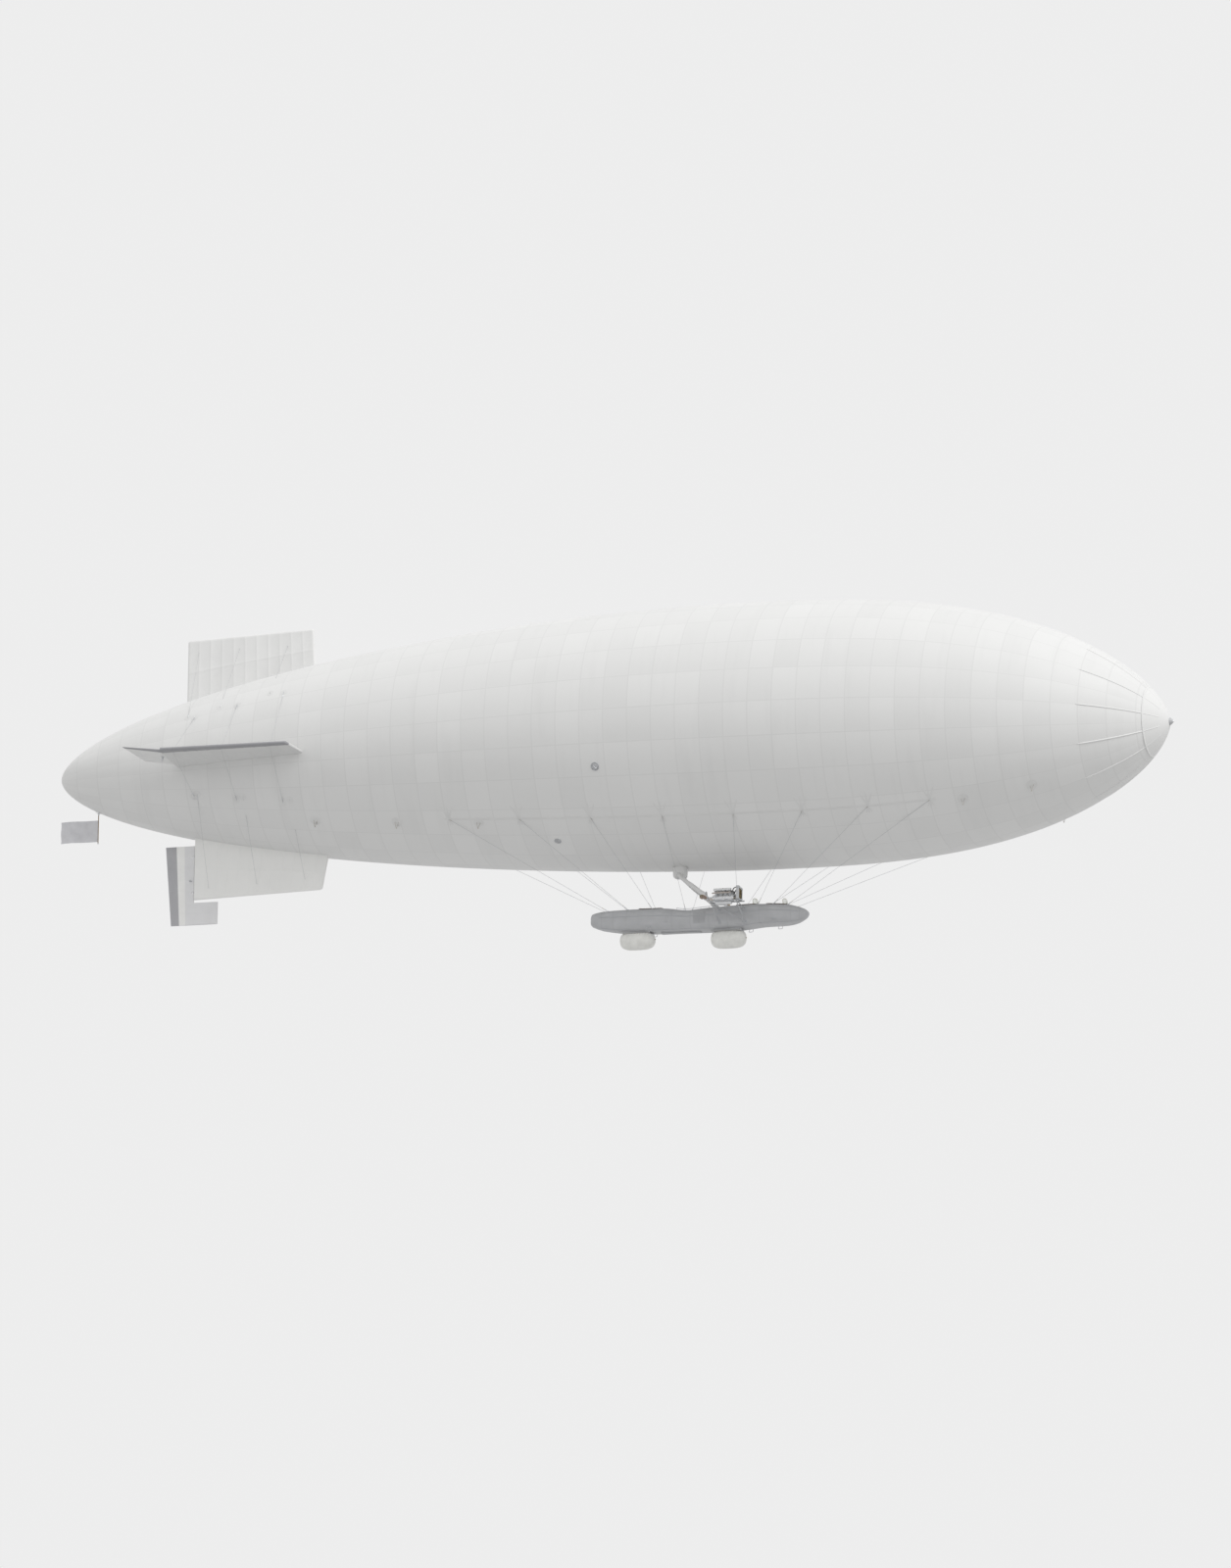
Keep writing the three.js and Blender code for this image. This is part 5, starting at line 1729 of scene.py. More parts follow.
@dataclass
class Valve:
    """Mushroom valve in its ring of bolts. Station is full size, angle up from the lowest line."""

    name: str
    station: float
    degrees: float
    radius: float
    bolts: int = 16

    def build(self) -> None:
        """Builds the valve of each side."""
        for hand, side in SIDES:
            axis = out_of_skin(self.station, self.degrees, side)
            base = on_skin(self.station, self.degrees, side)
            form = Form()
            r = self.radius
            form.turned(
                base, axis,
                [(-0.03, r), (0.009, r), (0.012, 0.97 * r), (0.012, 0.8 * r), (0.004, 0.76 * r),
                 (0.004, 0.1)], 0, 48)
            form.turned(
                base, axis,
                [(0.008, 0.7 * r), (0.014, 0.72 * r), (0.018, 0.7 * r), (0.024, 0.55 * r),
                 (0.027, 0.3 * r), (0.028, 0.05 * r)], 1, 48)
            form.turned(base, axis, [(0.02, 0.16 * r), (0.032, 0.14 * r), (0.034, 0.1 * r)], 2, 20)
            across = axis.orthogonal().normalized()
            other = axis.cross(across)
            for k, angle in enumerate(angles(self.bolts)):
                out = across * cos(angle) + other * sin(angle)
                form.turned(
                    base + out * 0.885 * r, axis, [(0.008, 0.006), (0.017, 0.006), (0.019, 0.004)], 2, 6)
                if k % 4 == 0:
                    arm = [base + out * 0.82 * r + axis * 0.013, base + out * 0.5 * r + axis * 0.034,
                           base + out * 0.1 * r + axis * 0.036]
                    form.tube(smooth_line([tuple(p) for p in arm], 9), 0.005, 2, 6)
            form.piece(f"{self.name}_{hand}_fitted", [STOVE_ENAMEL, CAR_ENAMEL, STEEL],
                       slot="valve_metal", replaces=[f"{self.name}_{hand}"])


@dataclass
class AirIntake:
    """Manifold under the belly and the two fabric ducts that scoop air behind the propellers, full size."""

    manifold: tuple[float, float] = (25.85, 26.5)
    manifold_half: float = 0.28
    manifold_foot: float = -7.02
    squareness: float = 0.4
    route: tuple[tuple[float, float, float], ...] = (
        (26.2, 0.2, -6.84), (26.0, 0.52, -7.06), (25.62, 0.84, -7.42),
        (25.06, 1.22, -7.86), (24.66, 1.5, -8.2), (24.32, 1.68, -8.42),
    )
    radius: float = 0.055
    wall: float = 0.004
    hoops: int = 22
    mouth: tuple[float, float] = (0.026, 0.026)

    def build(self) -> None:
        """Builds the manifold and both ducts."""
        self.box()
        for name, side in SIDES:
            self.duct(name, side)

    def box(self) -> None:
        """Fabric box, blown a little round, with a laced hem where it meets the skin."""
        form = Form()
        middle = sum(self.manifold) / 2
        long, wide = (self.manifold[1] - self.manifold[0]) / 2 * SCALE, self.manifold_half * SCALE
        skin = at_z(bow_at(middle)) - radius_at(middle) * SCALE
        foot = at_z(self.manifold_foot)
        rings = []
        for down in spread(0, 1, 15):
            near = min(down / 0.001, (1 - down) / 0.16, 1)
            swell = 1.0 if near >= 1 else math.sqrt(max(1 - (1 - near) ** 2, 0)) * 0.35 + 0.65
            bulge = 0.012 * sin(pi * down)
            height = blend_value(skin + 0.03, foot, down)
            rings.append(self.outline(long * swell + bulge, wide * swell + bulge, height))
        form.loft(rings)
        for reach, high in ((1.12, 0.0015), (1.2, 0.003)):
            form.loft([self.outline(long * reach, wide * reach, skin - lift) for lift in (UNDER_SKIN, high)])
        upper = self.outline(1.07 * long, 1.07 * wide, skin - 0.005, 0.0)
        lower = self.outline(1.03 * long, 1.03 * wide, skin - 0.03, 0.0)
        for stitch in zip(upper, lower):
            form.tube(stitch, 0.0022, 1, 5)
        form.piece("air_manifold_fabric", [NOSE_CLOTH, LACING], slot="silver_cloth",
                   replaces=["air_manifold"])

    def outline(self, long: float, wide: float, height: float, first: float = 0.5) -> list[Vector]:
        """Level outline of the box, with round corners.

        Args:
            long: Half its length in model metres.
            wide: Half its width.
            height: Its Z.
            first: Where the first point stands, as a share of a step.

        Returns:
            The points.
        """
        middle = at_x(sum(self.manifold) / 2)
        return [Vector((middle + powered(cos(a), self.squareness) * long,
                        powered(sin(a), self.squareness) * wide, height)) for a in angles(40, first)]

    def duct(self, name: str, side: int) -> None:
        """One duct: cloth over wire hoops, sagging between them, with a flared mouth.

        Args:
            name: port or starboard.
            side: +1 for port and -1 for starboard.
        """
        count = self.hoops * 6 + 1
        path = [
            place(station, out, height, side) for station, out, height in smooth_line(self.route, count)]
        x_axis = Vector((1, 0, 0))
        outer, axes = [], []
        for i, at in enumerate(path):
            along = (path[min(i + 1, count - 1)] - path[max(i - 1, 0)]).normalized()
            turned = min(max((i - count + 1) / 20 + 1, 0.0), 1.0)
            axes.append(along.lerp(x_axis, turned * turned * (3 - 2 * turned)).normalized())
            outer.append((at, self.radius - 0.004 * abs(sin(pi * i / 6))))
        ahead, flare = self.mouth
        outer += [(path[-1] + x_axis * ahead * share, self.radius + flare * share ** 1.6)
                  for share in (0.2, 0.45, 0.7, 0.9, 1.0)]
        axes += [x_axis] * 5
        rings = [ring_round(at, axis, radius, 28) for (at, radius), axis in zip(outer, axes)]
        bore = [
            ring_round(at, axis, radius - self.wall, 28)
            for (at, radius), axis in zip(outer[1:], axes[1:])]
        form = Form().loft(rings + bore[::-1])
        for k in range(1, self.hoops):
            form.add(hoop(path[k * 6], axes[k * 6], self.radius + 0.0005, 0.003, 28), None, 0)
        form.add(hoop(path[-1] + x_axis * ahead, x_axis, self.radius + flare - 0.002, 0.005, 36), None, 1)
        form.add(hoop(path[-1], x_axis, self.radius, 0.004, 32), None, 1)
        form.piece(f"{name}_duct_fabric", [NOSE_CLOTH, TUBE_ENAMEL], slot="silver_cloth",
                   replaces=[f"{name}_scoop_duct"])


def ring_round(centre: Vector, axis: Vector, radius: float, sides: int) -> list[Vector]:
    """Circle of points round an axis.

    Args:
        centre: Its middle.
        axis: The axis's direction.
        radius: Its radius.
        sides: How many points.

    Returns:
        The points.
    """
    across = axis.cross(Vector((0, 1, 0))).normalized()
    other = axis.cross(across)
    return [centre + (across * cos(a) + other * sin(a)) * radius for a in angles(sides)]


def hoop(centre: Vector, axis: Vector, radius: float, thick: float, sides: int) -> Form:
    """Wire ring round an axis.

    Args:
        centre: Its middle.
        axis: The axis's direction.
        radius: The ring's radius.
        thick: The wire's radius.
        sides: Points round the ring.

    Returns:
        The ring.
    """
    across = axis.orthogonal().normalized()
    other = axis.cross(across)
    path = [centre + (across * cos(a) + other * sin(a)) * radius for a in angles(sides)]
    rings = []
    for p in path:
        out = (p - centre).normalized()
        rings.append([p + out * thick * cos(a) + axis * thick * sin(a) for a in angles(8)])
    return Form().loft([*rings, rings[0]], caps=False)


@dataclass
class Suspension:
    """Bands on the flanks, finger patches, and the cables that carry the car."""

    band_degrees: float = 40.0
    band_wide: float = 0.06
    band_thick: float = 0.006
    cables: tuple[tuple[int, float], ...] = (
        (7, 20.25), (8, 21.0), (9, 21.8), (10, 22.9), (11, 25.7), (12, 27.5), (13, 28.8), (14, 29.9),
    )
    cable_radius: float = 0.005
    gunwale_degrees: float = 52.0

    def build(self) -> None:
        """Builds each side."""
        for name, side in SIDES:
            form = Form()
            stations = [ring_station(ring) for ring, _ in self.cables]
            form.add(band(stations[0] - 0.3, stations[-1] + 0.3, self.band_degrees, self.band_wide,
                          self.band_thick, side))
            for station, (_, foot) in zip(stations, self.cables):
                self.cable(form, station, foot, side)
            form.piece(f"{name}_suspension_rigging", [PATCH_CLOTH, WIRE, STEEL, LACING],
                       slot="steel_cable", replaces=[f"{name}_suspension"])

    def cable(self, form: Form, station: float, foot: float, side: int) -> None:
        """Adds one cable, its patch, eye, splices, turnbuckle and lug on the car.

        Args:
            form: The form that gets the faces.
            station: Station of its patch, full size.
            foot: Station of its lug on the car.
            side: +1 for port and -1 for starboard.
        """
        form.add(finger_patch(station, self.band_degrees + 0.4, side, 0.42))
        form.add(finger_patch(station, self.band_degrees - 0.4, side, -0.2))
        high = on_skin(station, self.band_degrees, side, 0.011)
        low = car_point(foot, self.gunwale_degrees, side)
        down = (low - high).normalized()
        out = out_of_skin(station, self.band_degrees, side)
        form.add(hoop(high + down * 0.006, down.cross(out).normalized(), 0.012, 0.0035, 16), None, 2)
        length = (low - high).length
        form.tube([high + down * 0.018, high + down * (length - 0.12)], self.cable_radius * 0.7, 1, 8)
        for start in (0.02, length - 0.2):
            form.turned(
                high + down * start, down,
                [(0, 0.0055), (0.006, 0.0075), (0.05, 0.0065), (0.056, 0.0045)], 3, 8)
        screw = high + down * (length - 0.13)
        form.turned(screw, down, [(0, 0.004), (0.004, 0.009), (0.012, 0.011), (0.02, 0.008), (0.06, 0.008),
                                  (0.068, 0.011), (0.076, 0.009), (0.08, 0.0045), (0.125, 0.0045)], 2, 12)
        normal = car_normal(foot, self.gunwale_degrees, side)
        form.turned(
            low - normal * 0.003, normal,
            [(0, 0.024), (0.005, 0.024), (0.007, 0.02), (0.008, 0.011), (0.02, 0.011), (0.024, 0.006)], 2,
            16)


def ring_station(ring: float) -> float:
    """Full-size station of one of the envelope's 24 spaced rings."""
    return LENGTH * (1 - cos(pi * ring / 24)) / 2


# Car's half width, top and bottom by station, full size
CAR_SECTIONS = (
    (19.2, 0.05, -9.22, -9.34), (19.35, 0.24, -9.06, -9.5), (19.75, 0.44, -8.9, -9.68),
    (20.4, 0.62, -8.76, -9.78), (21.6, 0.74, -8.7, -9.78), (23.0, 0.76, -8.7, -9.9),
    (24.6, 0.74, -8.76, -9.92), (25.7, 0.72, -8.82, -9.9), (26.9, 0.72, -8.66, -9.88),
    (28.8, 0.66, -8.62, -9.8), (30.2, 0.48, -8.64, -9.6), (30.8, 0.3, -8.74, -9.4),
    (30.9, 0.18, -8.86, -9.3))
CAR_LINES = smooth_line(CAR_SECTIONS, 12 * 12 + 1)
CAR_SQUARENESS = 0.62
CAR_WALL = 0.01


def car_section(station: float) -> tuple[float, float, float]:
    """Half width, top and bottom of the car at a station, all full size.

    Args:
        station: Metres aft of the nose, full size.

    Returns:
        The three values in metres.
    """
    i = 0
    while i < len(CAR_LINES) - 2 and CAR_LINES[i + 1][0] < station:
        i += 1
    a, b = CAR_LINES[i], CAR_LINES[i + 1]
    part = min(max((station - a[0]) / max(b[0] - a[0], 1e-6), 0), 1)
    return tuple(blend_value(a[k], b[k], part) for k in (1, 2, 3))


def car_point(station: float, degrees: float, side: int = 1, growth: float = 0.0) -> Vector:
    """Point on the car's side in the model.

    Args:
        station: Metres aft of the nose, full size.
        degrees: Angle up from the car's widest line.
        side: +1 for port and -1 for starboard.
        growth: Model metres off the skin.

    Returns:
        The point in the model's frame.
    """
    half, top, bottom = car_section(station)
    angle = radians(degrees)
    wide, high = half * SCALE + growth, (top - bottom) * SCALE / 2 + growth
    middle = at_z((top + bottom) / 2)
    return Vector((at_x(station), side * wide * powered(cos(angle), CAR_SQUARENESS),
                   middle + high * powered(sin(angle), CAR_SQUARENESS)))


def car_normal(station: float, degrees: float, side: int = 1) -> Vector:
    """Unit vector off the car's skin.

    Args:
        station: Metres aft of the nose, full size.
        degrees: Angle up from the car's widest line.
        side: +1 for port and -1 for starboard.

    Returns:
        The vector in the model's frame.
    """
    step = 0.6
    along = car_point(station - 0.03, degrees, side) - car_point(station + 0.03, degrees, side)
    round_it = car_point(station, degrees + step, side) - car_point(station, degrees - step, side)
    normal = along.cross(round_it).normalized()
    middle = (car_point(station, 0, side) + car_point(station, 180, side)) / 2
    return normal if normal.dot(car_point(station, degrees, side) - middle) > 0 else -normal


def car_top(station: float, out: float, growth: float = 0.0) -> Vector:
    """Point on the car's upper skin.

    Args:
        station: Metres aft of the nose, full size.
        out: Distance out to port, full size.
        growth: Model metres off the skin.

    Returns:
        The point in the model's frame.
    """
    half = car_section(station)[0]
    share = min(abs(out) / half, 0.999) ** (1 / CAR_SQUARENESS)
    return car_point(station, math.degrees(math.acos(share)), 1 if out >= 0 else -1, growth)


def rounded_box(low: Point, high: Point, rounding: float, step: float) -> Form:
    """Closed block with round edges, gridded finely enough to bend.

    Args:
        low: Lowest corner.
        high: Highest corner.
        rounding: Radius of the edges.
        step: Distance between grid points.

    Returns:
        The form.
    """
    form = Form()
    a, b = Vector(low), Vector(high)
    inner_low, inner_high = a + Vector((rounding,) * 3), b - Vector((rounding,) * 3)
    for axis in range(3):
        u, v = (axis + 1) % 3, (axis + 2) % 3
        us = spread(a[u], b[u], max(round((b[u] - a[u]) / step), 2) + 1)
        vs = spread(a[v], b[v], max(round((b[v] - a[v]) / step), 2) + 1)
        for end in (a[axis], b[axis]):
            rows = []
            for along in us:
                row = []
                for across in vs:
                    q = Vector((0, 0, 0))
                    q[axis], q[u], q[v] = end, along, across
                    core = Vector([min(max(q[k], inner_low[k]), inner_high[k]) for k in range(3)])
                    row.append(core + (q - core).normalized() * rounding)
                rows.append(row)
            form.loft(rows, closed=False)
    sew(form)
    return form


def simulate(
        made: bpy.types.Object, pinned: Sequence[int], pressure: float, slack: float, cap: float) -> None:
    """Fills a closed cloth shape by Blender's cloth simulation and keeps the result.

    Args:
        made: The piece, whose mesh becomes the filled one.
        pinned: Vertices that stay where they rest.
        pressure: Outward pressure.
        slack: Share by which the cloth is cut larger than the shape, which wrinkles it.
        cap: The furthest that a point may move, in metres.
    """
    rest = [v.co.copy() for v in made.data.vertices]
    made.vertex_groups.new(name="held").add(list(pinned), 1.0, "REPLACE")
    cloth = made.modifiers.new("filling", "CLOTH")
    cloth.settings.use_pressure = True
    cloth.settings.uniform_pressure_force = pressure
    cloth.settings.effector_weights.gravity = 0
    cloth.settings.vertex_group_mass = "held"
    cloth.settings.shrink_min = -slack
    cloth.settings.quality = 6
    cloth.settings.tension_stiffness = 30
    cloth.settings.compression_stiffness = 30
    cloth.point_cache.frame_start, cloth.point_cache.frame_end = 1, 20
    scene = bpy.context.scene
    for number in range(1, 21):
        scene.frame_set(number)
    filled = made.evaluated_get(bpy.context.evaluated_depsgraph_get()).to_mesh()
    moved = [v.co.copy() for v in filled.vertices]
    made.modifiers.clear()
    made.vertex_groups.clear()
    scene.frame_set(1)
    for vertex, old, new in zip(made.data.vertices, rest, moved):
        step = new - old
        vertex.co = old + step * min(1.0, cap / max(step.length, 1e-9))


def smoothed(made: bpy.types.Object) -> None:
    """Subdivides a piece once and keeps the result.

    Args:
        made: The piece.
    """
    rounded = made.modifiers.new("smooth", "SUBSURF")
    rounded.levels = rounded.render_levels = 1
    keep_modifiers(made)


def keep_modifiers(made: bpy.types.Object) -> None:
    """Makes a piece's modified mesh its own mesh.

    Args:
        made: The piece.
    """
    mesh = bpy.data.meshes.new_from_object(made.evaluated_get(bpy.context.evaluated_depsgraph_get()))
    made.modifiers.clear()
    made.data = mesh
    mesh.polygons.foreach_set("use_smooth", [True] * len(mesh.polygons))


class Skin:
    """Surface of a finished piece, asked for points by rays."""

    def __init__(self, made: bpy.types.Object) -> None:
        """Reads the piece's mesh."""
        faces = [tuple(f.vertices) for f in made.data.polygons]
        self.tree = BVHTree.FromPolygons([v.co.copy() for v in made.data.vertices], faces)

    def towards(self, start: Vector, way: Vector, lift: float = 0.0) -> Vector:
        """First point met from start along way, set back by lift, or start where there is none."""
        found = self.tree.ray_cast(start, way.normalized())[0]
        return start if found is None else found - way.normalized() * lift


@dataclass
class BumperBag:
    """Air bag under the car that takes a landing, laced to its cradle. Lengths are full size."""

    name: str
    station: float
    foot: float
    lowest: float
    half_long: float = 0.93
    half_wide: float = 0.5
    half_high: float = 0.53
    squareness: float = 0.6
    cradle_long: float = 0.72
    cradle_wide: float = 0.33
    gores: int = 10
    rows: int = 30

    def middle(self) -> Vector:
        """The bag's middle in the model."""
        return place(self.station, 0, self.lowest + self.half_high)

    def build(self) -> None:
        """Builds bag, straps and cradle."""
        made = self.bag()
        self.straps(Skin(made))
        self.cradle()

    def bag(self) -> bpy.types.Object:
        """The bag itself, filled by simulation, then pinched along its gore seams.

        Returns:
            The bag.
        """
        middle, ceiling = self.middle(), at_z(self.foot) - 0.004
        long, wide, high = (v * SCALE * 0.97 for v in (self.half_long, self.half_wide, self.half_high))
        sides = self.gores * 8
        form = Form()
        form.points += [middle + Vector((end * long, 0, 0)) for end in (1, -1)]
        for row in range(1, self.rows):
            polar = pi * row / self.rows
            along, out = (powered(part, self.squareness) for part in (cos(polar), sin(polar)))
            for angle in angles(sides):
                p = middle + Vector((long * along, wide * out * sin(angle), high * out * cos(angle)))
                p.z = min(p.z, ceiling)
                form.points.append(p)
        for row in range(self.rows - 2):
            for k in range(sides):
                a, b = 2 + row * sides + k, 2 + row * sides + (k + 1) % sides
                form.face((a, b, b + sides, a + sides))
        last = 2 + (self.rows - 2) * sides
        for k in range(sides):
            form.face((0, 2 + (k + 1) % sides, 2 + k))
            form.face((1, last + k, last + (k + 1) % sides))
        held = [i for i, p in enumerate(form.points) if p.z > ceiling - 0.001]
        made = form.piece(f"{self.name}_bag_canvas", [BAG_CLOTH], slot="bag_rubber",
                          replaces=[f"{self.name}_bumper_bag"], crease=180)
        simulate(made, held, 2.5, 0.02, 0.012)
        for v in made.data.vertices:
            off = v.co - middle
            turn = math.atan2(off.y / wide, off.z / high) * self.gores / (2 * pi)
            pinch = max(0.0, 1 - abs(turn - round(turn)) / 0.09) * 0.0035
            flat = Vector((0, off.y, off.z))
            if flat.length > 0.02 and v.co.z < ceiling - 0.002:
                v.co -= flat.normalized() * pinch
            v.co.z = min(v.co.z, ceiling)
        smoothed(made)
        return made

    def straps(self, skin: Skin) -> None:
        """Webbing round the bag, end patches with a filling valve, and lacing up to the cradle.

        Args:
            skin: The filled bag's surface.
        """
        middle, top = self.middle(), at_z(self.foot)
        form = Form()
        for share in (-0.6, -0.2, 0.2, 0.6):
            x = middle.x + share * self.cradle_long * SCALE
            path = []
            for angle in spread(-2.36, 2.36, 41):
                way = Vector((0, sin(angle), -cos(angle)))
                start = Vector((x, 0, middle.z))
                found = skin.towards(start, way)
                found.z = min(found.z, top + 0.004)
                path.append((found, way))
            rings = []
            for p, way in path:
                rings.append([
                    p + Vector((dx, 0, 0)) + way * lift
                    for dx, lift in ((-0.014, -0.002), (0.014, -0.002), (0.014, 0.0025), (-0.014, 0.0025))
                ])
            form.loft(rings)
        for end in (1, -1):
            for reach, lift in ((0.075, 0.001), (0.045, 0.003)):
                rings = []
                for share, over in ((1.0, -0.003), (1.0, 0.6 * lift), (0.9, lift), (0.1, lift)):
                    rings.append([skin.towards(middle + Vector((end, reach * share * cos(a),
                                                                reach * share * sin(a))),
                                               Vector((-end, 0, 0)), over)
                                  for a in angles(20)])
                form.loft(rings, 0)
        nose = skin.towards(middle + Vector((1, 0, 0)), Vector((-1, 0, 0)))
        form.turned(
            nose, (1, 0, 0),
            [(-0.004, 0.018), (0.004, 0.018), (0.006, 0.009), (0.022, 0.009), (0.026, 0.006)], 2, 16)
        long, wide = self.cradle_long * SCALE, self.cradle_wide * SCALE
        for side in (1, -1):
            eyes = spread(-0.9, 0.9, 19)
            line = []
            for i, share in enumerate(eyes):
                x = middle.x + share * long
                if i % 2:
                    line.append(Vector((x, side * (wide + 0.004), top + 0.012)))
                else:
                    start = Vector((x, 0, top - 0.045))
                    line.append(skin.towards(start, Vector((0, side, 0)), -0.004))
            form.tube(line, 0.003, 1, 6)
        form.piece(f"{self.name}_bag_straps", [BAG_CLOTH, LACING, BRASS], slot="bag_rubber")

    def cradle(self) -> None:
        """Flange with eyelets along each edge of the cradle, and the bolts that hold it."""
        middle, top = self.middle(), at_z(self.foot)
        long, wide = self.cradle_long * SCALE, self.cradle_wide * SCALE
        form = Form()
        for side in (1, -1):
            y = side * wide
            form.block(
                (middle.x - long, min(y, y + side * 0.006), top),
                (middle.x + long, max(y, y + side * 0.006), top + 0.03), 0, 0.002)
            for share in spread(-0.9, 0.9, 10):
                at = Vector((middle.x + share * long, y + side * 0.006, top + 0.014))
                form.turned(at - Vector((0, side * 0.002, 0)), (0, side, 0), [(0, 0.007), (0.004, 0.007),
                                                                             (0.005, 0.005)], 1, 10)
        form.piece(f"{self.name}_cradle_flanges", [CAR_ENAMEL, BRASS], slot="car_panels")
        finish_node(f"{self.name}_bag_cradle", CAR_ENAMEL)


@dataclass
class CarShell:
    """Sheet-metal car on frames, with three open cockpits. Stations and half widths are full size."""

    cockpits: tuple[tuple[float, float, float], ...] = (
        (20.35, 21.45, 0.46), (21.95, 23.05, 0.52), (27.0, 28.3, 0.48),
    )
    cockpit_squareness: float = 0.55
    parts: tuple[tuple[str, float, float], ...] = (
        ("car_nose_cowl", 19.2, 20.05), ("car_forward_section", 20.05, 21.7),
        ("car_middle_section", 21.7, 23.4), ("car_centre_section", 23.4, 26.4),
        ("car_after_section", 26.4, 29.6), ("car_tail_cone", 29.6, 30.9))
    strap_stations: tuple[float, ...] = (19.62, 20.05, 21.7, 23.4, 24.4, 25.4, 26.4, 28.85, 29.6, 30.25)
    sides: int = 72

    def build(self) -> None:
        """Builds the shell's sections and everything fixed to them."""
        for name, first, last in self.parts:
            self.section(name, first, last)
        self.straps()
        self.fittings()
        self.coamings()

    def rim(self, row: tuple[float, float, float], count: int, lift: float) -> list[Vector]:
        """Points round a cockpit's edge, on the car's top skin.

        Args:
            row: The cockpit's first station, last station and half width.
            count: How many points.
            lift: Model metres off the skin.

        Returns:
            The points.
        """
        first, last, half = row
        points = []
        for angle in angles(count):
            station = (first + last) / 2 + (last - first) / 2 * powered(cos(angle), self.cockpit_squareness)
            out = half * powered(sin(angle), self.cockpit_squareness)
            points.append(car_top(station, out, lift))
        return points

    def section(self, name: str, first: float, last: float) -> None:
        """One section: outer and inner skin joined at their edges, with the cockpits cut out of it.

        Args:
            name: The node it stands for.
            first: Its first station, full size.
            last: Its last station.
        """
        gap = 0.0006
        stations = spread(first + gap, last - gap, max(round((last - first) / 0.07), 8) + 1)
        turns = [360 * (k + 0.5) / self.sides for k in range(self.sides)]
        outer = [[car_point(s, t) for t in turns] for s in stations]
        inner = [[car_point(s, t, 1, -CAR_WALL) for t in turns] for s in stations]
        form = Form()
        if name == "car_nose_cowl":
            form.loft([*outer, *inner[:0:-1]])
        elif name == "car_tail_cone":
            form.loft([*outer[::-1], *inner[:-1]])
        else:
            form.loft([*outer, *inner[::-1], outer[0]], caps=False)
            sew(form)
        made = form.piece(name + "_panels", [CAR_ENAMEL], slot="car_panels", replaces=[name], crease=30)
        for row in self.cockpits:
            if row[0] < last and row[1] > first:
                self.cut_cockpit(made, row)

    def cut_cockpit(self, made: bpy.types.Object, row: tuple[float, float, float]) -> None:
        """Cuts one cockpit's opening out of a section.

        Args:
            made: The section.
            row: The cockpit's first station, last station and half width.
        """
        rim = self.rim(row, 64, 0.0)
        low, high = at_z(-9.1), at_z(-8.2)
        form = Form().loft([[Vector((p.x, p.y, z)) for p in rim] for z in (low, high)])
        mesh = bpy.data.meshes.new("cockpit_cut")
        mesh.from_pydata([tuple(p) for p in form.points], [], form.faces)
        turn_outwards(mesh)
        tool = bpy.data.objects.new("cockpit_cut", mesh)
        bpy.context.scene.collection.objects.link(tool)
        cut = made.modifiers.new("cockpit", "BOOLEAN")
        cut.object, cut.operation, cut.solver = tool, "DIFFERENCE", "EXACT"
        keep_modifiers(made)
        shade(made.data, 30)
        bpy.data.objects.remove(tool)

    def straps(self) -> None:
        """Riveted straps over the joints, rub rails and a keel strip."""
        form = Form()
        for station in self.strap_stations:
            turns = spread(0, 360, 97)[:-1]
            rows = ((-0.024, -0.002), (-0.024, 0.0012), (0.024, 0.0012), (0.024, -0.002))
            rings = [[car_point(station + along, t, 1, lift) for along, lift in rows] for t in turns]
            form.loft([*rings, rings[0]], 0, caps=False)
            for along in (-0.014, 0.014):
                path = [car_point(station + along, t, 1, 0.0012) for t in spread(0, 360, 361)]
                for p in evenly(path, 0.036):
                    middle = Vector((p.x, 0, at_z(sum(car_section(station)[1:]) / 2)))
                    rivet(form, p, (p - middle).normalized(), 0.0035, 0)
        for side in (1, -1):
            for degrees, radius in ((4, 0.009), (-62, 0.006)):
                path = [car_point(s, degrees, side, 0.002) for s in spread(19.7, 30.4, 70)]
                form.tube(path, radius, 1, 8)
        form.piece("car_straps_and_rivets", [CAR_ENAMEL, TUBE_ENAMEL], slot="car_panels")

    def fittings(self) -> None:
        """Louvres, hatches, filler caps, steps and grab rails."""
        form = Form()
        for side in (1, -1):
            for k in range(11):
                self.louvre(form, 24.62 + 0.06 * k, side)
            self.hatch(form, 23.72, 24.18, side)
            self.hatch(form, 26.52, 26.86, side)
            for station in (20.9, 22.5, 27.65):
                self.step(form, station, side)
            rail = [car_point(s, 62, side, 0.035) for s in spread(23.62, 26.2, 30)]
            ends = [car_point(23.6, 62, side), car_point(26.22, 62, side)]
            form.tube([ends[0], *rail, ends[1]], 0.006, 1, 10)
            for s in spread(24.0, 25.8, 5):
                form.tube([car_point(s, 62, side), car_point(s, 62, side, 0.035)], 0.0045, 1, 8)
        for station, out in ((24.05, 0.16), (24.05, -0.16), (25.1, 0.0)):
            form.turned(
                car_top(station, out), (0, 0, 1),
                [(-0.004, 0.04), (0.004, 0.04), (0.006, 0.036), (0.006, 0.028), (0.02, 0.027),
                 (0.023, 0.022), (0.024, 0.004)], 2, 24)
            form.block(car_top(station, out) + Vector((-0.022, -0.004, 0.02)),
                       car_top(station, out) + Vector((0.022, 0.004, 0.03)), 2, 0.002)
        form.piece("car_fittings", [CAR_ENAMEL, TUBE_ENAMEL, BRASS], slot="car_panels")

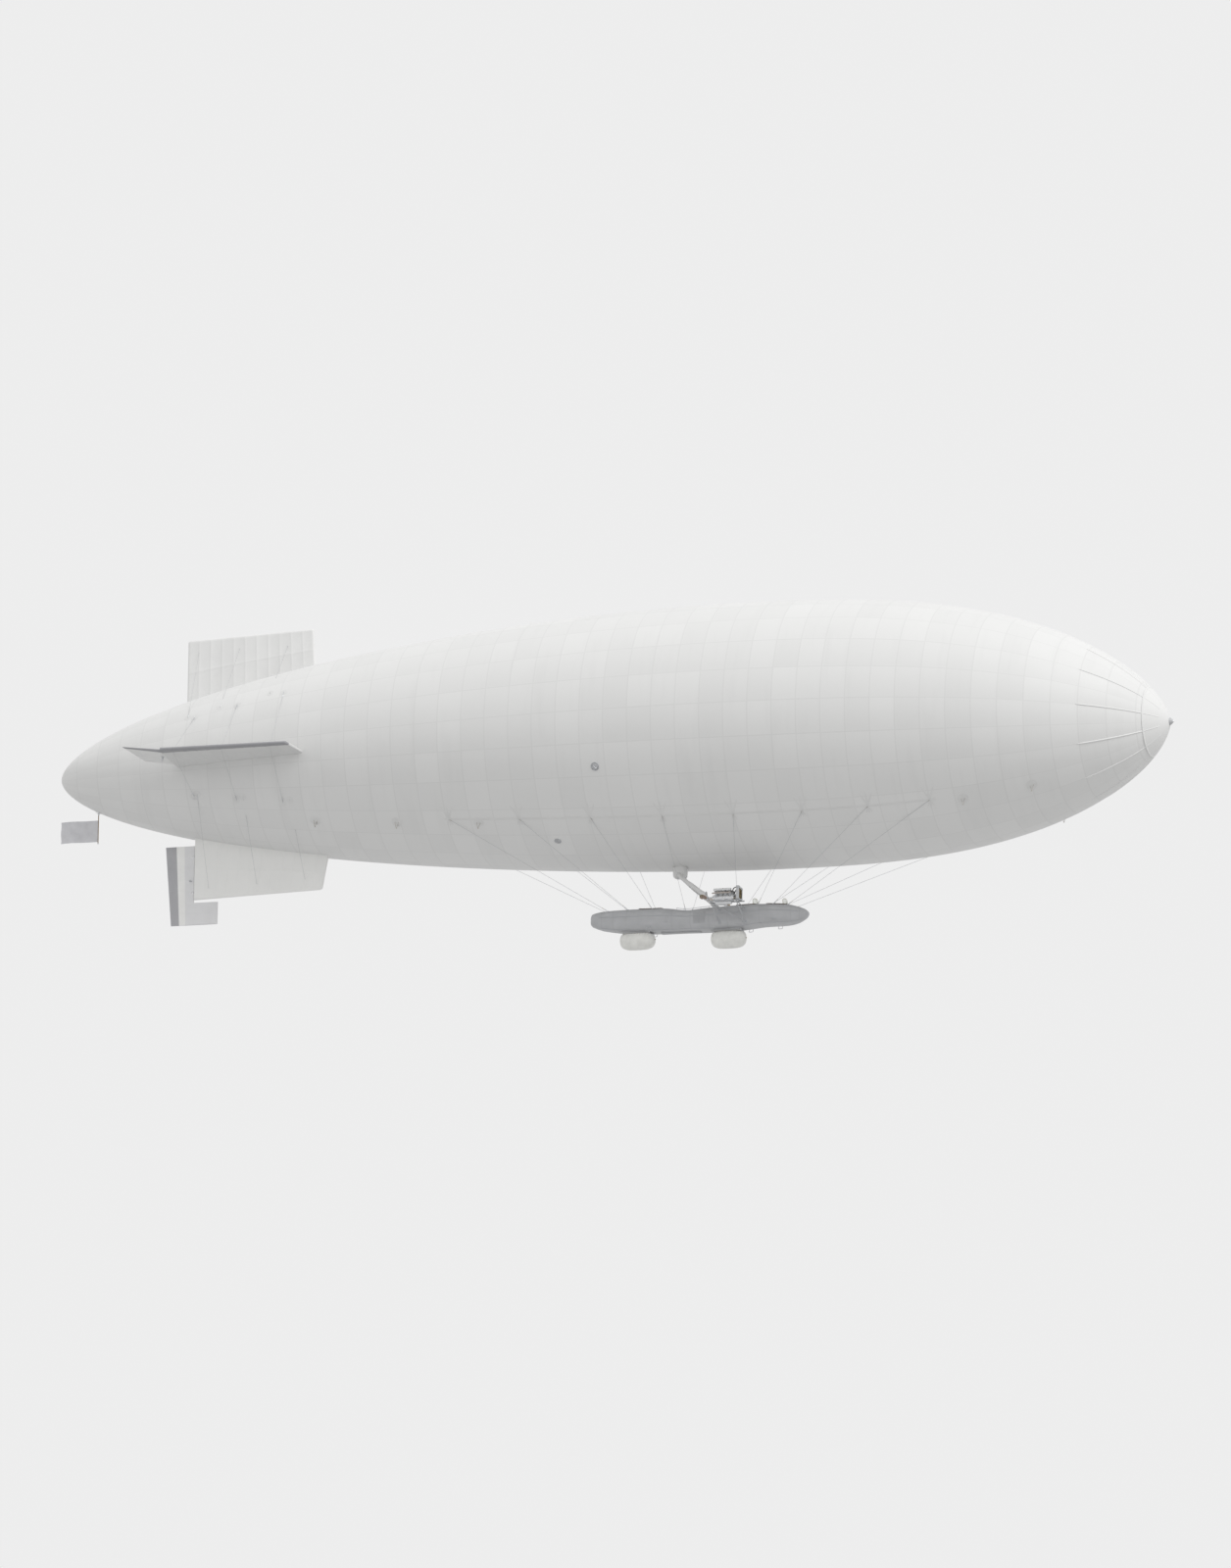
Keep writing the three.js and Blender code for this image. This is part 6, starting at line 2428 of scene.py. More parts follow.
    def louvre(self, form: Form, station: float, side: int) -> None:
        """Adds one pressed louvre on a flank.

        Args:
            form: The form that gets the faces.
            station: Metres aft of the nose, full size.
            side: +1 for port and -1 for starboard.
        """
        rings = []
        for turn in spread(-22, 22, 9):
            near = sin(pi * (turn + 22) / 44) ** 0.6
            rows = ((-0.02, -0.002), (0.02, -0.002), (0.02, 0.001), (-0.02, 0.001 + 0.008 * near))
            rings.append([car_point(station + along, turn, side, lift) for along, lift in rows])
        form.loft(rings)

    def hatch(self, form: Form, first: float, last: float, side: int) -> None:
        """Adds a hatch with round corners, screws, two hinges and a handle.

        Args:
            form: The form that gets the faces.
            first: Its first station, full size.
            last: Its last station.
            side: +1 for port and -1 for starboard.
        """
        outline = []
        for angle in angles(32, 0.5):
            outline.append(((first + last) / 2 + (last - first) / 2 * powered(cos(angle), 0.35),
                            18 * powered(sin(angle), 0.35)))
        rings = [
            [car_point(blend_value((first + last) / 2, s, share), t * share, side, lift)
             for s, t in outline]
            for share, lift in ((1.0, -0.002), (1.0, 0.002), (0.97, 0.003), (0.6, 0.003), (0.02, 0.003))]
        form.loft(rings)
        for s, t in outline[::2]:
            at = (blend_value((first + last) / 2, s, 0.93), t * 0.93)
            rivet(form, car_point(*at, side, 0.0025), car_normal(*at, side), 0.003, 1)
        middle = (first + last) / 2
        form.tube(smooth_line([tuple(car_point(middle + d, -9, side, lift)) for d, lift in (
            (-0.07, 0.0), (-0.06, 0.016), (0.06, 0.016), (0.07, 0.0))], 13), 0.004, 1, 8)
        for s in (first + 0.08, last - 0.08):
            form.tube(
                [car_point(s - 0.04, 18.5, side, 0.005), car_point(s + 0.04, 18.5, side, 0.005)], 0.005,
                1, 8)

    def step(self, form: Form, station: float, side: int) -> None:
        """Adds a stirrup below a cockpit.

        Args:
            form: The form that gets the faces.
            station: Metres aft of the nose, full size.
            side: +1 for port and -1 for starboard.
        """
        rows = (
            (-0.1, -30, 0.0), (-0.1, -38, 0.05), (-0.09, -52, 0.07), (0.09, -52, 0.07), (0.1, -38, 0.05),
            (0.1, -30, 0.0))
        path = [tuple(car_point(station + along, turn, side, lift)) for along, turn, lift in rows]
        form.tube(smooth_line(path, 31), 0.006, 1, 8)
        for along in (-0.1, 0.1):
            at = car_point(station + along, -30, side)
            form.turned(
                at, car_normal(station + along, -30, side),
                [(-0.003, 0.016), (0.003, 0.016), (0.005, 0.01)], 1, 12)

    def coamings(self) -> None:
        """Stuffed leather rolls round the cockpits, laced through the skin."""
        form = Form()
        for row in self.cockpits:
            path = self.rim(row, 96, 0.004)
            middle = sum(path, Vector()) / len(path)
            rings = []
            for i, p in enumerate(path):
                ahead = (path[(i + 1) % 96] - path[i - 1]).normalized()
                out = (p - middle)
                out = (out - ahead * out.dot(ahead)).normalized()
                up = ahead.cross(out).normalized()
                puff = 0.013 + 0.0012 * cos(2 * pi * i / 4)
                rings.append([p + (out * cos(a) + up * sin(a)) * puff for a in angles(14)])
            form.loft([*rings, rings[0]], 0, caps=False)
        sew(form)
        made = form.piece("coaming_rolls", [HIDE], slot="seat_leather", crease=180)
        cords = Form()
        for row in self.cockpits:
            path = self.rim(row, 96, 0.004)
            for i in range(0, 96, 4):
                ahead = (path[(i + 1) % 96] - path[i - 1]).normalized()
                cords.add(hoop(path[i], ahead, 0.0148, 0.0014, 12))
        cords.piece("coaming_lacing", [LACING], slot="seat_leather")


def evenly(path: Sequence[Vector], pitch: float) -> list[Vector]:
    """Points of a fine path that lie a pitch apart.

    Args:
        path: The path's points.
        pitch: Distance between the points kept.

    Returns:
        The points kept.
    """
    points, run = [], pitch
    for a, b in zip(path, path[1:]):
        run += (b - a).length
        if run >= pitch:
            points.append(b)
            run -= pitch
    return points


def rivet(form: Form, at: Vector, normal: Vector, radius: float, finish: int) -> None:
    """Adds a round-headed rivet.

    Args:
        form: The form that gets the faces.
        at: Its foot.
        normal: Which way it stands.
        radius: Its head's radius.
        finish: Number of its finish.
    """
    form.turned(
        at, normal, [(-0.001, radius), (0.4 * radius, 0.85 * radius), (0.65 * radius, 0.35 * radius)],
        finish, 6)


@dataclass
class Seat:
    """Bench with a back, and its two buttoned cushions. Station, widths and heights are full size."""

    name: str
    station: float
    half_wide: float
    depth: float = 0.42
    high: float = 0.4
    back_high: float = 0.82
    cushion: float = 0.06
    board: float = 0.012

    def build(self) -> None:
        """Builds frame, cushions and piping."""
        back, wide = at_x(self.station), self.half_wide * SCALE
        front = back + self.depth * SCALE
        foot, top = at_z(FLOOR_TOP), at_z(FLOOR_TOP) + self.high * SCALE
        head = foot + self.back_high * SCALE
        deck = top - self.cushion
        rear = back + self.board
        form = Form()
        form.block((back + 0.001, -wide, foot + 0.0005), (rear, wide, head - 0.012), 0, 0.003)
        form.tube(
            [(back + 0.006, -wide + 0.005, head - 0.01), (back + 0.006, wide - 0.005, head - 0.01)],
            0.0075, 0, 12)
        form.block((rear, -wide, deck - self.board), (front - 0.001, wide, deck), 0, 0.003)
        form.block(
            (front - 0.014, -wide, foot + 0.0005), (front - 0.002, wide, deck - self.board), 0, 0.003)
        for side in (1, -1):
            y = side * (wide - self.board / 2)
            form.block((rear, y - self.board / 2, foot + 0.0005), (front - 0.014, y + self.board / 2,
                                                                  deck - self.board), 0, 0.003)
            for up in (0.3, 0.7):
                at = Vector((front - 0.002, side * (wide - 0.02), blend_value(foot, deck, up)))
                rivet(form, at, Vector((1, 0, 0)), 0.004, 1)
        form.piece(f"{self.name}_frame", [SPRUCE, BRASS], slot="seat_leather", replaces=[self.name])
        self.pad(
            f"{self.name}_squab", (rear + 0.002, -wide + 0.006, deck),
            (front - 0.003, wide - 0.006, top - 0.008), 2)
        self.pad(f"{self.name}_back_pad", (rear, -wide + 0.006, top + 0.006),
                 (rear + 0.026, wide - 0.006, head - 0.022), 0)

    def pad(self, name: str, low: Point, high: Point, thin: int) -> None:
        """One buttoned cushion, filled by simulation, resting on its low side.

        Args:
            name: The piece's name.
            low: Lowest corner.
            high: Highest corner.
            thin: Number of the axis it is thin along.
        """
        a, b = Vector(low), Vector(high)
        form = rounded_box(a, b, min(0.012, 0.4 * (b[thin] - a[thin])), 0.01)
        made = form.piece(name, [HIDE], slot="seat_leather", crease=180)
        held = [i for i, p in enumerate(form.points) if p[thin] < a[thin] + 0.002]
        simulate(made, held, 3.0, 0.01, 0.007)
        across = 2 - thin
        rows, columns = spread(a[across], b[across], 4)[1:-1], spread(a.y, b.y, 6)[1:-1]
        for v in made.data.vertices:
            face = (v.co[thin] - a[thin]) / (b[thin] - a[thin])
            if face > 0.5:
                dips = [math.hypot(v.co[across] - u, v.co.y - w) for u in rows for w in columns]
                v.co[thin] -= 0.009 * math.exp(-(min(dips) / 0.016) ** 2)
        smoothed(made)
        trim = Form()
        skin = Skin(made)
        way = Vector((0, 0, 0))
        way[thin] = -1
        for u in rows:
            for w in columns:
                start = Vector((0, w, 0))
                start[across], start[thin] = u, b[thin] + 0.1
                at = skin.towards(start, way)
                trim.ball(at, (0.005, 0.005, 0.005), 0, 10, 6)
        seam = []
        middle = (a + b) / 2
        for angle in angles(72):
            p = middle.copy()
            p[across] += powered(cos(angle), 0.3) * (b[across] - a[across]) / 2
            p.y += powered(sin(angle), 0.3) * (b.y - a.y) / 2
            p[thin] = blend_value(a[thin], b[thin], 0.72)
            inner = Vector(middle)
            inner[thin] = p[thin]
            seam.append(skin.towards(p + (p - inner), inner - p, 0.0005))
        trim.tube([*seam, seam[0]], 0.0028, 0, 7)
        trim.piece(f"{name}_piping", [HIDE], slot="seat_leather")


@dataclass
class Cockpits:
    """Instrument panel, control wheels, windscreens and gratings.

    Stations, heights and distances out are full size.
    """

    panel_station: float = 20.42
    panel_thick: float = 0.01
    dials: tuple[tuple[float, float, float], ...] = (
        (0.0, -8.862, 0.032), (0.17, -8.87, 0.026), (-0.17, -8.87, 0.026), (0.32, -8.9, 0.02),
        (-0.32, -8.9, 0.02), (0.09, -8.955, 0.014), (-0.09, -8.955, 0.014))
    screens: tuple[tuple[str, float, float], ...] = (("forward", 20.3, 0.42), ("middle", 21.88, 0.46))
    screen_head: float = 0.34
    screen_bend: float = 1.5
    screen_rake: float = 0.35
    screen_thick: float = 0.006

    def build(self) -> None:
        """Builds everything in the cockpits but the seats."""
        finish_node("instrument_panel", WALNUT)
        finish_node("car_floor", SPRUCE)
        finish_node("keel_skid", CAR_ENAMEL)
        self.instruments()
        self.gratings()
        self.wheel(
            "rudder_wheel", (20.72, 0.0, -9.2), 0.085, Matrix.Rotation(pi / 2, 4, "Y"), (0.012, 0),
            (0.04, 0))
        self.wheel(
            "elevator_wheel", (20.95, 0.44, -9.22), 0.075, Matrix.Rotation(pi / 2, 4, "X"), (0, 0.012),
            (0, 0.012))
        for name, station, half in self.screens:
            self.screen(name, station, half)

    def instruments(self) -> None:
        """Dials with bezels, marks and hands, and a row of switches."""
        form = Form()
        face = at_x(self.panel_station) - self.panel_thick
        aft = Vector((-1, 0, 0))
        for out, height, radius in self.dials:
            at = Vector((face, out * SCALE, at_z(height)))
            form.turned(at, aft, [(-0.002, radius * 1.2), (0.006, radius * 1.2), (0.009, radius * 1.1),
                                  (0.009, radius), (0.004, radius * 0.98)], 0, 32)
            form.turned(at, aft, [(0.001, radius * 0.99), (0.005, radius * 0.99)], 1, 32)
            for k in range(10):
                angle = radians(-135 + 30 * k)
                way = Vector((0, sin(angle), cos(angle)))
                form.tube([at + aft * 0.0055 + way * radius * 0.72, at + aft * 0.0055 + way * radius * 0.9],
                          radius * 0.03, 2, 4)
            angle = radians(150 * sin(9 * out + 1))
            way = Vector((0, sin(angle), cos(angle)))
            form.tube([at + aft * 0.0065 - way * radius * 0.2, at + aft * 0.0065 + way * radius * 0.78],
                      [radius * 0.05, radius * 0.02], 2, 5)
            form.turned(at, aft, [(0.004, radius * 0.1), (0.008, radius * 0.08)], 0, 10)
        for k in range(6):
            at = Vector((face, (k - 2.5) * 0.022, at_z(-9.003)))
            form.turned(at, aft, [(-0.001, 0.006), (0.004, 0.006), (0.005, 0.0025), (0.016, 0.0032)], 0, 10)
        form.piece("panel_instruments", [BRASS, DIAL, STOVE_ENAMEL], slot="varnished_wood")

    def gratings(self) -> None:
        """Slatted gratings on the floor of each cockpit."""
        form = Form()
        top = at_z(FLOOR_TOP)
        for first, last in ((20.55, 20.94), (22.0, 22.54), (27.05, 27.76)):
            x0, x1 = at_x(last), at_x(first)
            for side in (-0.16, 0.0, 0.16):
                form.block((x0, side - 0.008, top + 0.0005), (x1, side + 0.008, top + 0.0065), 0, 0.001)
            count = round((x1 - x0) / 0.022)
            for k in range(count):
                x = x0 + (x1 - x0) * (k + 0.5) / count
                form.block((x - 0.007, -0.18, top + 0.006), (x + 0.007, 0.18, top + 0.012), 0, 0.001)
        form.piece("cockpit_gratings", [SPRUCE], slot="varnished_wood")

    def wheel(self, name: str, at: Point, radius: float, turn: Matrix, head: Point, foot: Point) -> None:
        """A control wheel on its column.

        Args:
            name: The node it stands for.
            at: Station, distance out and height of its hub.
            radius: Of the rim, in model metres.
            turn: Turns a wheel drawn facing up to the way it faces.
            head: Place of the column's head ahead of the hub and outboard of it.
            foot: The same of its foot.
        """
        hub = place(*at)
        drawn = Form()
        drawn.add(hoop(Vector(), Vector((0, 0, 1)), radius, 0.0068, 48), None, 0)
        for k in range(8):
            way = Vector((cos(pi * k / 4), sin(pi * k / 4), 0))
            drawn.tube([way * 0.012, way * radius], [0.0055, 0.0038], 0, 10)
            drawn.tube(
                [way * radius, way * (radius + 0.012), way * (radius + 0.024)], [0.004, 0.0065, 0.0045],
                0, 10)
        drawn.turned(
            (0, 0, -0.013), (0, 0, 1), [(0, 0.015), (0.004, 0.018), (0.022, 0.018), (0.026, 0.014)], 1, 20
        )
        form = Form().add(drawn, Matrix.Translation(hub) @ turn)
        floor = at_z(FLOOR_TOP)
        top = Vector((hub.x + head[0], hub.y + head[1], hub.z + 0.006))
        low = Vector((hub.x + foot[0], hub.y + foot[1], floor + 0.001))
        form.tube([low, low.lerp(top, 0.1), top], [0.0105, 0.0088, 0.008], 2, 16)
        form.turned(low, (0, 0, 1), [(0, 0.03), (0.006, 0.03), (0.009, 0.016), (0.02, 0.012)], 2, 24)
        for angle in angles(4, 0.5):
            rivet(form, low + Vector((0.023 * cos(angle), 0.023 * sin(angle), 0.006)), Vector((0, 0, 1)),
                  0.0035, 1)
        form.piece(f"{name}_fitted", [WALNUT, BRASS, TUBE_ENAMEL], slot="varnished_wood", replaces=[name])

    def screen(self, name: str, station: float, half: float) -> None:
        """A bent sheet in a brass frame, with two stays.

        Args:
            name: forward or middle.
            station: Station of its foot, full size.
            half: Its half width, full size.
        """
        radius = half * SCALE * self.screen_bend
        reach = math.asin(1 / self.screen_bend)
        top = car_section(station)[1]
        foot, long, count = at_z(top - 0.34), 0.4, 41
        ahead = at_x(station) + 0.06
        rake = Matrix.Translation((ahead, 0, foot)) @ Matrix.Rotation(-self.screen_rake, 4, "Y")
        limit = at_z(top + self.screen_head)
        sheet, edge = [], {"head": [], "foot": []}
        for angle in spread(-reach, reach, count):
            base = rake @ Vector((radius * cos(angle) - radius, radius * sin(angle), 0))
            tip = rake @ Vector((radius * cos(angle) - radius, radius * sin(angle), long))
            up = (tip - base).normalized()
            shoulder = powered(1 - abs(angle / reach) ** 4, 0.5)
            high = base + up * ((blend_value(at_z(top) + 0.06, limit, shoulder) - 0.008 - base.z) / up.z)
            low = base.copy()
            for _ in range(60):
                if low.z < car_top_height(low.x, low.y):
                    low += up * 0.004
            inward = Vector((-cos(angle), -sin(angle), 0)) * self.screen_thick * 0.5
            sheet.append([low - inward * 0.4, high - inward * 0.4, high + inward * 0.4, low + inward * 0.4])
            edge["head"].append(high)
            edge["foot"].append(low)
        form = Form().loft(sheet, 0)
        ring = [*edge["head"], *reversed(edge["foot"])]
        form.tube([*ring, ring[0]], 0.0045, 1, 8)
        for i in (count // 3, 2 * count // 3):
            form.tube([edge["foot"][i], edge["head"][i]], 0.003, 1, 8)
        for i in (0, count - 1):
            head = edge["foot"][i].lerp(edge["head"][i], 0.9)
            side = 1 if head.y > 0 else -1
            step = car_point(station + 0.2, 58, side, 0.001)
            form.tube([head, step], 0.0035, 1, 8)
        form.piece(f"{name}_windscreen_framed", [SCREEN, BRASS], slot="screen_glass",
                   replaces=[f"{name}_windscreen"])


def car_top_height(x: float, y: float) -> float:
    """Height of the car's upper skin in the model, at a model x and y."""
    return car_top(
        LIFT_STATION - x / SCALE, min(abs(y) / SCALE, car_section(LIFT_STATION - x / SCALE)[0])).z


@dataclass
class Outrigger:
    """Tubes that carry an engine off the car, full size but for their radii."""

    name: str
    side: int
    inner: float = 2.11
    outer: float = 2.49
    foot: float = -9.7
    frames: tuple[float, float] = (22.46, 23.83)
    bed_ends: tuple[float, float] = (22.1, 23.85)

    def rows(self) -> list[tuple[Point, Point, float]]:
        """The tubes.

        Returns:
            Rows of both ends, each as station, distance out and height, and a radius in model metres.
        """
        bed, root, low = BED_HEIGHT, 0.6, 0.5
        fore, aft = self.frames
        rows = [
            ((self.bed_ends[0], y, bed), (self.bed_ends[1], y, bed), BED_TUBE)
            for y in (self.inner, self.outer)]
        for station in self.frames:
            rows.append(((station, root, bed), (station, self.outer, bed), 0.014))
            rows.append(((station, low, self.foot), (station, self.outer, bed), 0.013))
        rows.append(((fore, root, bed), (aft, self.inner, bed), 0.011))
        rows.append(((fore, low, self.foot), (aft, self.inner, bed), 0.011))
        return rows

    def build(self) -> None:
        """Builds tubes, sleeves at their joints and plates on the car."""
        form = Form()
        for start, end, radius in self.rows():
            a, b = place(*start, self.side), place(*end, self.side)
            along = (b - a).normalized()
            form.tube([a, b], radius, 0, 20)
            for point, way in ((a, along), (b, -along)):
                if start[1] > 1:
                    form.turned(point - way * 0.004, way, [(0, radius * 0.7), (0.004, radius * 1.12),
                                                          (0.02, radius * 1.12), (0.022, radius)], 0, 20)
                else:
                    form.turned(
                        point, way, [(0, radius * 1.28), (0.055, radius * 1.28), (0.062, radius)], 0, 20)
        for station in self.frames:
            for height in (BED_HEIGHT, self.foot):
                self.plate(form, station, height)
            for y in (self.inner, self.outer):
                at = place(station, y, BED_HEIGHT, self.side)
                form.ball(at, (0.024, 0.024, 0.022), 0, 16, 10)
        form.piece(f"{self.name}_outrigger_tubes", [TUBE_ENAMEL, STEEL], slot="steel_tube",
                   replaces=[f"{self.name}_outrigger"])

    def plate(self, form: Form, station: float, height: float) -> None:
        """Adds the bolted plate where a tube meets the car's side.

        Args:
            form: The form that gets the faces.
            station: Metres aft of the nose, full size.
            height: Metres over the nose-to-stern line.
        """
        degrees = side_degrees(station, height)
        at, normal = car_point(station, degrees, self.side), car_normal(station, degrees, self.side)
        form.turned(at - normal * 0.004, normal, [(0, 0.046), (0.008, 0.046), (0.01, 0.042), (0.012, 0.026),
                                                  (0.03, 0.02)], 0, 24)
        across = normal.orthogonal().normalized()
        other = normal.cross(across)
        for angle in angles(6):
            rivet(form, at + normal * 0.004 + (across * cos(angle) + other * sin(angle)) * 0.036, normal,
                  0.005, 1)


def side_degrees(station: float, height: float) -> float:
    """Angle on the car's skin at a full-size height.

    Args:
        station: Metres aft of the nose, full size.
        height: Metres over the nose-to-stern line.

    Returns:
        Degrees up from the car's widest line.
    """
    _, top, bottom = car_section(station)
    share = (height - (top + bottom) / 2) / ((top - bottom) / 2)
    share = min(max(share, -0.999), 0.999)
    return math.degrees(math.asin(powered(share, 1 / CAR_SQUARENESS)))


@dataclass
class Engine:
    """Water-cooled V-eight on bearers, in model metres along its shaft from the propeller."""

    name: str
    side: int
    front: float = 0.75
    back: float = 0.19
    bank_tilt: float = 45.0
    cylinders: int = 4
    first: float = 0.088
    pitch: float = 0.122
    radiator: float = 0.838

    def build(self) -> None:
        """Builds the engine of one side."""
        form = Form()
        self.crankcase(form)
        self.ends(form)
        for bank in (1, -1):
            form.add(self.bank(bank), Matrix.Rotation(radians(-bank * self.bank_tilt), 4, "X"))
        self.induction(form)
        self.water_hoses(form)
        where = Matrix.Translation(place(PROPELLER_STATION, ENGINE_SIDE, SHAFT_HEIGHT, self.side))
        placed = Form().add(form, where)
        placed.piece(f"{self.name}_engine_parts", [ALUMINIUM, STOVE_ENAMEL, STEEL, HOT_STEEL, BRASS, RUBBER],
                     slot="engine_metal", replaces=[f"{self.name}_engine"])

    def crankcase(self, form: Form) -> None:
        """Adds the ribbed crankcase, its bolted flange, the finned sump and the bearer feet.

        Args:
            form: The form that gets the faces.
        """
        f, b = self.front, self.back
        rings = []
        for x in spread(b, f, 29):
            near = min((x - b) / 0.02, (f - x) / 0.02, 1)
            swell = 0.9 + 0.1 * math.sqrt(max(1 - (1 - near) ** 2, 0))
            web = 0.003 if abs((x - b) / 0.08 - round((x - b) / 0.08)) < 0.13 else 0.0
            outline = (
                (-0.076, -0.06), (-0.08, 0.0), (-0.066, 0.035), (-0.03, 0.06), (0.03, 0.06),
                (0.066, 0.035), (0.08, 0.0), (0.076, -0.06), (0.05, -0.094), (-0.05, -0.094))
            rings.append([(x, y * swell + math.copysign(web, y), z * swell - web * (z < -0.09))
                          for y, z in outline])
        form.loft(rings, 0)
        form.block((b + 0.004, -0.096, -0.012), (f - 0.004, 0.096, 0.0), 0, 0.003)
        for x in spread(b + 0.03, f - 0.03, 12):
            for y in (-0.088, 0.088):
                form.turned(
                    (x, y, -0.016), (0, 0, 1),
                    [(0, 0.0065), (0.004, 0.0065), (0.004, 0.008), (0.022, 0.008), (0.024, 0.004)], 2, 6)
        form.block((b + 0.06, -0.056, -0.184), (f - 0.06, 0.056, -0.09), 0, 0.012)
        for x in spread(b + 0.09, f - 0.09, 16):
            form.block((x - 0.002, -0.062, -0.19), (x + 0.002, 0.062, -0.1), 0, 0.001)
        bed = at_z(BED_HEIGHT) + BED_TOP - at_z(SHAFT_HEIGHT)
        for x0 in (b + 0.03, b + 0.24, f - 0.13):
            form.block((x0, -0.112, bed), (x0 + 0.1, 0.112, bed + 0.024), 0, 0.004)
            for side in (1, -1):
                for x in (x0 + 0.025, x0 + 0.075):
                    form.turned(
                        (x, side * 0.1, bed + 0.02), (0, 0, 1),
                        [(0, 0.011), (0.012, 0.011), (0.013, 0.006), (0.02, 0.006)], 2, 6)
        form.turned(
            (f - 0.2, 0.058, -0.14), (0, 1, 0),
            [(-0.004, 0.012), (0.01, 0.012), (0.012, 0.008), (0.02, 0.008)], 4, 8)

    def ends(self, form: Form) -> None:
        """Adds shaft, nose bearing, magnetos with their leads, and the water pump.

        Args:
            form: The form that gets the faces.
        """
        f, b = self.front, self.back
        form.turned((0.038, 0, 0), (1, 0, 0), [(0, 0.0195), (b, 0.0195)], 2, 24)
        form.turned((b + 0.002, 0, 0), (-1, 0, 0), [(0, 0.05), (0.008, 0.05), (0.01, 0.044), (0.03, 0.034),
                                                    (0.032, 0.026), (0.033, 0.02)], 0, 32)
        for angle in angles(8):
            form.turned(
                (b, 0.044 * cos(angle), 0.044 * sin(angle)), (-1, 0, 0), [(0, 0.005), (0.013, 0.005)], 2,
                6)
        for y in (-0.048, 0.048):
            form.turned(
                (f - 0.002, y, 0.03), (1, 0, 0),
                [(0, 0.026), (0.03, 0.026), (0.033, 0.02), (0.046, 0.019), (0.048, 0.012)], 1, 20)
            for k in range(4):
                angle = pi * (0.2 + 0.2 * k)
                x, bank = f - self.first - k * self.pitch, math.copysign(1, y)
                tip = (f + 0.034, y + 0.014 * cos(angle), 0.03 + 0.014 * sin(angle))
                rise = (f + 0.03, y * 1.2, 0.075 + 0.008 * k)
                high = 0.2 + 0.005 * k
                along = ((f - 0.02, 0.055, high), (x + 0.05, 0.058, high), (x + 0.031, 0.044, 0.213))
                route = [tip, rise, *(tuple(self.on_bank(bank, at)) for at in along)]
                form.tube(smooth_line(route, 29), 0.0028, 5, 6)
        form.turned(
            (f - 0.004, 0, -0.06), (1, 0, 0), [(0, 0.03), (0.02, 0.03), (0.024, 0.024), (0.036, 0.012)],
            4, 20)
        form.tube(smooth_line([(f + 0.014, 0.02, -0.06), (f + 0.03, 0.06, -0.04), (f - 0.01, 0.11, 0.04),
                               (f - 0.05, 0.125, 0.09)], 15), 0.011, 4, 12)

    def on_bank(self, bank: float, at: Point) -> Vector:
        """Point given on an upright bank, once the bank is tilted.

        Args:
            bank: +1 or -1, for the side that it leans to.
            at: Its place along X, outward and up.

        Returns:
            The point.
        """
        upright = Vector((at[0], bank * at[1], at[2]))
        return Matrix.Rotation(radians(-bank * self.bank_tilt), 3, "X") @ upright

    def water_hoses(self, form: Form) -> None:
        """Adds hoses from the radiator's header to both banks, and from its foot to the pump.

        Args:
            form: The form that gets the faces.
        """
        f = self.front
        for bank in (1, -1):
            jacket = self.on_bank(bank, (f - 0.05, 0, 0.15))
            route = [(self.radiator, bank * 0.09, 0.225), (self.radiator - 0.03, bank * 0.09, 0.224),
                     (f + 0.01, bank * 0.1, 0.19), (f - 0.02, jacket.y, jacket.z + 0.01), tuple(jacket)]
            form.tube(smooth_line(route, 21), 0.014, 5, 12)
            form.turned(
                (self.radiator, bank * 0.09, 0.225), (-1, 0, 0),
                [(0, 0.017), (0.02, 0.017), (0.022, 0.0145)], 4, 16)
        form.tube([(self.radiator + 0.008, 0.0, -0.06), (f + 0.03, 0, -0.06)], 0.014, 5, 12)
        form.turned(
            (self.radiator + 0.008, 0, -0.06), (-1, 0, 0), [(0, 0.017), (0.02, 0.017), (0.022, 0.0145)],
            4, 16)

    def bank(self, bank: int) -> Form:
        """One upright bank: cylinders in water jackets, cam cover, plugs, ports and exhaust.

        Args:
            bank: +1 or -1, for the side that it leans to.

        Returns:
            The bank.
        """
        form = Form()
        f, b = self.front, self.back
        for i in range(self.cylinders):
            x = f - self.first - i * self.pitch
            form.turned(
                (x, 0, 0.05), (0, 0, 1),
                [(0, 0.05), (0.008, 0.05), (0.009, 0.038), (0.026, 0.038), (0.03, 0.0435), (0.06, 0.0435),
                 (0.064, 0.041), (0.11, 0.041), (0.114, 0.0435), (0.16, 0.0435), (0.168, 0.04),
                 (0.174, 0.034), (0.18, 0.03)], 1, 28)
            for angle in angles(6, 0.5):
                form.turned((x + 0.045 * cos(angle), 0.045 * sin(angle), 0.056), (0, 0, 1),
                            [(0, 0.0055), (0.008, 0.0055)], 2, 6)
            port = [(x, bank * 0.03, 0.2), (x, bank * 0.07, 0.198), (x, bank * 0.092, 0.19)]
            form.tube(smooth_line(port, 7), 0.0135, 3, 12)
            form.turned((x, bank * 0.04, 0.199), (0, bank, 0), [(0, 0.02), (0.006, 0.02)], 2, 4)
            form.tube([(x, -bank * 0.03, 0.206), (x, -bank * 0.075, 0.2)], 0.013, 0, 12)
            form.turned(
                (x + 0.03, bank * 0.03, 0.205), (0, bank, 0.5),
                [(0, 0.006), (0.008, 0.006), (0.01, 0.004), (0.026, 0.0035)], 4, 8)
        for i in range(self.cylinders - 1):
            x = f - self.first - (i + 0.5) * self.pitch
            form.tube([(x - 0.03, 0, 0.16), (x + 0.03, 0, 0.16)], 0.01, 4, 10)
        rings = []
        for x, share in ((b + 0.05, 0.75), (b + 0.056, 1), (f - 0.042, 1), (f - 0.036, 0.75)):
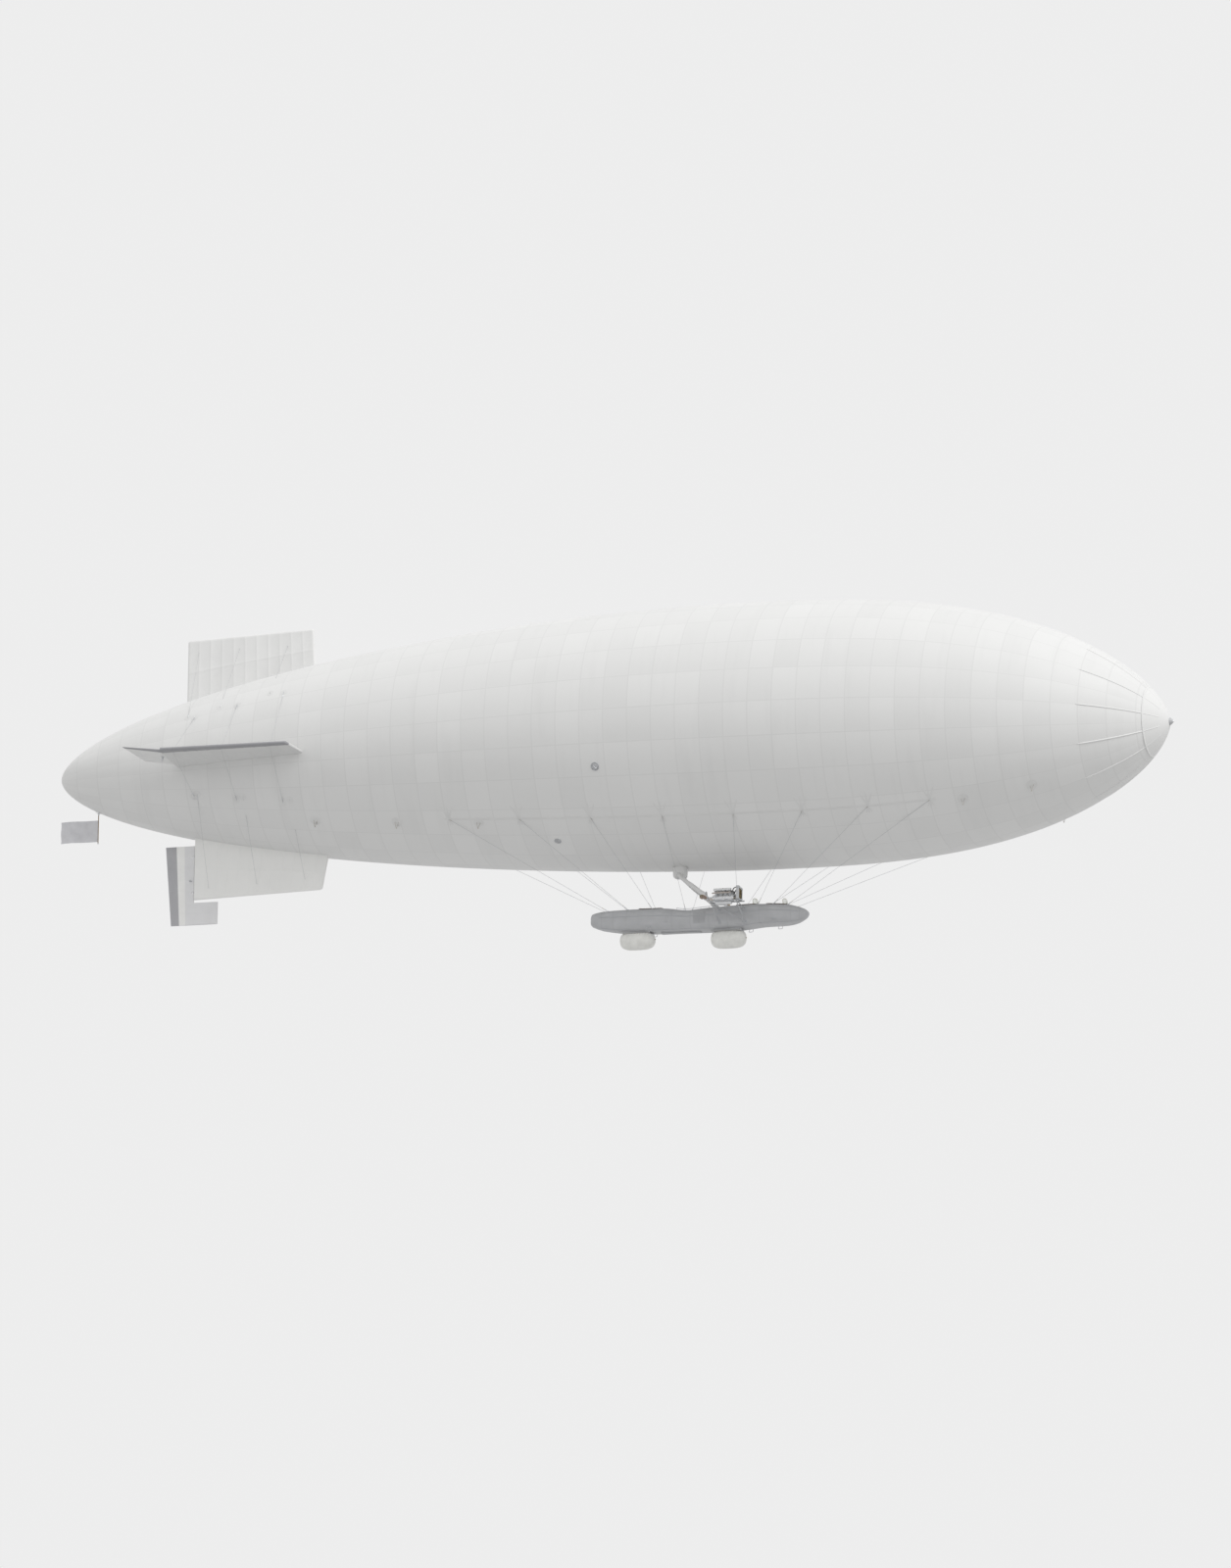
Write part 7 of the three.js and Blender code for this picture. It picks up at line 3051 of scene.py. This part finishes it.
            rings.append([
                (x, y * share, 0.222 + z * (share if z > 0.01 else 1))
                for y, z in (
                    (-0.036, 0), (0.036, 0), (0.036, 0.012), (0.03, 0.03), (0.012, 0.04), (-0.012, 0.04),
                    (-0.03, 0.03), (-0.036, 0.012))])
        form.loft(rings, 0)
        for x in spread(b + 0.07, f - 0.055, 9):
            for y in (-0.034, 0.034):
                form.turned((x, y, 0.228), (0, 0, 1), [(0, 0.005), (0.011, 0.005)], 2, 6)
        form.turned(
            (f - 0.26, 0, 0.258), (0, 0, 1), [(0, 0.014), (0.005, 0.014), (0.006, 0.011), (0.004, 0.008)],
            4, 16)
        pipe = [
            (f - 0.04, bank * 0.092, 0.19), (b + 0.06, bank * 0.092, 0.19),
            (b + 0.02, bank * 0.094, 0.186)]
        form.tube(pipe, [0.018, 0.019, 0.0175], 3, 18)
        form.ball((f - 0.04, bank * 0.092, 0.19), (0.012, 0.018, 0.018), 3, 14, 8)
        return form

    def induction(self, form: Form) -> None:
        """Adds carburettor and inlet pipes between the banks.

        Args:
            form: The form that gets the faces.
        """
        f = self.front
        form.turned((f - 0.24, 0, 0.05), (0, 0, 1), [(0, 0.02), (0.03, 0.02), (0.034, 0.026), (0.06, 0.026),
                                                    (0.066, 0.016), (0.09, 0.016)], 4, 20)
        form.tube([(f - 0.4, 0, 0.13), (f - 0.12, 0, 0.13)], 0.0195, 0, 16)
        for end in (f - 0.4, f - 0.12):
            form.ball((end, 0, 0.13), (0.012, 0.0195, 0.0195), 0, 12, 8)
        for i in range(self.cylinders):
            x = f - self.first - i * self.pitch
            start = min(max(x, f - 0.39), f - 0.13)
            for bank in (1, -1):
                reach = self.on_bank(bank, (x, -0.07, 0.201))
                bend = (blend_value(start, x, 0.5), reach.y * 0.5, blend_value(0.13, reach.z, 0.65))
                form.tube(smooth_line([(start, 0, 0.13), bend, tuple(reach)], 9), 0.011, 4, 12)


@dataclass
class Propeller:
    """Two-bladed laminated propeller with sheathed tips, on its hub plates."""

    name: str
    side: int
    turn: float
    blade: tuple[tuple[float, float, float, float], ...] = (
        (0.0, 0.09, 0.075, 90), (0.12, 0.09, 0.07, 70), (0.3, 0.1, 0.045, 50), (0.55, 0.125, 0.032, 35),
        (0.85, 0.12, 0.022, 25), (1.1, 0.095, 0.014, 20), (1.22, 0.05, 0.009, 18), (1.24, 0.015, 0.006, 18),
    )
    sheath_from: float = 0.72

    def build(self) -> None:
        """Builds blades and hub on the propeller's own body."""
        form = Form()
        for half_turn in (0, pi):
            form.add(self.one_blade(), Matrix.Rotation(half_turn, 4, "X"))
        x_axis = (1, 0, 0)
        form.turned(
            (-0.046, 0, 0), x_axis, [(0, 0.05), (0.004, 0.052), (0.088, 0.052), (0.092, 0.05)], 2, 40)
        form.turned(
            (-0.072, 0, 0), x_axis,
            [(0, 0.018), (0.004, 0.024), (0.02, 0.038), (0.026, 0.044), (0.028, 0.044)], 2, 32)
        for angle in angles(8, 0.5):
            at = (0.0, 0.041 * cos(angle), 0.041 * sin(angle))
            for end, way in ((-0.046, -1), (0.046, 1)):
                form.turned(
                    (end, at[1], at[2]), (way, 0, 0),
                    [(-0.002, 0.0075), (0.006, 0.0075), (0.007, 0.005), (0.011, 0.0045)], 2, 6)
        where = Matrix.Translation(place(PROPELLER_STATION, ENGINE_SIDE, SHAFT_HEIGHT, self.side))
        placed = Form().add(form, where @ Matrix.Rotation(radians(self.turn), 4, "X"))
        placed.piece(f"{self.name}_propeller_blades", [WALNUT, BRASS, STEEL],
                     f"{self.name}_propeller", "propeller_wood", [f"{self.name}_propeller"])

    def one_blade(self) -> Form:
        """One blade upward along Z, its leading edge and tip sheathed in riveted brass.

        Returns:
            The blade.
        """
        form = Form()
        rows = smooth_line(self.blade, 57)
        count = 28
        rings, sheath = [], []
        for radius, chord, thick, pitch in rows:
            twist = radians(pitch)
            flat = min(max((radius - 0.15) / 0.3, 0), 1)
            ring, cover = [], []
            for angle in angles(count):
                t = thick * sin(angle) * (1 - 0.55 * flat * (sin(angle) < 0))
                c, t = chord * cos(angle) * SCALE, t * SCALE
                ring.append(self.turned_point(c, t, radius, twist))
                grow = 1 + 0.0012 / max(chord * SCALE, 0.01)
                cover.append(self.turned_point(c * grow, t + math.copysign(0.0011, t), radius, twist))
            rings.append(ring)
            if radius >= self.sheath_from:
                sheath.append((radius, cover))
        form.loft(rings, 0)
        lead = [[*cover[count * 3 // 4 + 1:], *cover[:count // 4]] for _, cover in sheath]
        form.loft(lead, 1, closed=False)
        form.loft([cover for radius, cover in sheath if radius > 1.12], 1)
        for row in lead[1::3]:
            for i in (0, len(row) - 1):
                rivet(form, row[i], (row[i] - (row[0] + row[-1]) / 2).normalized(), 0.0025, 1)
        return form

    def turned_point(self, chordwise: float, thickwise: float, radius: float, twist: float) -> Vector:
        """Point of a blade section.

        Args:
            chordwise: Model metres along the chord.
            thickwise: Model metres across it.
            radius: Full-size metres from the shaft.
            twist: The section's angle in radians.

        Returns:
            The point, the blade upward along Z.
        """
        return Vector((chordwise * sin(twist) - thickwise * cos(twist),
                       chordwise * cos(twist) + thickwise * sin(twist), radius * SCALE))


@dataclass
class Radiator:
    """Honeycomb radiator on the engine bearers. Stations and the top are full size."""

    name: str
    side: int
    ends: tuple[float, float] = (22.25, 22.41)
    half_wide: float = 0.34
    top: float = -8.27
    header: float = 0.06
    over: float = 0.008
    border: float = 0.022
    sunk: float = 0.014
    cell: float = 0.0145

    def build(self) -> None:
        """Builds tanks, frame and core."""
        x1, x0 = (at_x(s) for s in self.ends)
        y, wide = self.side * ENGINE_SIDE * SCALE, self.half_wide * SCALE
        foot, top = at_z(BED_HEIGHT) + BED_TOP, at_z(self.top)
        form = Form()
        form.block((x0 - self.over, y - wide - self.over, top - self.header),
                   (x1 + self.over, y + wide + self.over, top), 0, 0.012)
        form.block(
            (x0 - 0.002, y - wide - 0.002, foot), (x1 + 0.002, y + wide + 0.002, foot + self.border), 0,
            0.004)
        for side in (1, -1):
            edge = y + side * wide
            low, high = sorted((edge, edge - side * self.border))
            form.block((x0, low, foot + 0.006), (x1, high, top - 0.5 * self.header), 0, 0.004)
            for z in spread(foot + 0.04, top - self.header - 0.04, 6):
                rivet(form, Vector((x1, edge - side * self.border / 2, z)), Vector((1, 0, 0)), 0.004, 2)
                rivet(form, Vector((x0, edge - side * self.border / 2, z)), Vector((-1, 0, 0)), 0.004, 2)
        middle = (x0 + x1) / 2
        form.turned(
            (middle, y, top - 0.003), (0, 0, 1),
            [(0, 0.022), (0.004, 0.022), (0.006, 0.018), (0.012, 0.018), (0.013, 0.0215), (0.024, 0.0215),
             (0.026, 0.016)], 2, 24)
        low_core, high_core = foot + self.border, top - self.header
        form.block((x0 + self.sunk + 0.006, y - wide + self.border, low_core),
                   (x1 - self.sunk - 0.006, y + wide - self.border, high_core), 1)
        for x, way in ((x1 - self.sunk, 1), (x0 + self.sunk, -1)):
            self.core(form, x, way, (y - wide + self.border, y + wide - self.border), (low_core, high_core))
        form.piece(f"{self.name}_radiator_core", [STOVE_ENAMEL, CORE_BRASS, BRASS],
                   slot="radiator_metal", replaces=[f"{self.name}_radiator"])

    def core(
            self, form: Form, x: float, way: int, across: tuple[float, float], up: tuple[float, float]
    ) -> None:
        """Adds one face of six-sided cells, each a rim round a hole.

        Args:
            form: The form that gets the faces.
            x: Where the face is.
            way: +1 where it looks forward and -1 where it looks aft.
            across: Its lowest and highest Y.
            up: Its lowest and highest Z.
        """
        half = self.cell / 2
        pitch = self.cell * cos(pi / 6)
        rows = int((up[1] - up[0]) / pitch)
        for row in range(rows):
            z = up[0] + (row + 0.5) * pitch
            shift = half * (row % 2)
            y = across[0] + half + shift
            while y < across[1] - half * 0.9:
                rings = []
                for radius, depth in (
                        (0.577 * self.cell, 0.0), (0.47 * self.cell, 0.001), (0.43 * self.cell, -0.006)):
                    rings.append([(x + way * depth, y + radius * sin(a), z + radius * cos(a))
                                  for a in angles(6)])
                form.loft(rings, 2, caps=False)
                y += self.cell


@dataclass(frozen=True)
class StudioFloor(Finish):
    """Matt painted floor whose rim thins out, so that it meets the sky without a line."""

    fade_from: float = 2600.0
    fade_to: float = 6800.0

    def material(self) -> bpy.types.Material:
        """The floor, with its rim clear.

        Returns:
            The material.
        """
        made = super().material()
        tree = made.node_tree
        point = add_node(tree, "TexCoord").outputs["Object"]
        away = add_node(tree, "VectorMath", {"operation": "LENGTH", 0: point}).outputs["Value"]
        solid = add_node(tree, "MapRange", {
            "Value": away,
            "From Min": self.fade_from,
            "From Max": self.fade_to,
            "To Min": 1.0,
            "To Max": 0.0,
            "interpolation_type": "SMOOTHSTEP",
        }).outputs[0]
        tree.links.new(solid, tree.nodes["Principled BSDF"].inputs["Alpha"])
        return made


# Floor: matt emulsion, pale and even
PALE_FLOOR = StudioFloor("pale_studio_floor", 0xC1C1C1, 0.9, 0.0, 1.45, 0.0, 5000)

ELEVATOR_REST = radians(8)
OVER = Matrix.Diagonal((1, 1, -1, 1))


def elevator_matrix(side: int) -> Matrix:
    """Puts a surface drawn upright on its elevator hinge, at its rest angle.

    Args:
        side: +1 for port and -1 for starboard.

    Returns:
        The matrix from the drawn surface to the ship.
    """
    hinge = Matrix.Translation((at_x(HINGE_STATION), 0, at_z(STABILISER_HEIGHT)))
    outboard = Matrix.Diagonal((1, side, 1, 1)) @ Matrix.Rotation(-pi / 2, 4, "X")
    return hinge @ Matrix.Rotation(ELEVATOR_REST, 4, "Y") @ outboard


@dataclass
class Studio:
    """Camera below and ahead of the ship's beam, an even pale sky, a soft sun and the floor."""

    azimuth: float = 16.0
    elevation: float = -15.0
    roll: float = 1.164
    distance: float = 1400.0
    lens: float = 1240.0
    sensor: float = 36.0
    clip: float = 16000.0
    aim: tuple[float, float, float] = (-1.45, 0.0, -1.1)
    floor_radius: float = 6900.0
    floor_sides: int = 64
    floor_gap: float = 0.4
    sky: float = 0.85
    sun_strength: float = 1.63
    sun_angle: float = 25.0
    sun_height: float = 45.0
    sun_bearing: float = 60.0

    def build(self) -> None:
        """Builds camera, sky, sun and floor."""
        camera = self.camera()
        self.light()
        self.floor(camera.location.z - self.floor_gap)

    def camera(self) -> bpy.types.Object:
        """Camera at the photograph's angle, far off with a long lens.

        Returns:
            The camera.
        """
        a, e, r = (radians(v) for v in (self.azimuth, self.elevation, self.roll))
        back = Vector((sin(a) * cos(e), -cos(a) * cos(e), sin(e)))
        right = Vector((cos(a), sin(a), 0))
        up = back.cross(right)
        across = right * cos(r) + up * sin(r)
        upwards = up * cos(r) - right * sin(r)
        lens = bpy.data.cameras.new("camera")
        lens.lens = self.lens
        lens.sensor_width = self.sensor
        lens.clip_end = self.clip
        made = bpy.data.objects.new("camera", lens)
        turn = Matrix((across, upwards, back)).transposed().to_4x4()
        made.matrix_world = Matrix.Translation(Vector(self.aim) + back * self.distance) @ turn
        bpy.context.scene.collection.objects.link(made)
        bpy.context.scene.camera = made
        return made

    def light(self) -> None:
        """Even sky and one soft sun, ahead of the ship and on the camera's side."""
        world = bpy.data.worlds.new("sky")
        world.use_nodes = True
        shade_of_sky = world.node_tree.nodes["Background"]
        shade_of_sky.inputs["Color"].default_value = (1, 1, 1, 1)
        shade_of_sky.inputs["Strength"].default_value = self.sky
        bpy.context.scene.world = world
        bpy.context.scene.view_settings.view_transform = "Standard"
        sun = bpy.data.lights.new("sun", "SUN")
        sun.energy = self.sun_strength
        sun.angle = radians(self.sun_angle)
        made = bpy.data.objects.new("sun", sun)
        high, bearing = radians(self.sun_height), radians(self.sun_bearing)
        source = Vector((sin(bearing) * cos(high), -cos(bearing) * cos(high), sin(high)))
        made.rotation_euler = source.to_track_quat("Z", "Y").to_euler()
        bpy.context.scene.collection.objects.link(made)

    def floor(self, height: float) -> None:
        """Plain pale floor far below the ship, just under the camera.

        Args:
            height: Its Z.
        """
        form = Form()
        form.points += [Vector((self.floor_radius * cos(a), self.floor_radius * sin(a), height))
                        for a in angles(self.floor_sides)]
        form.face(range(self.floor_sides))
        mesh = bpy.data.meshes.new("floor")
        mesh.from_pydata([tuple(p) for p in form.points], [], form.faces)
        mesh.materials.append(PALE_FLOOR.material())
        made = bpy.data.objects.new("floor", mesh)
        bpy.context.scene.collection.objects.link(made)


POST_STATION = HINGE_STATION - 0.056 - 0.02
ELEVATOR_SPAN = (2.0, 3.35)
RUDDER_HEIGHTS = (-3.9, -8.12)
ASSEMBLIES = (
    Studio(),
    Envelope(),
    NoseFitting(),
    FixedSurface("upper_fin", Stand.UPRIGHT, 1, (46.07, 4.6), (46.22, 7.47), (53.0, 7.18)),
    FixedSurface("lower_fin", Stand.UPRIGHT, -1, (45.15, 4.2), (45.45, 6.6), (POST_STATION, 6.8),
                 eyes=(4.5, 6.4), cloth=LOWER_FIN_LIGHT_CLOTH),
    *(FixedSurface(f"{name}_stabiliser", Stand.FLAT, side, (45.25, 4.4), (45.55, 7.0),
                   (POST_STATION, 7.0), eyes=(4.6, 6.2), cloth=STABILISER_SHADE_CLOTH, tip_shade_width=0.3)
      for name, side in SIDES),
    ControlSurface("rudder", Matrix.Translation((at_x(HINGE_STATION), 0, 0)) @ OVER,
                   -at_z(RUDDER_HEIGHTS[0]), -at_z(RUDDER_HEIGHTS[1]), (0.765, 0.585),
                   (-at_z(-4.5), -at_z(-6.4)), horn_span=0.585),
    *(ControlSurface(f"{name}_elevator", elevator_matrix(side), *ELEVATOR_SPAN,
                     (0.8, 1.025), (2.3, 3.1), stripes=(FIN_CLOTH,) * 3, tip_shade_width=0.15)
      for name, side in SIDES),
    Bracing(),
    Ensign(),
    Valve("gas_valve", 29.15, 64.5, 0.115),
    Valve("air_valve", 31.98, 26, 0.095),
    AirIntake(),
    Suspension(),
    CarShell(),
    BumperBag("forward", 23.5, -10.05, -10.91),
    BumperBag("after", 28.4, -9.95, -10.74),
    Seat("forward_seat", 21.38, 0.4),
    Seat("middle_seat", 22.98, 0.46),
    Seat("after_seat", 28.2, 0.42),
    Cockpits(),
    *(Outrigger(name, side) for name, side in SIDES),
    *(Engine(name, side) for name, side in SIDES),
    *(Radiator(name, side) for name, side in SIDES),
    Propeller("port", 1, 25),
    Propeller("starboard", -1, -80),
)


def build_airship() -> None:
    """Builds the sub-assemblies in order."""
    for assembly in ASSEMBLIES:
        LOG.info("building %s", type(assembly).__name__)
        assembly.build()


def main() -> None:
    """Builds the scene."""
    logging.basicConfig(level=logging.INFO, format="%(name)s: %(message)s")
    build_airship()
    bpy.context.view_layer.update()


if __name__ == "__main__":
    main()
